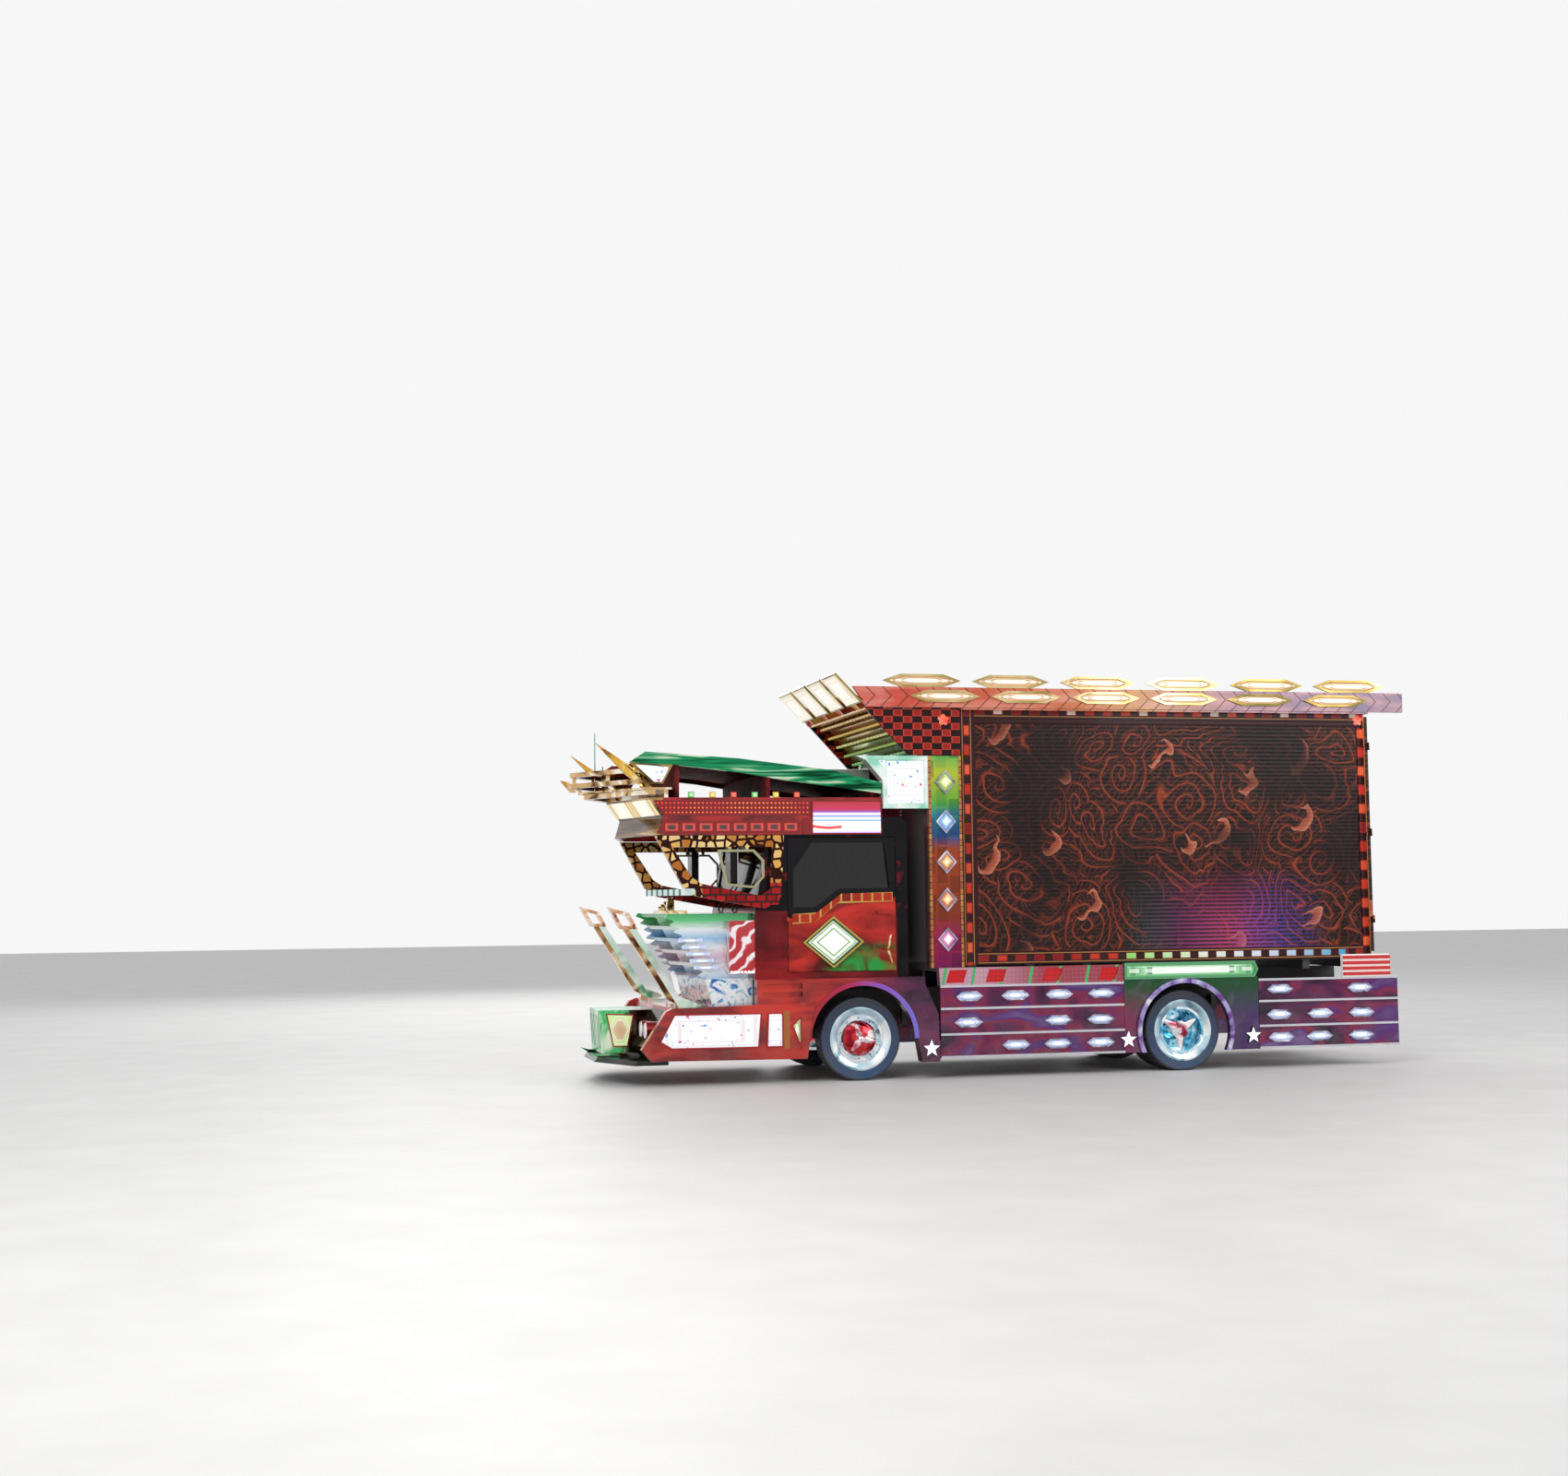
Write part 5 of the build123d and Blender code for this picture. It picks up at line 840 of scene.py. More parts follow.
# ---- Nose base and corner panels ----
# A raked steel box on the bumper's top, papered with white and blue leaf shapes under clear coat, with a red
# panel of white flame-like swirls at each corner of the cab.
nose_skin, tree, sockets = finish("nose_skin", metallic=0.35, coat=1.0)
where, x, _, z = place_of(tree)
fan = part(tree, "TexWave", {"wave_type": "RINGS", "rings_direction": "Y"},
           Vector=part(tree, "Mapping", Vector=where, Location=(-3.05, 0.0, -0.70)).outputs[0], Scale=3.0,
           Distortion=7.0, Detail=2.0, Detail_Scale=1.2).outputs["Fac"]
leaves = noise(tree, where, 6.5, 1.5, 2.2)
skin = ramp(tree, leaves, (0.34, (0.02, 0.12, 0.42)), (0.40, (0.16, 0.48, 0.78)), (0.46, (0.86, 0.93, 0.97)),
            (0.60, (0.96, 0.97, 0.98)), (0.66, (0.30, 0.70, 0.80)))
magenta = all_of(tree, inside(tree, fan, 0.60, 0.66), over(tree, z, 0.86))
skin = blend(tree, magenta, skin, (0.60, 0.05, 0.35))
swirl = part(tree, "TexWave", {"bands_direction": "DIAGONAL"}, Vector=where, Scale=3.4, Distortion=9.0, Detail=2.0,
             Detail_Scale=1.2).outputs["Fac"]
corner = ramp(tree, swirl, (0.45, (0.50, 0.008, 0.014)), (0.74, (0.68, 0.03, 0.06)), (0.86, (0.92, 0.62, 0.68)),
              (0.93, (0.97, 0.95, 0.96)))
on_corner = all_of(tree, under(tree, x, AXLE + 1.301), over(tree, z, 1.055))
feed(tree, sockets, Base_Color=blend(tree, on_corner, skin, corner))
sockets["Roughness"].default_value = 0.2
rough_up(tree, sockets, fan, 0.002, 0.4)
dress(nose_skin, "nose_base")

# ---- Nose grille ----
# Six folded vanes between two toothed cheeks, all chrome, leaning over the bumper. Each vane carries a painted
# reflection of a lit band, set by height: green at the top, then blue, white and pink, broken by darker painted
# ripples.
grille_chrome, tree, sockets = finish("grille_chrome", metallic=0.5, coat=0.4)
where, _, _, z = place_of(tree)
# Painted reflections of lit bands, set by height, broken below by darker painted ripples.
bands = ramp(tree, span(tree, z, 1.01, 1.64), (0.0, (0.55, 0.70, 0.90)), (0.18, (0.90, 0.92, 0.95)),
             (0.34, (0.80, 0.60, 0.72)), (0.48, (0.92, 0.94, 0.96)), (0.62, (0.35, 0.62, 0.90)),
             (0.76, (0.86, 0.92, 0.92)), (0.90, (0.12, 0.62, 0.22)), (1.0, (0.06, 0.42, 0.14)))
reflection_ripples = noise(tree, stretched(tree, where, (1.0, 0.35, 4.0)), 6.0, 3.0, 1.0)
colour = blend(tree, span(tree, reflection_ripples, 0.46, 0.34, 0.0, 0.35), bands, (0.26, 0.44, 0.60))
feed(tree, sockets, Base_Color=colour, Roughness=span(tree, reflection_ripples, 0.3, 0.7, 0.06, 0.18))
dress(grille_chrome, "nose_grille")

# ---- Crest ----
# A cast fan of shell lobes, gold plated, with painted bright reflection streaks over its lobes. It is bolted to the
# top of the grille.
crest_gold = chrome_with_painted_streaks("crest_gold", (0.20, 0.08, 0.015), (0.75, 0.52, 0.20), (0.97, 0.90, 0.66), 16.0)
dress(crest_gold, "nose_crest")

# ---- Mirror stays ----
# Plate loops that carry the mirrors, clad in small gold blocks with dark red gaps, with thin chrome rings inside
# them. A toothed chrome bar ties the two sides under the screen, its teeth painted in lit white stretches and dark
# shaded ones.
stay_gold, tree, sockets = finish("stay_gold", metallic=0.85)
where, x, y, z = place_of(tree)
side = unsigned(tree, y)
studs = part(tree, "TexVoronoi", Vector=where, Scale=11.0, Randomness=0.55).outputs
gaps = cells(tree, where, 11.0, 0.55, "DISTANCE_TO_EDGE")
level = part(tree, "SeparateColor", Color=studs["Color"]).outputs[0]
clad = ramp(tree, level, (0.1, (0.50, 0.17, 0.03)), (0.5, (0.84, 0.48, 0.13)), (0.9, (0.94, 0.70, 0.32)))
clad = blend(tree, under(tree, gaps, 0.12), clad, (0.030, 0.006, 0.004))
low_rear = all_of(tree, under(tree, z, 1.93), over(tree, side, 1.055), under(tree, x, AXLE + 1.58))
red_clad = block_rows(tree, x, z, 0.10, 0.07, 0.01, (0.55, 0.02, 0.02), (0.25, 0.01, 0.01), (0.05, 0.02, 0.02))
colour = blend(tree, low_rear, clad, red_clad)
ring_band = all_of(tree, inside(tree, side, 1.084, 1.116), inside(tree, z, 1.885, 2.262),
                   inside(tree, x, AXLE + 0.95, AXLE + 1.425))
colour = blend(tree, ring_band, colour, (0.42, 0.40, 0.24))
casing = all_of(tree, inside(tree, x, AXLE + 1.22, AXLE + 1.30), under(tree, side, 1.106), over(tree, z, 1.92))
colour = blend(tree, casing, colour, (0.012, 0.012, 0.014))
# Painted light and shade on the toothed bar: white lit stretches, pale green, then dark teal shade, repeating across.
comb = all_of(tree, inside(tree, z, 1.815, 1.883), inside(tree, x, AXLE + 1.655, AXLE + 1.77))
painted_teeth_light = ramp(tree, fraction(tree, times(tree, y, 3.143)), (0.0, (0.90, 0.92, 0.96)), (0.55, (0.80, 0.94, 0.88)),
             (0.72, (0.16, 0.34, 0.28)), (1.0, (0.10, 0.18, 0.18)))
colour = blend(tree, comb, colour, painted_teeth_light)
feed(tree, sockets, Base_Color=colour)
rubbed = noise(tree, where, 8.0, 5.0)
feed(tree, sockets, Roughness=span(tree, rubbed, 0.3, 0.7, 0.12, 0.30))
dress(stay_gold, "mirror_stays")

# ---- Visor ----
# A deep steel peak over the screen, candy red, its prow edged in gold and its underside black. The lit bands on
# its sides and front are separate plates.
visor_candy, tree, sockets = finish("visor_candy", metallic=0.45, coat=0.35, shine=0.3)
_, x, _, z = place_of(tree)
colour = candy_with_painted_shading(tree, (0.12, 0.004, 0.006), (0.50, 0.02, 0.02), 3.0)
# The prow's gold edging carries painted reflection streaks.
prow_gold = mirrored(tree, (0.012, 0.004, 0.002), (0.20, 0.09, 0.025), (0.66, 0.44, 0.16), 2.0, (0.5, 0.25, 4.0))
colour = blend(tree, over(tree, x, AXLE + 1.95), colour, prow_gold["Color"])
colour = blend(tree, under(tree, z, 2.40), colour, GLOSS_BLACK)
road_film(tree, sockets, colour, 0.18, 0.1)
dress(visor_candy, "visor")

# ---- Roof deck ----
# Two long pressed rails, green chrome with painted hard white reflections, and a dark red board between them on
# three cross plates. It stands on the visor.
deck_chrome, tree, sockets = finish("deck_chrome", shine=0.1)
where, _, y, _ = place_of(tree)
side = unsigned(tree, y)
# Green chrome with painted white reflection streaks, drawn out along the rails.
green = mirrored(tree, (0.004, 0.05, 0.02), (0.02, 0.30, 0.12), (0.72, 0.86, 0.62), 3.2, (0.35, 1.0, 5.0))
inner = blend(tree, span(tree, noise(tree, where, 4.0, 5.0), 0.4, 0.6),
              (0.05, 0.004, 0.006), (0.24, 0.02, 0.02))
board = under(tree, side, 1.045)
road_film(tree, sockets, blend(tree, board, green["Color"], inner),
          plus(tree, green["Roughness"], times(tree, board, 0.55)), 0.1)
feed(tree, sockets, Metallic=minus(tree, 1.0, times(tree, board, 0.8)))
dress(deck_chrome, "roof_deck")

# ---- Prow truss ----
# Three chevron tiers tied by posts over a board, bent from chrome strip and welded, with blade spikes in gold.
# It is bolted to the front of the roof deck.
truss_chrome, tree, sockets = finish("truss_chrome", metallic=1.0)
_, x, _, z = place_of(tree)
# Gold-toned chrome and deeper gold spikes, both with painted reflection streaks.
silver = mirrored(tree, (0.12, 0.055, 0.02), (0.66, 0.42, 0.18), (0.98, 0.93, 0.80), 3.5)
gold = mirrored(tree, (0.30, 0.07, 0.01), (0.74, 0.30, 0.04), (0.88, 0.55, 0.18), 3.0)
spike = any_of(tree, over(tree, z, 3.06), over(tree, x, AXLE + 2.735))
thin_rod = all_of(tree, inside(tree, x, AXLE + 2.36, AXLE + 2.47), over(tree, z, 3.06))
colour = blend(tree, spike, silver["Color"], gold["Color"])
colour = blend(tree, thin_rod, colour, (0.30, 0.55, 0.42))
feed(tree, sockets, Base_Color=colour, Roughness=silver["Roughness"])
dress(truss_chrome, "deck_truss")

# ---- Corner pillars and light box frames ----
# Tall box sections on the body's front corners. Their lit faces change down their height: green and yellow, blue,
# dark red with gold bars, magenta. The light boxes in front of them have pale mint frames.
pillar_skin, tree, sockets = finish("pillar_skin", metallic=0.6, coat=0.3, glow=0.35, shine=0.3)
_, x, y, z = place_of(tree)
tall = span(tree, z, 1.08, 3.17)
tones = ramp(tree, tall, (0.0, (0.16, 0.004, 0.09)), (0.14, (0.30, 0.01, 0.10)), (0.24, (0.22, 0.03, 0.01)),
             (0.56, (0.30, 0.05, 0.01)), (0.62, (0.01, 0.08, 0.30)), (0.72, (0.02, 0.22, 0.35)),
             (0.78, (0.08, 0.42, 0.05)), (0.92, (0.42, 0.55, 0.04)), (1.0, (0.10, 0.45, 0.10)))
bars = block_rows(tree, z, x, 0.19, 0.13, 0.012, (1.0, 0.9, 0.8), (0.35, 0.25, 0.25), (0.9, 0.6, 0.25), 0.2)
colour = blend(tree, 0.75, tones, bars, "MULTIPLY")
rim = any_of(tree, under(tree, x, AXLE - 1.014), over(tree, x, AXLE - 0.726))
inner_face = under(tree, unsigned(tree, y), 1.10)
rim_tone = block_rows(tree, z, x, 0.06, 0.5, 0.004, (0.62, 0.30, 0.08), (0.34, 0.08, 0.03), (0.05, 0.01, 0.01))
colour = blend(tree, rim, colour, rim_tone)
colour = blend(tree, inner_face, colour, candy_with_painted_shading(tree, (0.05, 0.003, 0.008), (0.20, 0.01, 0.025)))
feed(tree, sockets, Base_Color=colour)
lit_face = all_of(tree, over(tree, unsigned(tree, y), 1.148), minus(tree, 1.0, rim))
feed(tree, sockets, Emission_Color=blend(tree, lit_face, (0, 0, 0), colour))
sockets["Roughness"].default_value = 0.25
dress(pillar_skin, "corner_pillars")

mint_frame, tree, sockets = finish("mint_frame", metallic=0.5, coat=0.5)
where = place_of(tree)[0]
mint = noise(tree, where, 5.0, 4.0)
feed(tree, sockets, Base_Color=ramp(tree, mint, (0.35, (0.30, 0.70, 0.52)), (0.5, (0.70, 0.90, 0.80)),
                                    (0.65, (0.92, 0.95, 0.92))), Roughness=span(tree, mint, 0.3, 0.7, 0.15, 0.3))
dress(mint_frame, "side_lightboxes")

# ---- Mural sides and doors ----
# The van body's sides are flat steel in raised borders: a dark mural of flowing orange lines and salmon petals
# over pressed ribs with painted light lines along them, a painted pool of violet light low at the rear, and borders
# of lit red blocks in gold. Inside is plywood.
mural, given, result = new_group(
    "Mural Art",
    (("Along", "Float", 0.0), ("Up", "Float", 0.0), ("Glow Middle", "Float", -2.35)),
    (("Color", "Color"), ("Ribs", "Float")))
flat = part(mural, "CombineXYZ", X=given["Along"], Y=given["Up"]).outputs[0]
drift = noise(mural, flat, 0.8, 3.0, 0.6, dimensions="2D")


def swung(tree, where, value, across, upward):
    """The place, moved by shares of the value along the two axes."""
    swing = part(tree, "CombineXYZ", X=times(tree, value, across), Y=times(tree, value, upward)).outputs[0]
    return part(tree, "VectorMath", {"operation": "ADD"}, n0=where, n1=swing).outputs[0]


def cell_round(tree, where, scale):
    """Distance from the middle of the nearest scattered spot, in its own cells, and the turn round it in turns."""
    spots = part(tree, "TexVoronoi", {"voronoi_dimensions": "2D"}, Vector=where, Scale=scale, Randomness=0.8).outputs
    apart = part(tree, "VectorMath", {"operation": "SUBTRACT"}, n0=where, n1=spots["Position"]).outputs[0]
    axes = axes_of(tree, apart)
    return spots["Distance"], ratio(tree, sums(tree, "ARCTAN2", axes[1], axes[0]), 2 * math.pi), axes


warped = swung(mural, flat, drift, 0.9, 0.6)
reach, turn, axes = cell_round(mural, warped, 1.75)
coil = fraction(mural, plus(mural, times(mural, reach, 5.0), turn))
art = ramp(mural, coil, (0.0, (0.14, 0.014, 0.007)), (0.08, (0.34, 0.055, 0.016)), (0.17, (0.09, 0.010, 0.005)),
           (0.30, (0.008, 0.003, 0.003)), (0.90, (0.006, 0.002, 0.002)))
scribble = noise(mural, warped, 7.0, 3.0, 1.6, dimensions="2D")
scratched = under(mural, away(mural, scribble, 0.5), 0.010)
art = blend(mural, times(mural, scratched, 0.75), art, (0.24, 0.045, 0.018))
plumes = part(mural, "TexWave", {"wave_type": "BANDS", "bands_direction": "DIAGONAL"}, Vector=warped, Scale=7.0,
              Distortion=6.0, Detail=2.0, Detail_Scale=0.7).outputs["Fac"]
art = blend(mural, times(mural, span(mural, plumes, 0.80, 0.96), 0.5), art, (0.17, 0.026, 0.012))
bend = noise(mural, flat, 2.4, 2.0, dimensions="2D")
reach, turn, axes = cell_round(mural, swung(mural, flat, bend, 0.35, -0.45), 1.15)
notch = distance(mural, minus(mural, axes[0], 0.070), minus(mural, axes[1], 0.035))
crescent = times(mural, under(mural, reach, 0.145), over(mural, notch, 0.118))
petal = ramp(mural, times(mural, reach, 6.9), (0.2, (0.20, 0.02, 0.015)), (0.75, (0.42, 0.10, 0.05)),
             (1.0, (0.56, 0.20, 0.12)))
art = blend(mural, crescent, art, petal)
deep = noise(mural, flat, 0.9, 2.0, dimensions="2D")
art = blend(mural, span(mural, deep, 0.46, 0.62, 0.0, 0.9), art, (0.004, 0.002, 0.003))
# A painted pool of coloured light low on the panel round the glow's middle, stronger toward each rib's edge.
from_glow = away(mural, given["Along"], given["Glow Middle"])
low = times(mural, span(mural, from_glow, 1.15, 0.2), span(mural, given["Up"], 2.05, 1.45))
painted_glow_hues = ramp(mural, span(mural, given["Along"], plus(mural, given["Glow Middle"], 1.1),
                        minus(mural, given["Glow Middle"], 1.1)),
            (0.0, (0.05, 0.30, 0.30)), (0.25, (0.30, 0.05, 0.22)), (0.5, (0.55, 0.06, 0.20)),
            (0.75, (0.16, 0.07, 0.55)), (1.0, (0.02, 0.10, 0.42)))
ribs = away(mural, fraction(mural, times(mural, given["Up"], 25.0)), 0.5)
# Painted rib shading: a paler line at each rib's edge.
art = blend(mural, span(mural, ribs, 0.34, 0.5, 0.0, 0.40), art, (0.10, 0.028, 0.022))
art = blend(mural, times(mural, low, span(mural, ribs, 0.10, 0.36, 0.08, 0.75)), art, painted_glow_hues)
feed(mural, result, Color=art, Ribs=ribs)

lamp_row, given, result = new_group(
    "Lamp Row",
    (("Along", "Float", 0.0), ("Up", "Float", 0.0), ("Pitch", "Float", 0.196), ("Long", "Float", 0.056),
     ("Tall", "Float", 0.031), ("Lip", "Float", 0.044), ("Pale", "Float", 0.0)),
    (("Color", "Color"), ("Lit", "Float")))
cell = ratio(lamp_row, given["Along"], given["Pitch"])
across = away(lamp_row, fraction(lamp_row, cell), 0.5)
across = ratio(lamp_row, times(lamp_row, across, given["Pitch"]), given["Long"])
upright = ratio(lamp_row, unsigned(lamp_row, given["Up"]), given["Tall"])
to_rim = sums(lamp_row, "MAXIMUM", across, upright)
number = sums(lamp_row, "FLOOR", cell)
level = part(lamp_row, "TexWhiteNoise", {"noise_dimensions": "1D"}, W=number).outputs[0]
shown = ramp(lamp_row, level, (0.1, (0.22, 0.008, 0.010)), (0.5, (0.58, 0.03, 0.018)), (0.95, (0.80, 0.12, 0.04)))
every_fourth = under(lamp_row, fraction(lamp_row, ratio(lamp_row, number, 4.0)), 0.1)
shown = blend(lamp_row, times(lamp_row, every_fourth, given["Pale"]), shown, (0.90, 0.78, 0.68))
shown = blend(lamp_row, over(lamp_row, to_rim, 0.78), shown, (0.30, 0.015, 0.012))
shown = blend(lamp_row, over(lamp_row, to_rim, 1.0), shown, (0.030, 0.004, 0.005))
lip = away(lamp_row, unsigned(lamp_row, given["Up"]), given["Lip"])
shown = blend(lamp_row, under(lamp_row, lip, 0.0035), shown, (0.52, 0.24, 0.07))
feed(lamp_row, result, Color=shown, Lit=under(lamp_row, to_rim, 0.9))

PLYWOOD = (0.40, 0.27, 0.15)
side_mural, tree, sockets = finish("side_mural", roughness=0.3, coat=0.1, shine=0.15)
_, x, y, z = place_of(tree)
side = unsigned(tree, y)
picture = use_group(tree, mural, Along=x, Up=z)
upright = any_of(tree, over(tree, x, AXLE - 1.20), under(tree, x, AXLE - 5.40))
from_row = [away(tree, value, middle)
            for value, middle in ((z, 3.620), (z, 1.165), (x, AXLE - 1.118), (x, AXLE - 5.43))]
flat_row = sums(tree, "MINIMUM", from_row[0], from_row[1])
upright_row = sums(tree, "MINIMUM", from_row[2], from_row[3])
row = use_group(tree, lamp_row, Along=span(tree, upright, 0, 1, x, z),
                Up=span(tree, upright, 0, 1, flat_row, upright_row),
                Pale=over(tree, z, 3.585))
glow_tone = ramp(tree, span(tree, x, AXLE - 2.7, AXLE - 5.2), (0.0, (0.25, 0.75, 0.10)), (0.35, (0.85, 0.92, 0.70)),
                 (0.6, (0.75, 0.80, 0.95)), (1.0, (0.04, 0.38, 0.62)))
over_wheel = all_of(tree, under(tree, z, 1.25), inside(tree, x, AXLE - 5.2, AXLE - 2.7))
border = blend(tree, all_of(tree, over_wheel, row["Lit"]), row["Color"], glow_tone)
colour = blend(tree, over(tree, side, 1.1005), picture["Color"], border)
colour = blend(tree, under(tree, side, 1.098), colour, PLYWOOD)
road_film(tree, sockets, colour, 0.24, 0.25, 1.6)
rough_up(tree, sockets, picture["Ribs"], 0.004, 0.5)
dress(side_mural, "side_panel_left", "side_panel_right")

DOOR_SKIN_X = AXLE - 5.5455
door_mural, tree, sockets = finish("door_mural", roughness=0.3, coat=0.1, shine=0.15)
_, x, y, z = place_of(tree)
picture = use_group(tree, mural, Along=plus(tree, y, 7.0), Up=z, Glow_Middle=6.3)
rods = under(tree, x, DOOR_SKIN_X - 0.003)
colour = blend(tree, rods, picture["Color"], (0.55, 0.55, 0.57))
colour = blend(tree, over(tree, x, AXLE - 5.507), colour, PLYWOOD)
feed(tree, sockets, Metallic=rods)
road_film(tree, sockets, colour, 0.25, 0.45, 2.2)
dress(door_mural, "cargo_door_left", "cargo_door_right")

# ---- Van front wall, roof and rear frame ----
# A plywood-lined steel bulkhead and a white sheet roof. The rear frame is polished stainless channel, welded round
# the opening, with the door hinges on it.
van_white, tree, sockets = finish("van_white", roughness=0.4)
where, x, y, z = place_of(tree)
chalk = noise(tree, where, 2.5, 7.0)
sheet = ramp(tree, chalk, (0.3, (0.48, 0.47, 0.45)), (0.7, (0.66, 0.66, 0.64)))
lining = all_of(tree, under(tree, z, 3.604), under(tree, x, AXLE - 1.041))
seam = under(tree, fraction(tree, times(tree, x, 1.15)), 0.012)
colour = blend(tree, seam, blend(tree, lining, sheet, PLYWOOD), (0.10, 0.10, 0.10))
facing_cab = all_of(tree, over(tree, x, AXLE - 1.041), under(tree, z, 3.20))
colour = blend(tree, facing_cab, colour, (0.030, 0.012, 0.016))
dots = under(tree, cells(tree, where, 24.0, 0.0), 0.36)
ladder = all_of(tree, facing_cab, dots, inside(tree, unsigned(tree, y), 0.90, 1.02), inside(tree, z, 1.95, 2.75))
colour = blend(tree, ladder, colour, (0.80, 0.85, 0.55))
feed(tree, sockets, Base_Color=colour)
rough_up(tree, sockets, chalk, 0.002, 0.4)
dress(van_white, "box_front_wall", "box_roof")
# Stainless steel with painted grey and white reflection streaks.
rear_steel = chrome_with_painted_streaks("rear_steel", (0.22, 0.22, 0.24), (0.52, 0.52, 0.55), (0.84, 0.84, 0.85), 3.0, (1, 1, 0.4), 0.5)
dress(rear_steel, "rear_bumper")
rear_posts, tree, sockets = finish("rear_posts", metallic=0.85, shine=0.3)
_, x, y, z = place_of(tree)
# Painted grey and white reflection streaks on the posts' steel.
steel = mirrored(tree, (0.22, 0.22, 0.24), (0.52, 0.52, 0.55), (0.84, 0.84, 0.85), 3.0)
row = use_group(tree, lamp_row, Along=z, Up=minus(tree, x, AXLE - 5.465), Tall=0.024, Lip=0.031)
outward = over(tree, unsigned(tree, y), 1.0995)
road_film(tree, sockets, blend(tree, outward, steel["Color"], row["Color"]), steel["Roughness"], 0.4)
dress(rear_posts, "rear_frame")

# ---- Roof boards ----
# Boxed lamp boards along both roof edges, salmon red at the front and grey violet at the rear, with thin dark
# chevrons between their lamps. They bolt to the roof on angle brackets.
board_skin, tree, sockets = finish("board_skin", metallic=0.35, coat=0.3, shine=0.3)
where, x, _, z = place_of(tree)
tint = ramp(tree, span(tree, x, AXLE, AXLE - 5.9), (0.0, (0.62, 0.06, 0.04)), (0.30, (0.55, 0.12, 0.05)),
            (0.5, (0.40, 0.20, 0.08)), (0.70, (0.24, 0.14, 0.20)), (1.0, (0.15, 0.12, 0.20)))
clouds = noise(tree, stretched(tree, where, (0.7, 1, 3)), 3.0, 4.0)
tint = blend(tree, span(tree, clouds, 0.45, 0.62, 0.0, 0.35), tint, (0.74, 0.40, 0.32))
slant = minus(tree, x, away(tree, z, 3.76))
lines = inside(tree, fraction(tree, times(tree, plus(tree, slant, 10.0), 1 / 0.17)), 0.0, 0.10)
tint = blend(tree, times(tree, lines, 0.8), tint, (0.10, 0.012, 0.02))
feed(tree, sockets, Base_Color=tint, Roughness=span(tree, clouds, 0.3, 0.7, 0.14, 0.3))
dress(board_skin, "roof_boards")

# ---- Fairing ----
# Cheeks of red and black lit checks in gold lines, and five toothed slats across the front that go from gold at
# the top to green at the foot. All of it is folded sheet, riveted to the body's front.
fairing_skin, tree, sockets = finish("fairing_skin", metallic=0.6, coat=0.2, shine=0.2)
where, x, y, z = place_of(tree)
side = unsigned(tree, y)
CHECK = (0.100, 0.066)
squares = [ratio(tree, value, size) for value, size in zip((x, z), CHECK)]
cell_flat = part(tree, "CombineXYZ", X=squares[0], Y=squares[1], Z=0.5).outputs[0]
odd = part(tree, "TexChecker", Vector=cell_flat, Scale=1.0).outputs["Fac"]
rims = [away(tree, fraction(tree, value), 0.5) for value in squares]
rim = sums(tree, "MAXIMUM", rims[0], minus(tree, rims[1], 0.06))
checks = blend(tree, odd, (0.016, 0.003, 0.004), ramp(tree, rim, (0.0, (0.30, 0.014, 0.010)),
                                                      (0.36, (0.36, 0.018, 0.012)), (0.40, (0.74, 0.10, 0.05)),
                                                      (0.46, (0.30, 0.015, 0.01))))
slat_tone = ramp(tree, span(tree, z, 3.18, 3.65), (0.0, (0.10, 0.45, 0.12)), (0.45, (0.45, 0.55, 0.10)),
                 (0.75, (0.80, 0.50, 0.12)), (1.0, (0.85, 0.45, 0.12)))
dots = under(tree, cells(tree, where, 17.0, 0.15), 0.30)
slat_tone = blend(tree, times(tree, dots, 0.75), slat_tone, (0.98, 0.92, 0.70))
colour = blend(tree, over(tree, side, 1.108), slat_tone, checks)
upturned = facing_of(tree)[2]
clouds = noise(tree, where, 2.0, 5.0)
roof_red = ramp(tree, clouds, (0.35, (0.11, 0.006, 0.008)), (0.65, (0.20, 0.012, 0.012)))
colour = blend(tree, over(tree, upturned, 0.75), colour, roof_red)
feed(tree, sockets, Base_Color=colour)
sockets["Roughness"].default_value = 0.22
dress(fairing_skin, "box_fairing")

# ---- Skirts, wheel panels and step boxes ----
# Deep pressed skirts in violet and crimson candy with painted pale sheen streaks, ruled with thin chrome ribs; wheel
# panels from dark green to violet with painted pale streaks and flares with painted reflections; and boxes of dotted
# red tread plate.
skirt_skin, tree, sockets = finish("skirt_skin", metallic=0.6, coat=0.35, shine=0.3)
where, _, y, _ = place_of(tree)
side = unsigned(tree, y)
# Candy streaks in violet and crimson, the palest of them a painted highlight.
sheen_streaks = noise(tree, stretched(tree, where, (0.8, 1.0, 1.6)), 1.8, 2.5, 0.8)
skin = ramp(tree, sheen_streaks, (0.32, (0.014, 0.003, 0.022)), (0.44, (0.10, 0.008, 0.07)), (0.52, (0.25, 0.012, 0.06)),
            (0.60, (0.09, 0.02, 0.17)), (0.74, (0.24, 0.15, 0.36)))
ribs = over(tree, side, 1.1512)
road_film(tree, sockets, blend(tree, ribs, skin, (0.66, 0.66, 0.72)), 0.18, 0.5, 1.0)
dress(skirt_skin, "side_skirts")

panel_skin, tree, sockets = finish("panel_skin", metallic=0.65, coat=0.35, shine=0.3)
where, x, y, z = place_of(tree)
side = unsigned(tree, y)
# Painted pale sheen streaks over the panel's tones.
sheen_streaks = noise(tree, where, 3.4, 4.0, 1.6)
low_tone = ramp(tree, span(tree, x, REAR_AXLE + 0.66, REAR_AXLE - 0.81), (0.0, (0.22, 0.015, 0.09)),
                (0.45, (0.05, 0.03, 0.05)), (1.0, (0.06, 0.02, 0.13)))
skin = blend(tree, span(tree, z, 0.55, 0.88), low_tone, (0.008, 0.085, 0.022))
skin = blend(tree, span(tree, sheen_streaks, 0.50, 0.70, 0.0, 0.35), skin, (0.16, 0.14, 0.22))
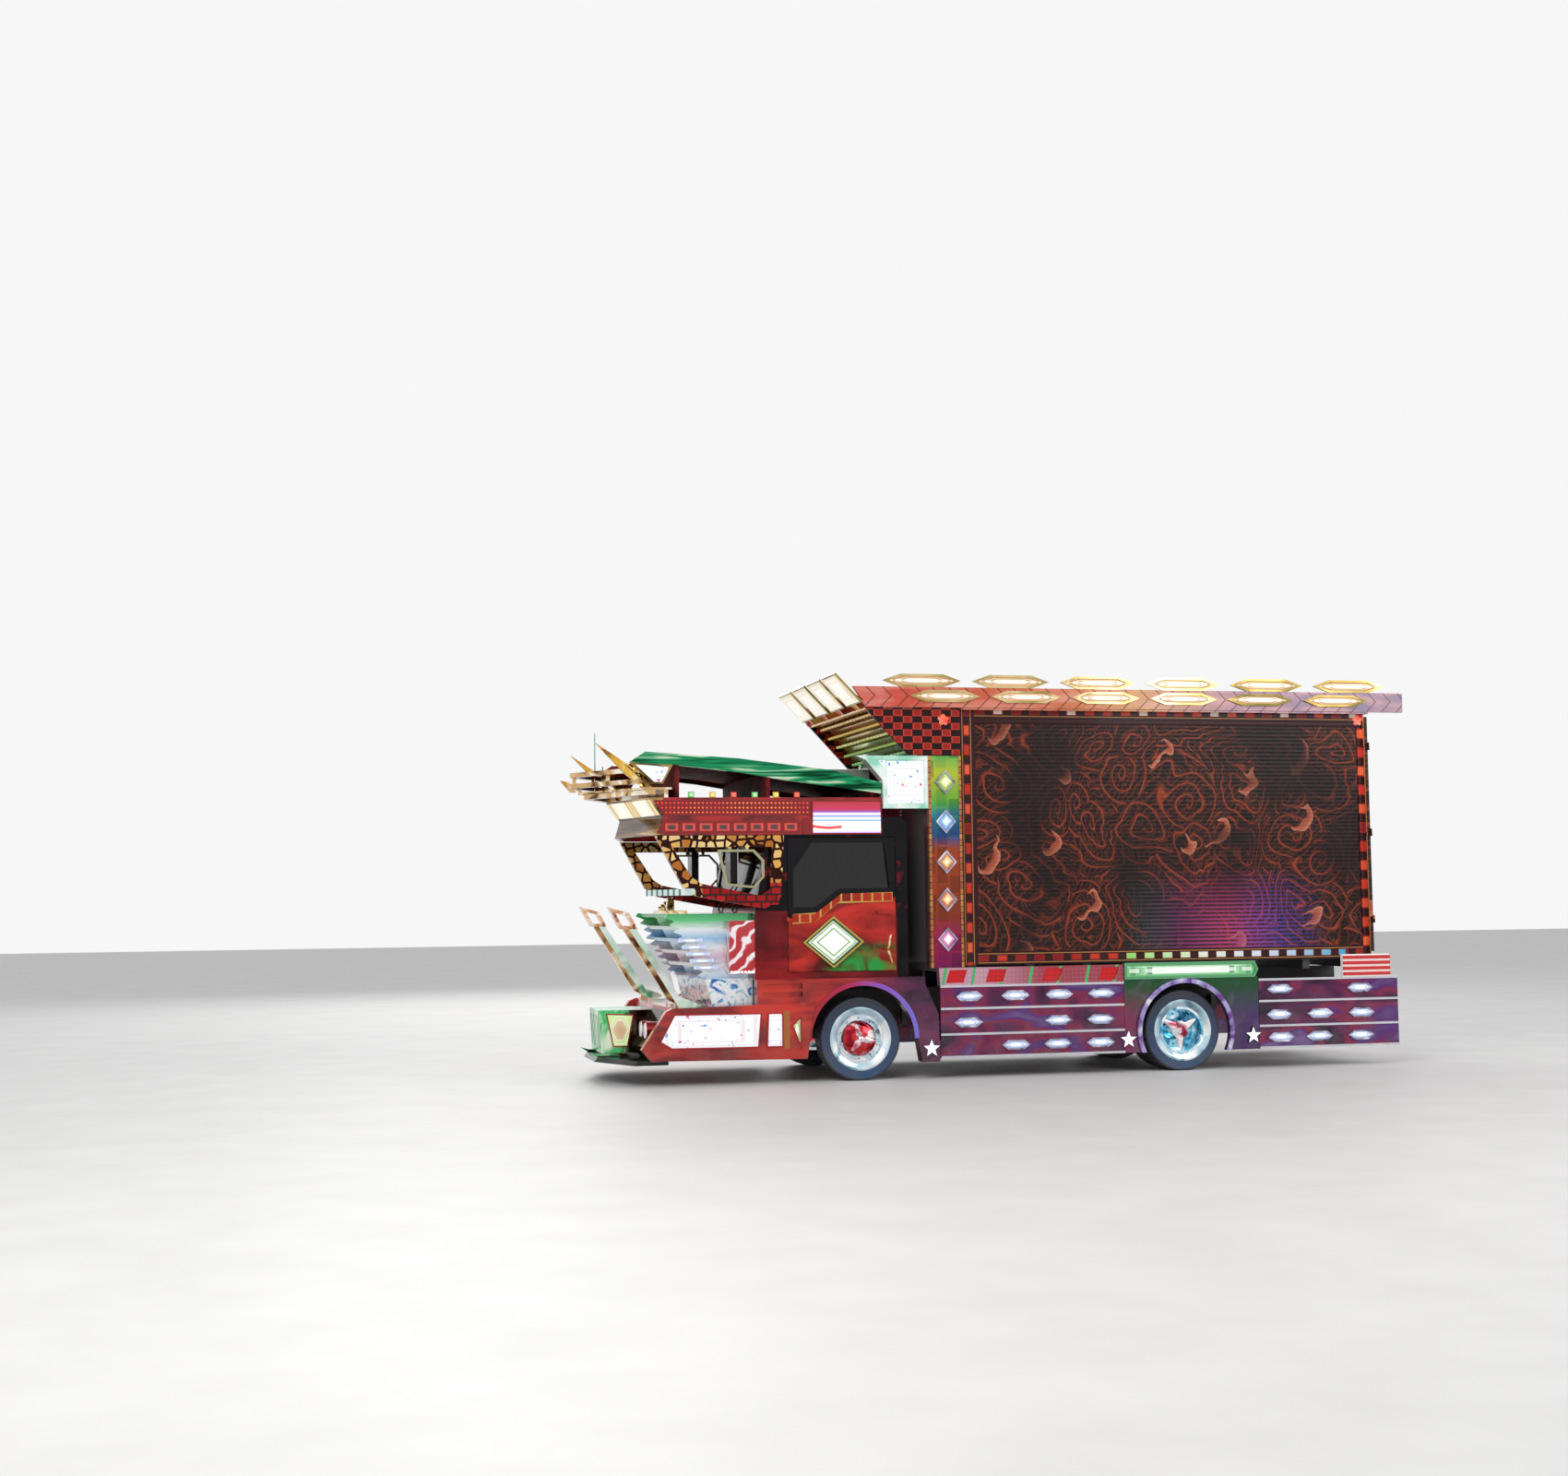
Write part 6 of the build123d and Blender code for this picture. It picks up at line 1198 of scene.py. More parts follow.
# Painted reflections on the flares.
flare = mirrored(tree, (0.16, 0.04, 0.30), (0.42, 0.36, 0.72), (0.92, 0.90, 0.96), 4.0)
skin = blend(tree, over(tree, side, 1.152), skin, flare["Color"])
bar_frame = over(tree, z, 0.929)
skin = blend(tree, bar_frame, skin, (0.14, 0.42, 0.20))
road_film(tree, sockets, skin, 0.17, 0.5, 0.9)
dress(panel_skin, "rear_wheel_panels")

step_skin, tree, sockets = finish("step_skin", metallic=0.7)
where, x, y, z = place_of(tree)
side = unsigned(tree, y)
studs = cells(tree, where, 24.0, 0.0)
dotted = ramp(tree, studs, (0.20, (0.90, 0.84, 0.84)), (0.34, (0.60, 0.04, 0.07)), (0.5, (0.30, 0.012, 0.03)))
whitened = span(tree, x, REAR_AXLE + 1.55, REAR_AXLE + 2.15, 0.15, 0.85)
dotted = blend(tree, whitened, dotted, ramp(tree, studs, (0.20, (0.97, 0.94, 0.95)), (0.34, (0.80, 0.55, 0.62)),
                                            (0.5, (0.62, 0.36, 0.46))))
slide = fraction(tree, ratio(tree, plus(tree, x, times(tree, z, 0.2)), 0.3))
dotted = blend(tree, under(tree, slide, 0.10), dotted, (0.06, 0.50, 0.16))
recess = all_of(tree, under(tree, side, 1.1395), over(tree, side, 1.137))
colour = blend(tree, recess, dotted, (0.60, 0.015, 0.02))
road_film(tree, sockets, colour, 0.28, 0.45, 1.2)
rough_up(tree, sockets, minus(tree, 1.0, studs), 0.004, 0.7)
dress(step_skin, "step_boxes")

# ---- Lamp housings ----
# The rims and cases of all the lamps: chrome with painted reflection streaks, warm on the roof lamps and bluish
# on the side lamps. The cases bolt flat to the panels that carry them.
lamp_rims = chrome_with_painted_streaks("lamp_rims", (0.10, 0.08, 0.02), (0.42, 0.29, 0.09), (0.74, 0.58, 0.28), 1.1)
lamp_trays = chrome_with_painted_streaks("lamp_trays", (0.10, 0.10, 0.16), (0.40, 0.40, 0.52), (0.86, 0.87, 0.92), 4.0)
dress(lamp_rims, "roof_lamps")
dress(lamp_trays, "side_lamps")

housing, tree, sockets = finish("front_housings", metallic=0.6, coat=0.5)
_, x, y, z = place_of(tree)
side = unsigned(tree, y)
# Gold-toned chrome with painted reflection streaks.
rims = mirrored(tree, (0.30, 0.22, 0.10), (0.72, 0.56, 0.28), (0.95, 0.90, 0.76), 8.0)
colour = blend(tree, all_of(tree, inside(tree, z, 2.40, 2.74), over(tree, side, 1.085)), rims["Color"],
               (0.26, 0.006, 0.008))
colour = blend(tree, under(tree, z, 0.72), colour, (0.42, 0.012, 0.02))
brow = all_of(tree, over(tree, x, AXLE + 1.96), inside(tree, z, 2.40, 2.75), under(tree, side, 1.088))
from_rim = away(tree, fraction(tree, ratio(tree, plus(tree, y, 1.07), 0.535)), 0.5)
brow_tone = ramp(tree, from_rim, (0.0, (0.98, 0.95, 0.86)), (0.30, (0.95, 0.86, 0.64)), (0.37, (0.50, 0.28, 0.08)),
                 (0.42, (0.85, 0.66, 0.34)))
colour = blend(tree, brow, colour, brow_tone)
feed(tree, sockets, Base_Color=colour, Emission_Color=blend(tree, brow, (0, 0, 0), brow_tone))
sockets["Emission Strength"].default_value = 0.45
sockets["Roughness"].default_value = 0.22
dress(housing, "front_lamps")

tail_red, tree, sockets = finish("tail_red", roughness=0.18, coat=0.6, glow=0.25)
where, _, y, z = place_of(tree)
side = unsigned(tree, y)
prism = cells(tree, where, 60.0, 0.1)
red_lens = ramp(tree, prism, (0.1, (0.85, 0.03, 0.02)), (0.5, (0.45, 0.005, 0.008)))
colour = blend(tree, all_of(tree, under(tree, side, 1.1605), over(tree, z, 0.88)), red_lens, (0.86, 0.84, 0.82))
feed(tree, sockets, Base_Color=colour, Emission_Color=colour)
rough_up(tree, sockets, prism, 0.002, 0.6)
dress(tail_red, "tail_lamps")

# ---- Lens lamps of the skirts and roof boards ----
# Moulded acrylic lenses over rows of bulbs, clipped in their rims: long hexagons that step up to a bright core,
# with darker lines at each step.
LENS_DEPTH = 0.004
HERE = Matrix.Identity(4)
MIRROR = Matrix.Scale(-1, 4, (0, 1, 0))
SIDES = (("left", HERE), ("right", MIRROR))


def both(*places):
    return [side @ place for place in places for side in (HERE, MIRROR)]


def thicken(sheet, depth):
    """Gives a flat sheet its depth towards +Y, and leaves its face picked."""
    take_all()
    pull(0, depth, 0)
    take_all()
    bpy.ops.mesh.normals_make_consistent(inside=False)
    pick_faces(sheet, lambda middle, normal: normal.y > 0.9)


def step_up(*steps):
    for inward, rise in steps:
        bpy.ops.mesh.inset(thickness=inward)
        lift(rise)


def lens(outline, gap=0.0, steps=((0.008, 0.004), (0.012, 0.003)), depth=LENS_DEPTH):
    """A closed lens facing +Y, cut from a sheet along a convex outline in X and Z that is first drawn in by
    the gap, and raised in steps, each an inset and a rise. Its UV map runs from -1 to 1 over its box."""
    middle_x = sum(x for x, z in outline) / len(outline)
    middle_z = sum(z for x, z in outline) / len(outline)
    reach = max(math.hypot(x - middle_x, z - middle_z) for x, z in outline) + 0.01
    plate = start(bpy.ops.mesh.primitive_plane_add, size=2 * reach, location=(middle_x, 0, middle_z),
                  rotation=(-math.pi / 2, 0, 0))
    edit(plate)
    for (x1, z1), (x2, z2) in zip(outline, outline[1:] + outline[:1]):
        long = math.hypot(x2 - x1, z2 - z1)
        out_x, out_z = (z2 - z1) / long, (x1 - x2) / long
        if out_x * (middle_x - x1) + out_z * (middle_z - z1) > 0:
            out_x, out_z = -out_x, -out_z
        take_all()
        bpy.ops.mesh.bisect(plane_co=(x1 - gap * out_x, 0, z1 - gap * out_z), plane_no=(out_x, 0, out_z),
                            clear_outer=True)
    thicken(plate, depth)
    step_up(*steps)
    tidy_mesh(plate)
    low = [min(v.co[axis] for v in plate.data.vertices) for axis in (0, 2)]
    high = [max(v.co[axis] for v in plate.data.vertices) for axis in (0, 2)]
    for loop, corner in zip(plate.data.loops, plate.data.uv_layers.active.data):
        co = plate.data.vertices[loop.vertex_index].co
        corner.uv = [2 * (value - a) / (b - a) - 1 for value, a, b in zip((co.x, co.z), low, high)]
    return plate


def hexagon(half_length, half_height, shoulder=0.55):
    return [(half_length, 0), (shoulder * half_length, half_height), (-shoulder * half_length, half_height),
            (-half_length, 0), (-shoulder * half_length, -half_height), (shoulder * half_length, -half_height)]


glow_group, given, result = new_group(
    "Lamp Glow",
    (("Slant", "Float", 0.45), ("Core", "Color", (1, 1, 1)), ("Middle", "Color", (1, 0.9, 0.7)),
     ("Edge", "Color", (0.8, 0.6, 0.3)), ("Line", "Color", (0.3, 0.1, 0.05)), ("Bulbs", "Float", 0.0),
     ("Specks", "Float", 0.0)),
    (("Color", "Color"),))
axes = axes_of(glow_group, part(glow_group, "TexCoord").outputs["UV"])
u = unsigned(glow_group, axes[0])
v = unsigned(glow_group, axes[1])
to_rim = sums(glow_group, "MAXIMUM", v, plus(glow_group, u, times(glow_group, v, given["Slant"])))
lit = blend(glow_group, span(glow_group, to_rim, 0.15, 0.50), given["Core"], given["Middle"])
lit = blend(glow_group, span(glow_group, to_rim, 0.55, 0.80), lit, given["Edge"])
lit = blend(glow_group, inside(glow_group, to_rim, 0.60, 0.68), lit, given["Line"])
lit = blend(glow_group, inside(glow_group, to_rim, 0.86, 0.93), lit, given["Line"])
row = away(glow_group, fraction(glow_group, times(glow_group, axes[0], 4.0)), 0.5)
spot = times(glow_group, under(glow_group, row, 0.3), under(glow_group, v, 0.35))
lit = blend(glow_group, times(glow_group, spot, given["Bulbs"]), lit, (1.0, 1.0, 0.97))
blots = noise(glow_group, place_of(glow_group)[0], 22.0, 1.0)
blot_tone = ramp(glow_group, blots, (0.26, (0.75, 0.10, 0.30)), (0.30, (1.0, 1.0, 1.0)), (0.69, (1.0, 1.0, 1.0)),
                 (0.73, (0.16, 0.36, 0.85)))
lit = blend(glow_group, given["Specks"], lit, blot_tone, "MULTIPLY")
feed(glow_group, result, Color=lit)


def lit_lens(name, slant, core, middle, edge, line, strength=0.68, bulbs=0.0, specks=0.0):
    material, tree, sockets = finish(name, roughness=0.15, coat=0.7, glow=strength)
    glow = use_group(tree, glow_group, Slant=slant, Core=core, Middle=middle, Edge=edge, Line=line, Bulbs=bulbs,
                     Specks=specks)["Color"]
    feed(tree, sockets, Base_Color=blend(tree, 0.6, glow, (0.02, 0.02, 0.02)), Emission_Color=glow)
    return material


WHITE = (1.0, 0.98, 0.92)
cream_lens = lit_lens("cream_lens", 0.45, WHITE, (0.95, 0.82, 0.58), (0.75, 0.50, 0.26), (0.45, 0.16, 0.08), 0.7, 0.7)
blue_lens = lit_lens("blue_lens", 0.45, (0.93, 0.97, 1.0), (0.78, 0.88, 1.0), (0.50, 0.62, 0.90), (0.22, 0.20, 0.45),
                     0.68, 0.5)
LAMPS_PER_BOARD = 6
top_row = [at(AXLE - 0.640 - 0.930 * k, 1.1725, 3.915) for k in range(LAMPS_PER_BOARD)]
face_row = [at(AXLE - 0.870 - 0.850 * k, 1.2080, 3.760) for k in range(LAMPS_PER_BOARD)]
fit(lens(hexagon(0.378, 0.042), steps=((0.012, 0.005), (0.014, 0.004))), "top_lamp_lenses", both(*top_row),
    cream_lens, "chassis", "lamp_cream")
fit(lens(hexagon(0.338, 0.037), steps=((0.010, 0.004), (0.012, 0.002))), "face_lamp_lenses", both(*face_row),
    cream_lens, "chassis", "lamp_cream")
# Columns: X behind the front axle and height of each lens lamp on the skirts.
SKIRT_LAMPS = ((1.08, 0.80), (1.56, 0.80), (2.02, 0.80), (2.47, 0.80), (1.07, 0.545), (2.01, 0.545), (2.46, 0.545),
               (1.56, 0.315), (2.00, 0.315), (2.45, 0.315), (4.42, 0.80), (5.32, 0.80), (4.41, 0.545), (4.86, 0.545),
               (5.33, 0.545), (4.42, 0.315), (4.85, 0.315), (5.32, 0.315))
skirt_spots = [at(AXLE - back, 1.1592, height) for back, height in SKIRT_LAMPS]
fit(lens(hexagon(0.134, 0.034)), "skirt_lamp_lenses", both(*skirt_spots), blue_lens, "chassis", "lamp_blue")

# ---- Spike blades ----
# Two tall blades of gold plate that stand off the prow truss's ends, each a broad leaf with raised facets, sheathed
# over the truss's own spike and screwed to it.
BLADE = [(2.575, 3.295), (2.232, 3.069), (2.015, 2.869), (2.055, 2.821), (2.291, 2.999)]
# Gold plate with painted reflection streaks.
blade_gold = chrome_with_painted_streaks("blade_gold", (0.36, 0.13, 0.015), (0.84, 0.48, 0.07), (0.98, 0.82, 0.44), 3.2)
leaf = lens(BLADE, steps=((0.013, 0.007),), depth=0.036)
fit(leaf, "spike_blades", both(at(AXLE, 0.882, 0)), blade_gold, "chassis", "gold_chrome")

# ---- Diamonds and stars ----
# Faceted diamond lenses down the corner pillars, each in its own colour, a large one on each cab door, and
# five-pointed lamps beside the wheels.
DIAMOND = [(1, 0), (0, 1), (-1, 0), (0, -1)]


def diamond(half_length, half_height, steps):
    return lens([(x * half_length, z * half_height) for x, z in DIAMOND], steps=steps)


# Columns: height of the lens and its core, middle, edge and line colours.
PILLAR_LENSES = ((2.91, (1.0, 1.0, 0.80), (0.90, 0.95, 0.35), (0.55, 0.60, 0.10), (0.10, 0.35, 0.05)),
                 (2.52, (0.92, 0.97, 1.0), (0.55, 0.80, 1.0), (0.20, 0.45, 0.85), (0.02, 0.10, 0.40)),
                 (2.12, (1.0, 0.90, 0.62), (0.95, 0.55, 0.18), (0.60, 0.20, 0.05), (0.25, 0.02, 0.01)),
                 (1.75, (1.0, 0.90, 0.62), (0.95, 0.50, 0.16), (0.60, 0.16, 0.05), (0.25, 0.02, 0.01)),
                 (1.36, (1.0, 0.97, 0.98), (0.95, 0.70, 0.85), (0.60, 0.10, 0.40), (0.30, 0.0, 0.15)))
for k, (height, *tones) in enumerate(PILLAR_LENSES):
    stone = diamond(0.083, 0.095, ((0.010, 0.006), (0.022, 0.007)))
    fit(stone, "pillar_diamonds_%d" % k, both(at(AXLE - 0.870, 1.1625, height)),
        lit_lens("diamond_lens_%d" % k, 1.0, *tones), "chassis", "lamp_white")
door_lens = lit_lens("door_lens", 1.0, WHITE, (0.98, 0.98, 0.96), (0.90, 0.94, 0.88), (0.20, 0.38, 0.10), 0.7,
                     specks=0.6)
for label, side in SIDES:
    stone = diamond(0.252, 0.207, ((0.016, 0.006), (0.030, 0.006), (0.050, 0.005)))
    big = copies(stone, "door_diamond_" + label, [side @ at(DOOR_LAMP_X, 1.0715, DOOR_LAMP_Z)])
    give(big, door_lens, "cab_door_" + label, "lamp_white")
STAR_POINTS = 5


def star_lamp():
    star = disc(2 * STAR_POINTS, 0.082, "TRIFAN")
    edit(star)

    def notch(co):
        turn = (math.atan2(co.z, co.x) - math.pi / 2) / (math.pi / STAR_POINTS)
        return math.hypot(co.x, co.z) > 0.01 and round(turn) % 2 == 1

    pick_points(star, notch)
    spread(0.42)
    take_all()
    pull(0, 0.003, 0)
    pick_points(star, lambda co: co.y > 0.002 and math.hypot(co.x, co.z) < 0.01)
    lift(0.012)
    tidy_mesh(star)
    return star


def lit_plastic(name, scale, *tones, **look):
    """Moulded plastic lit from behind, in which the tones drift from one to the other."""
    material, tree, sockets = finish(name, **look)
    tone = ramp(tree, noise(tree, place_of(tree)[0], scale), *tones)
    feed(tree, sockets, Base_Color=tone, Emission_Color=tone)
    return material


star_white = lit_plastic("star_white", 30.0, (0.4, (0.80, 0.84, 0.95)), (0.6, (1.0, 0.99, 0.94)), roughness=0.2,
                         coat=0.6, glow=0.7)
star_spots = [at(AXLE - back, y, height)
              for back, height, y in ((0.69, 0.30, 1.1618), (2.75, 0.33, 1.1718), (4.11, 0.34, 1.1718))]
fit(star_lamp(), "star_lenses", both(*star_spots), star_white, "chassis", "lamp_white")

# ---- Bumper, pod, nose and tail lamps ----
# Flat lit panels in the bumper wings, a triangle of green, white and gold, the pod's slanted panel, the stack of
# plates on the grille's cheeks, and the fluted glasses of the round head lamps and tail lamps.
panel_lens = lit_lens("panel_lens", 0.0, WHITE, (0.97, 0.97, 0.92), (0.90, 0.92, 0.95), (0.84, 0.76, 0.80), 0.7,
                      specks=1.0)
green_lens = lit_lens("green_lens", 0.6, (0.95, 1.0, 0.92), (0.85, 0.95, 0.70), (0.30, 0.70, 0.22),
                      (0.60, 0.16, 0.10), 0.6)
pod_lens = lit_lens("pod_lens", 0.6, (0.66, 0.42, 0.24), (0.74, 0.54, 0.32), (0.70, 0.92, 0.36), (0.96, 0.97, 0.80),
                    0.6)
# Columns: name, outline in front-axle metres, Y of its back, material.
PANEL_LENSES = (("long", [(1.865, 0.69), (1.01, 0.685), (1.04, 0.355), (1.89, 0.36), (2.005, 0.43)], 1.1560,
                 panel_lens),
                ("short", [(0.95, 0.685), (0.80, 0.685), (0.80, 0.355), (0.965, 0.355)], 1.1560, panel_lens),
                ("corner", [(0.62, 0.65), (0.715, 0.56), (0.62, 0.33)], 1.1560, green_lens),
                ("pod", [(2.12, 0.655), (2.40, 0.67), (2.33, 0.34), (2.18, 0.34)], 0.3460, pod_lens))
for name, outline, y, material in PANEL_LENSES:
    glass = lens(outline, 0.013, ((0.014, 0.002), (0.02, 0.001)))
    fit(glass, name + "_panel_lenses", both(at(AXLE, y, 0)), material, "chassis", "lamp_white")


def rectangle(half_x, half_z):
    return [(half_x, half_z), (-half_x, half_z), (-half_x, -half_z), (half_x, -half_z)]


def lean_x(z):
    return 1.520 + 0.360 * (z - 1.01) / 0.63


cheek_spots = [at(AXLE + lean_x(1.12 + 0.066 * k) - 0.075, 0.9165, 1.12 + 0.066 * k) for k in range(5)]
cheek_plate = lens(rectangle(0.12, 0.019), steps=((0.005, 0.003), (0.007, 0.002)))
fit(cheek_plate, "cheek_lenses", both(*cheek_spots), blue_lens, "chassis", "lamp_white")


def round_lens(radius, depth):
    """A fluted lens facing +Y with a stepped rim, raised from a disc."""
    glass = disc(32, radius)
    edit(glass)
    thicken(glass, depth)
    step_up(*[(radius * inward, depth * rise)
              for inward, rise in ((0.10, 0.0), (0.02, -0.3), (0.25, 0.5), (0.30, 0.3))])
    tidy_mesh(glass, 30)
    return glass


head_glass, tree, sockets = finish("head_glass", roughness=0.12, coat=0.8, glow=0.35)
y = place_of(tree)[2]
flutes = fraction(tree, times(tree, y, 90.0))
glow_tone = ramp(tree, flutes, (0.0, (0.62, 0.66, 0.70)), (0.5, (0.95, 0.96, 0.98)), (1.0, (0.62, 0.66, 0.70)))
feed(tree, sockets, Base_Color=glow_tone, Emission_Color=glow_tone)
rough_up(tree, sockets, flutes, 0.002, 0.5)
FACE_FRONT = Matrix.Rotation(-math.pi / 2, 4, "Z")
head_spots = [at(AXLE + 2.074, y, 0.52) @ FACE_FRONT for y in (-0.76, -0.50, 0.50, 0.76)]
fit(round_lens(0.074, 0.010), "head_lamp_lenses", head_spots, head_glass, "chassis", "lamp_white")
FACE_REAR = Matrix.Rotation(math.pi / 2, 4, "Z")
tail_spots = [at(AXLE - 5.7195, side * y, 0.53) @ FACE_REAR for side in (1, -1) for y in (0.90, 0.74, 0.58, 0.42)]
fit(round_lens(0.052, 0.008), "tail_lamp_lenses", tail_spots, tail_red, "chassis", "lamp_red")

# ---- Wheel spinners ----
# A spinner of three blunt paddles of polished plate on each hub, long ones in the rear wheels' dishes and shorter
# ones over the front wheels' domes, held by a round centre nut.
SPINNER_ARMS = 3
SPINNER_ARM = [(0.206, 0.017), (0.070, 0.046), (0, 0), (0.070, -0.046), (0.206, -0.017)]
# Columns: name, wheel's middle X, Y of the spinner's back, its size, turn of its first arm, Y of its nut.
SPINNERS = (("front", AXLE, 1.0585, 0.72, 50, 1.0700), ("rear", REAR_AXLE, 1.0142, 1.0, 90, 1.0300))
# Polished plate with painted pink-red and white reflection streaks.
spinner_chrome = chrome_with_painted_streaks("spinner_chrome", (0.60, 0.10, 0.16), (0.88, 0.78, 0.83), (0.98, 0.97, 0.97), 5.0)
for name, centre_x, back, size, first_turn, nut_y in SPINNERS:
    for label, side in SIDES:
        arm = lens([(x * size, z * size) for x, z in SPINNER_ARM], steps=((0.007, 0.006), (0.009, 0.004)))
        turns = [math.radians(first_turn + 360 / SPINNER_ARMS * k) for k in range(SPINNER_ARMS)]
        spots = [side @ at(centre_x, back, HUB) @ Matrix.Rotation(turn, 4, "Y") for turn in turns]
        body = "wheel_%s_%s" % (name, label)
        fit(arm, "%s_spinner_%s" % (name, label), spots, spinner_chrome, body, "bright_chrome")
        nut = copies(round_lens(0.030, 0.010), "%s_spinner_nut_%s" % (name, label), [side @ at(centre_x, nut_y, HUB)])
        give(nut, spinner_chrome, body, "bright_chrome")

# ---- Light boxes, bar lamps and crown ----
# The big lit panels: two on the cab's rear corners, a long bar over each rear wheel, the four that crown the
# fairing, and the slanted ones at the deck's front. All are acrylic sheets over bulbs.
box_lens = lit_lens("box_lens", 0.0, WHITE, (0.97, 0.97, 0.94), (0.92, 0.94, 0.95), (0.80, 0.82, 0.90), 0.7,
                    specks=1.0)
bar_lens = lit_lens("bar_lens", 0.0, WHITE, (0.80, 0.95, 0.78), (0.16, 0.50, 0.20), (0.05, 0.30, 0.10), 0.7, 0.6)
SHEETS = (("light_box", [(-0.271, 2.69), (-0.665, 2.69), (-0.665, 3.13), (-0.271, 3.13)], 0.012, 1.1375, box_lens),
          ("light_corner", [(-0.268, 3.04), (-0.268, 3.13), (-0.183, 3.13)], 0.004, 1.1375, box_lens),
          ("rear_bar", [(-2.724, 1.095), (-4.145, 1.095), (-4.185, 1.02), (-4.145, 0.93), (-2.724, 0.93)], 0.026,
           1.1365, bar_lens),
          ("deck_front", [(2.27, 3.10), (2.12, 3.088), (1.85, 3.075), (1.95, 2.89), (2.04, 2.89)], 0.018, 1.0995,
           box_lens))
for name, outline, gap, y, material in SHEETS:
    inset = 0.004 if name == "light_corner" else 0.012
    sheet = lens(outline, gap, ((inset, 0.003), (inset, 0.002)))
    fit(sheet, name + "_lenses", both(at(AXLE, y, 0)), material, "chassis", "lamp_white")
CROWN_LEAN = math.atan2(0.280, 0.271)
crown_half = math.hypot(0.271, 0.280) / 2
sheet = lens(rectangle(0.235, crown_half - 0.02), steps=((0.02, 0.004), (0.05, 0.003)))
nod = Matrix.Rotation(math.pi / 2 - CROWN_LEAN, 4, "Y")
crown_spots = [at(AXLE + 0.125, y, 3.8295) @ nod @ FACE_FRONT for y in (-0.93, -0.31, 0.31, 0.93)]
crown_lens = lit_lens("crown_lens", 0.0, (1.0, 0.98, 0.93), (1.0, 0.96, 0.87), (0.96, 0.90, 0.74), (0.90, 0.78, 0.52),
                      0.72)
fit(sheet, "crown_lenses", crown_spots, crown_lens, "chassis", "lamp_cream")

# ---- Visor lamps ----
# Rows of small domed LEDs, a row of raised red squares under them, and the lit strips over the door windows, all
# pressed into the visor's sides.
led_red = lit_plastic("led_red", 3.0, (0.4, (0.85, 0.05, 0.02)), (0.6, (1.0, 0.28, 0.05)), roughness=0.2, coat=0.5,
                      glow=0.9)


def led_dome(share=1.0):
    dome = disc(8, 0.008)
    edit(dome)
    take_all()
    for inward in (1.0, 0.7):
        pull(0, 0.003, 0)
        spread(inward)
    tidy_mesh(dome)
    dome.data.transform(Matrix.Scale(share, 4))
    return dome


LED_STEP = 0.040
led_spots = []
for height in (2.615, 2.660, 2.705):
    led_spots += [at(AXLE + 0.52 + LED_STEP * k, 1.0995, height)
                  for k in range(int((1.45 + (height - 2.615)) / LED_STEP))]
fit(led_dome(), "visor_leds", both(*led_spots), led_red, "chassis", "lamp_red")

square_red = lit_lens("square_red", 0.0, (0.02, 0.0, 0.0), (0.10, 0.004, 0.004), (0.85, 0.06, 0.03),
                      (0.60, 0.02, 0.02), 0.55)
SQUARES = 8
square = lens(rectangle(0.062, 0.036), steps=((0.006, 0.003), (0.008, -0.002)))
square_spots = [at(AXLE + 0.69 + 0.168 * k, 1.0995, 2.4725) for k in range(SQUARES)]
fit(square, "visor_squares", both(*square_spots), square_red, "chassis", "lamp_red")

strip_lit, tree, sockets = finish("strip_lit", roughness=0.2, coat=0.6, glow=0.7)
_, x, _, z = place_of(tree)
wave = sums(tree, "SINE", times(tree, x, 11.0))
bent = plus(tree, z, times(tree, wave, 0.012))
bands = ramp(tree, span(tree, z, 2.40, 2.73), (0.0, (0.25, 0.05, 0.50)), (0.07, (0.62, 0.45, 0.90)),
             (0.12, (1.0, 0.98, 0.96)), (0.36, (1.0, 0.98, 0.96)), (0.40, (0.14, 0.22, 0.75)),
             (0.47, (0.75, 0.85, 1.0)), (0.53, (0.12, 0.20, 0.62)), (0.60, (0.80, 0.70, 0.95)),
             (0.66, (0.20, 0.05, 0.30)), (0.74, (0.40, 0.01, 0.05)), (1.0, (0.28, 0.006, 0.01)))
tail_red_part = all_of(tree, inside(tree, bent, 2.46, 2.49), over(tree, x, AXLE + 0.18))
bands = blend(tree, tail_red_part, bands, (0.70, 0.05, 0.05))
feed(tree, sockets, Base_Color=bands, Emission_Color=bands)
strip_sheet = lens([(0.475, 2.405), (0.475, 2.725), (-0.225, 2.725), (-0.225, 2.405)], 0.008,
                   ((0.01, 0.003), (0.02, 0.002)))
fit(strip_sheet, "door_strip_lenses", both(at(AXLE, 1.1075, 0)), strip_lit, "chassis", "lamp_white")

# ---- Small lamps, flowers and door brackets ----
# Square marker lamps on short feet along the visor's top, a row of bulbs under the nose's corner panels, pressed
# red flowers on the fairing and the body's rear corners, and gold brackets on the doors' rear edges.
MARKER_TONES = (((0.95, 0.20, 0.10), (0.70, 0.03, 0.02)), ((1.0, 0.85, 0.25), (0.75, 0.50, 0.03)),
                ((0.55, 0.95, 0.45), (0.08, 0.50, 0.10)))
for k, (core, edge) in enumerate(MARKER_TONES):
    marker = lens(rectangle(0.030, 0.028), steps=((0.004, 0.010), (0.010, 0.004)))
    spots = [at(AXLE + 0.62 + 0.21 * k + 0.63 * turn, 1.070, 2.787) for turn in range(2)]
    tone = lit_lens("marker_lens_%d" % k, 0.0, core, core, edge, edge, 0.6)
    fit(marker, "marker_lamps_%d" % k, both(*spots), tone, "chassis", "lamp_red")

bulb_white = lit_plastic("bulb_white", 12.0, (0.4, (0.80, 0.90, 1.0)), (0.6, (1.0, 0.97, 0.90)), roughness=0.15,
                         coat=0.5, glow=0.7)
fit(led_dome(1.7), "nose_bulbs", both(*[at(AXLE + 1.075 + 0.034 * k, 1.0515, 1.075) for k in range(7)]), bulb_white,
    "chassis", "lamp_white")

PETALS = 5


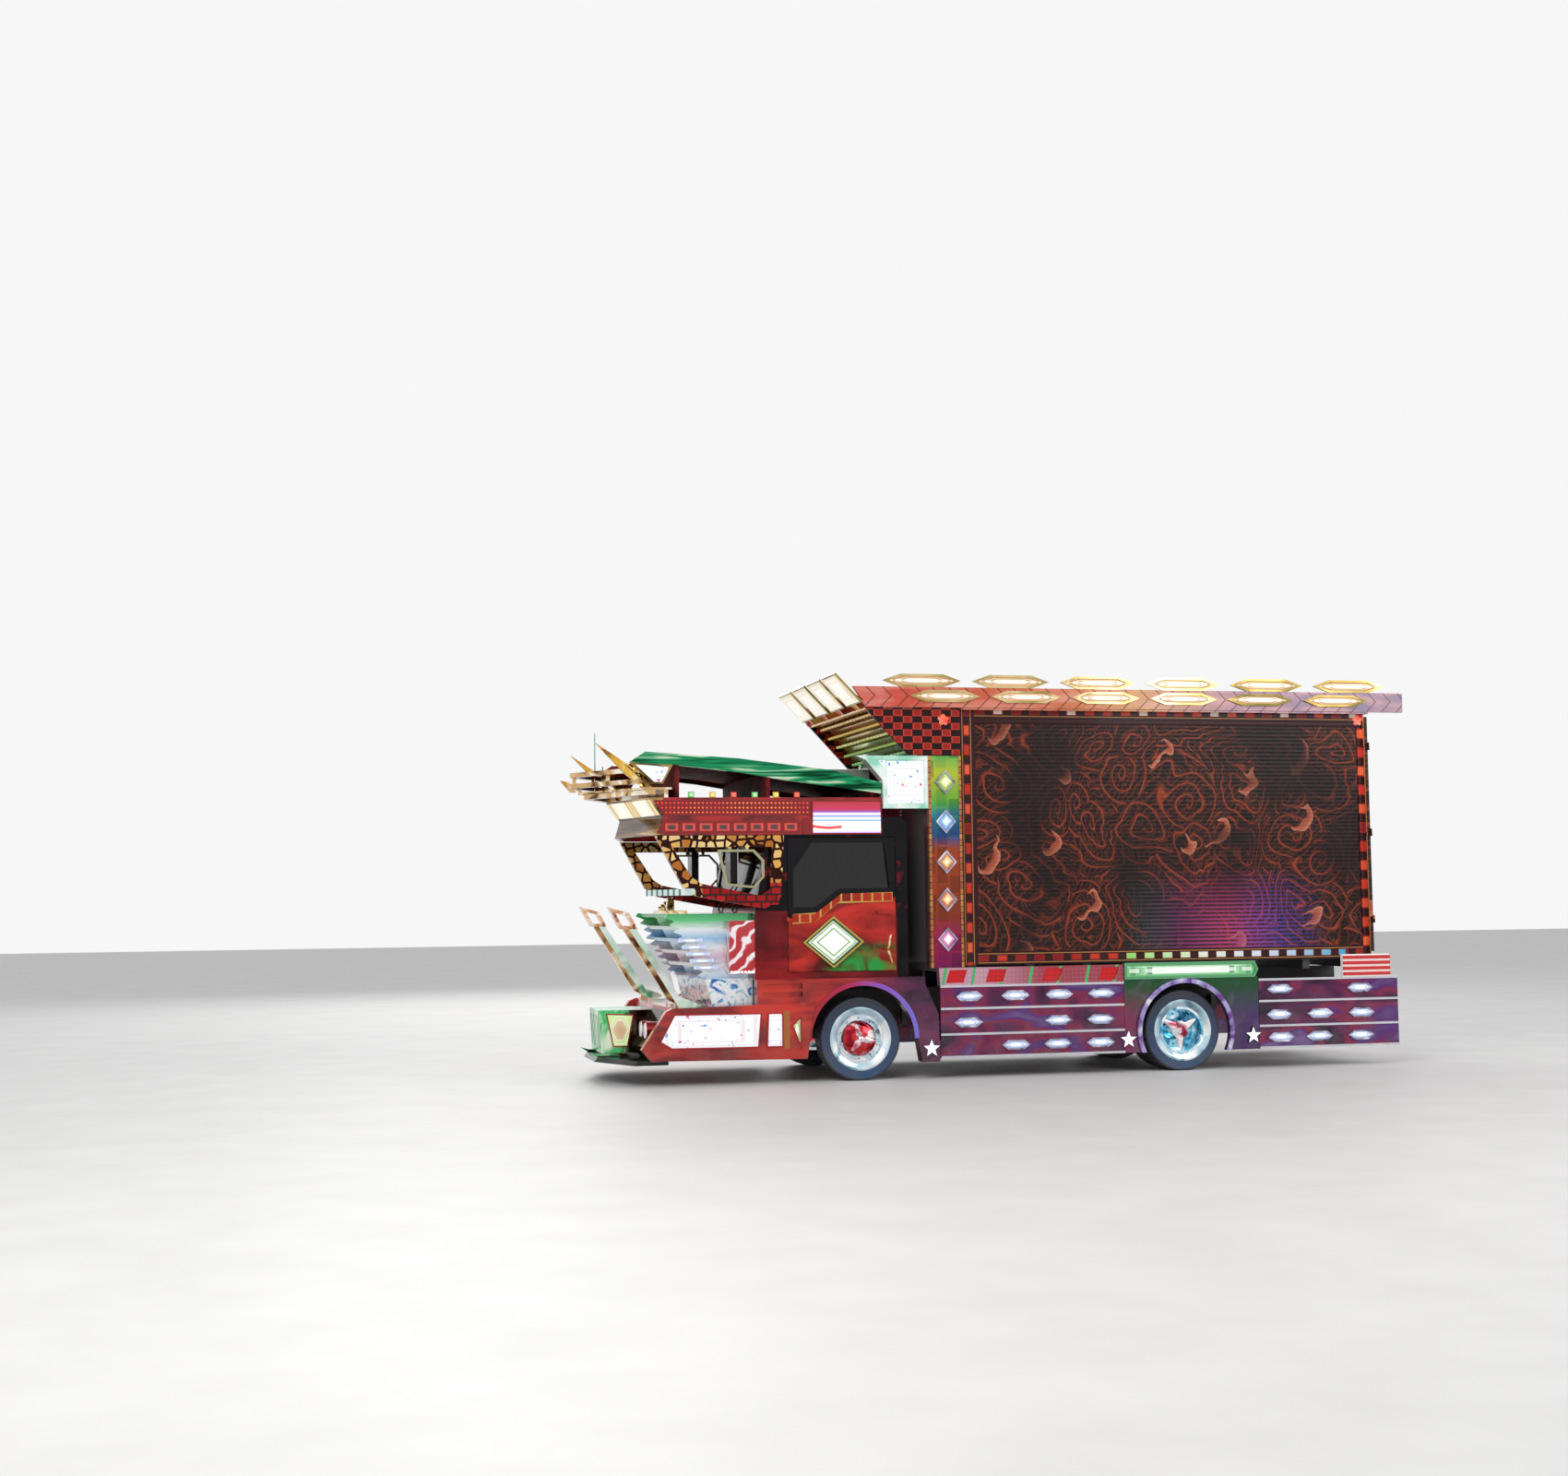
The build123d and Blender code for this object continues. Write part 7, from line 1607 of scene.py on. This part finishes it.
def flower():
    """Five round petals on a disc with a raised eye, pressed from one sheet."""
    bloom = disc(60, 0.06, "TRIFAN")
    for vertex in bloom.data.vertices:
        turn = math.atan2(vertex.co.z, vertex.co.x) - math.pi / 2
        vertex.co *= 0.62 + 0.38 * abs(math.cos(turn * PETALS / 2))
    edit(bloom)
    thicken(bloom, 0.004)
    step_up((0.006, 0.004), (0.012, -0.003))
    tidy_mesh(bloom, 40)
    return bloom


flower_red = lit_plastic("flower_red", 25.0, (0.35, (0.85, 0.04, 0.02)), (0.65, (1.0, 0.16, 0.06)), roughness=0.25,
                         coat=0.6, glow=0.35)
flower_spots = (at(AXLE - 0.87, 1.1395, 3.53), at(AXLE - 5.42, 1.1095, 3.57))
fit(flower(), "flowers", both(*flower_spots), flower_red, "chassis", "lamp_red")

# Gold plate with painted reflection streaks.
door_gold = chrome_with_painted_streaks("door_gold", (0.25, 0.09, 0.02), (0.78, 0.50, 0.16), (0.97, 0.88, 0.62), 8.0)
BRACKET = ([(-0.335, 1.42), (-0.310, 1.40), (-0.285, 1.27), (-0.310, 1.27)],
           [(-0.310, 1.26), (-0.285, 1.26), (-0.335, 1.12), (-0.345, 1.14)])
for label, side in SIDES:
    for k, outline in enumerate(BRACKET):
        edge = copies(lens(outline, steps=((0.004, 0.003), (0.003, 0.001))), "door_bracket_%s_%d" % (label, k),
                      [side @ at(AXLE, 1.0495, 0)])
        give(edge, door_gold, "cab_door_" + label, "gold_chrome")

# ---- Wipers, mirror glass and number plate ----
# Two wiper arms with curved blades parked across the screen's foot, silvered glass in the mirror cases, and a blank
# number plate at the rear, pressed with a raised rim and held by two screws.
SCREEN_FOOT = (AXLE + 1.05, 1.62)


def box_between(points, half):
    """A square bar that follows the points, one face extruded from each to the next."""
    bar = start(bpy.ops.mesh.primitive_plane_add, size=2 * half)
    edit(bar)
    take_all()
    bpy.ops.transform.translate(value=points[0])
    for first, second in zip(points, points[1:]):
        pull(*(Vector(second) - Vector(first)))
    tidy_mesh(bar)
    return bar


rubber_black, tree, sockets = finish("rubber_black", roughness=0.5)
fine = noise(tree, place_of(tree)[0], 90.0, 4.0)
feed(tree, sockets, Base_Color=ramp(tree, fine, (0.3, (0.010, 0.010, 0.011)), (0.7, (0.03, 0.03, 0.032))))
rough_up(tree, sockets, fine, 0.0005, 0.5)


def on_screen(y, z, out):
    return (SCREEN_FOOT[0] - SCREEN_SLOPE * (z - WAIST) + out, y, z)


for k, y in enumerate((-0.62, 0.08)):
    arm = [on_screen(y, 1.640, -0.004), on_screen(y, 1.655, 0.020), on_screen(y + 0.02, 1.70, 0.026),
           on_screen(y + 0.30, 1.84, 0.016)]
    fit(box_between(arm, 0.008), "wiper_arm_%d" % k, [HERE], rubber_black, "chassis", "trim_plastic")
    blade = [on_screen(y + 0.02, 1.755, 0.002), on_screen(y + 0.18, 1.80, 0.009), on_screen(y + 0.42, 1.88, 0.009),
             on_screen(y + 0.56, 1.935, 0.002)]
    fit(box_between(blade, 0.007), "wiper_blade_%d" % k, [HERE], rubber_black, "chassis", "trim_plastic")

mirror_silver, tree, sockets = finish("mirror_silver", metallic=1.0)
dust = noise(tree, place_of(tree)[0], 14.0, 6.0)
feed(tree, sockets, Base_Color=ramp(tree, dust, (0.3, (0.86, 0.88, 0.90)), (0.7, (0.78, 0.80, 0.82))),
     Roughness=span(tree, dust, 0.3, 0.8, 0.02, 0.12))
silvered = lens(rectangle(0.098, 0.165), steps=((0.006, 0.003), (0.006, -0.002)))
fit(silvered, "mirror_glass", [at(AXLE + 1.2205, side * 0.9925, 2.105) @ FACE_REAR for side in (1, -1)],
    mirror_silver, "chassis", "bright_chrome")

plate_blank, tree, sockets = finish("plate_blank", roughness=0.35)
grime = noise(tree, place_of(tree)[0], 8.0, 6.0)
road_film(tree, sockets, ramp(tree, grime, (0.3, (0.74, 0.74, 0.72)), (0.7, (0.86, 0.86, 0.85))), 0.35, 0.6, 0.9)
plate = lens(rectangle(0.165, 0.0825), steps=((0.004, 0.002), (0.006, -0.0025)))
fit(plate, "number_plate_rear", [at(AXLE - 5.6995, 0, 0.53) @ FACE_REAR], plate_blank, "chassis", "tank_alloy")
fit(nut_cap(0.5), "plate_screws", [at(AXLE - 5.7045, y, 0.585) @ FACE_REAR for y in (-0.105, 0.105)], bright_plate,
    "chassis", "bright_chrome")

# ---- Rear door hardware ----
# Hinge straps bolted across each rear door and a drop handle on each lock rod. The straps are pressed stainless
# with a rib down the middle.
STRAP_HEIGHTS = (1.525, 2.425, 3.325)
for label, side in (("left", 1), ("right", -1)):
    strap = lens([(0.19, 0.030), (-0.16, 0.022), (-0.19, 0.0), (-0.16, -0.022), (0.19, -0.030)],
                 steps=((0.008, 0.003), (0.008, 0.002)))
    straps = [at(DOOR_SKIN_X, side * 0.875, z) @ FACE_REAR @ Matrix.Rotation(0 if side > 0 else math.pi, 4, "Y")
              for z in STRAP_HEIGHTS]
    fit(strap, "door_straps_" + label, straps, bright_plate, "rear_door_" + label, "bright_chrome")
    rivets = [at(DOOR_SKIN_X - 0.008, side * y, z) @ FACE_REAR for z in STRAP_HEIGHTS for y in (0.76, 0.87, 0.98)]
    fit(nut_cap(0.7), "strap_bolts_" + label, rivets, bright_plate, "rear_door_" + label, "bright_chrome")
    for name, y in (("inner", 0.150), ("outer", 0.770)):
        lever = [(AXLE - 5.585, side * y, 1.60), (AXLE - 5.590, side * (y + 0.03), 1.585),
                 (AXLE - 5.590, side * (y + 0.16), 1.545), (AXLE - 5.578, side * (y + 0.19), 1.535)]
        fit(box_between(lever, 0.009), "lock_lever_%s_%s" % (name, label), [HERE], bright_plate, "rear_door_" + label,
            "bright_chrome")

# ---- Seats ----
# Two sprung seats on moulded boxes: each has a cushion, a back and a headrest of foam in woven cloth, swelled by
# a cloth simulation from a slightly smaller block, with a pressed seam round each pad's face.
weave_group, given, result = new_group("Woven Cloth", (("Thread", "Float", 260.0),),
                                       (("Color", "Color"), ("Height", "Float")))
where, x, y, z = place_of(weave_group)
warp = sums(weave_group, "SINE", times(weave_group, y, times(weave_group, given["Thread"], 6.0)))
weft = sums(weave_group, "SINE", times(weave_group, plus(weave_group, x, z),
                                       times(weave_group, given["Thread"], 6.0)))
threads = times(weave_group, warp, weft)
stripes = under(weave_group, fraction(weave_group, times(weave_group, y, 22.0)), 0.18)
worn = noise(weave_group, where, 7.0, 6.0)
cloth_tone = ramp(weave_group, worn, (0.3, (0.085, 0.018, 0.022)), (0.7, (0.15, 0.035, 0.042)))
cloth_tone = blend(weave_group, stripes, cloth_tone, (0.03, 0.014, 0.018))
feed(weave_group, result, Color=cloth_tone, Height=threads)
seat_cloth, tree, sockets = finish("seat_cloth", roughness=0.9)
woven = use_group(tree, weave_group)
feed(tree, sockets, Base_Color=woven["Color"])
rough_up(tree, sockets, woven["Height"], 0.0008, 0.7)
seat_mould, tree, sockets = finish("seat_mould", roughness=0.55)
grain = cells(tree, place_of(tree)[0], 380.0)
feed(tree, sockets, Base_Color=ramp(tree, grain, (0.1, (0.035, 0.035, 0.036)), (0.6, (0.055, 0.054, 0.053))))
rough_up(tree, sockets, grain, 0.0006, 0.6)
SWELL_FRAMES = 14
SWELL_LIMIT = 0.016


def pad(name, size, cuts):
    """A foam block of that size with rounded edges, swelled by air pressure as cloth, its points held near
    where they began, and a pressed seam along its face's edge."""
    block = start(bpy.ops.mesh.primitive_cube_add, size=1)
    block.name = name
    block.data.transform(Matrix.Diagonal((size[0] - 0.02, size[1] - 0.02, size[2] - 0.02, 1)))
    edit(block)
    take_all()
    bpy.ops.mesh.bevel(offset=0.022, segments=3, affect="EDGES")
    take_all()
    bpy.ops.mesh.subdivide(number_cuts=cuts)
    take_all()
    bpy.ops.mesh.quads_convert_to_tris()
    tidy_mesh(block)
    before = [vertex.co.copy() for vertex in block.data.vertices]
    air = block.modifiers.new("air", "CLOTH")
    air.settings.use_pressure = True
    air.settings.uniform_pressure_force = 4.0
    air.settings.effector_weights.gravity = 0.0
    for step in range(1, SWELL_FRAMES + 1):
        bpy.context.scene.frame_set(step)
    bpy.ops.object.modifier_apply(modifier="air")
    bpy.context.scene.frame_set(1)
    for vertex, origin in zip(block.data.vertices, before):
        shift = vertex.co - origin
        if shift.length > SWELL_LIMIT:
            vertex.co = origin + shift * (SWELL_LIMIT / shift.length)
    seam = size[2] / 2 - 0.035
    for vertex in block.data.vertices:
        if abs(vertex.co.z - seam) < 0.006:
            vertex.co.x *= 0.985
            vertex.co.y *= 0.985
    bpy.ops.object.shade_smooth_by_angle(angle=math.radians(60))
    return block


SEAT_Y = 0.480
seat_sides = (SEAT_Y, -SEAT_Y)
tilt = Matrix.Rotation(math.radians(-4), 4, "Y")
upright = Matrix.Rotation(math.radians(-85), 4, "Y")
# Columns: name, size across the pad's face (X, Y) and thickness, middle X and Z, how it is turned, cuts.
PADS = (("seat_cushions", (0.50, 0.49, 0.13), -0.060, 1.370, tilt, 5),
        ("seat_backs", (0.53, 0.48, 0.12), -0.390, 1.640, upright, 5),
        ("headrests", (0.19, 0.27, 0.085), -0.405, 2.015, upright, 3))
for name, size, middle_x, middle_z, lie, cuts in PADS:
    pads = copies(pad(name, size, cuts), name, [at(AXLE + middle_x, y, middle_z) @ lie for y in seat_sides])
    give(pads, seat_cloth, "chassis", "seat_cloth", "seats")


def seat_base():
    base = start(bpy.ops.mesh.primitive_cube_add, size=1)
    base.data.transform(at(-0.09, 0, 1.175) @ Matrix.Diagonal((0.44, 0.44, 0.27, 1)))
    edit(base)
    pick_faces(base, lambda middle, normal: normal.z > 0.9)
    bpy.ops.transform.resize(value=(1.10, 1.08, 1))
    bpy.ops.mesh.inset(thickness=0.02)
    pull(0, 0, -0.015)
    pick_faces(base, lambda middle, normal: abs(normal.y) > 0.9)
    bpy.ops.mesh.inset(thickness=0.05, use_individual=True)
    bpy.ops.mesh.extrude_faces_move(TRANSFORM_OT_shrink_fatten={"value": -0.012})
    take_all()
    bpy.ops.mesh.bevel(offset=0.006, segments=2, affect="EDGES")
    tidy_mesh(base)
    return base


fit(seat_base(), "seat_bases", [at(AXLE, y, 0) for y in seat_sides], seat_mould, "chassis", "trim_plastic", "seats")
for k, (y, side) in enumerate([(y, side) for y in seat_sides for side in (1, -1)]):
    post = [(AXLE - back, y + side * 0.06, z) for back, z in ((0.392, 1.84), (0.400, 1.90), (0.405, 1.96))]
    fit(box_between(post, 0.006), "headrest_post_%d" % k, [HERE], bright_plate, "chassis", "bright_chrome", "seats")

# ---- Dashboard instruments ----
# Two round dials behind the steering wheel, three knobs beside them, and slatted vents. They are clipped into the
# dashboard's moulding.
dial_face, tree, sockets = finish("dial_face", roughness=0.3, glow=0.25)
y = place_of(tree)[2]
ticks = fraction(tree, times(tree, y, 80.0))
dial_tone = ramp(tree, ticks, (0.0, (0.02, 0.02, 0.025)), (0.72, (0.02, 0.02, 0.025)), (0.80, (0.85, 0.88, 0.80)))
feed(tree, sockets, Base_Color=dial_tone, Emission_Color=dial_tone)
DASH_LEAN = Matrix.Rotation(math.atan2(0.100, 0.120), 4, "Y")
dial_turn = DASH_LEAN.inverted() @ Matrix.Rotation(math.pi / 2, 4, "X")
dial_spots = [at(AXLE + 0.806, -SEAT_Y + side * 0.075, 1.531) @ dial_turn for side in (1, -1)]
dials = copies(round_lens(0.055, 0.008), "dials", dial_spots)
give(dials, dial_face, "chassis", "trim_plastic")
knob_spots = [at(AXLE + 0.7455, -0.10 + 0.09 * k, 1.40) @ FACE_REAR for k in range(3)]
fit(round_lens(0.018, 0.014), "dash_knobs", knob_spots, rubber_black, "chassis", "trim_plastic")
vent = lens(rectangle(0.085, 0.032), steps=((0.006, 0.003), (0.004, -0.004)))
vent_spots = [at(AXLE + 0.7455, y, 1.435) @ FACE_REAR for y in (-0.86, 0.30, 0.86)]
fit(vent, "dash_vents", vent_spots, rubber_black, "chassis", "trim_plastic")
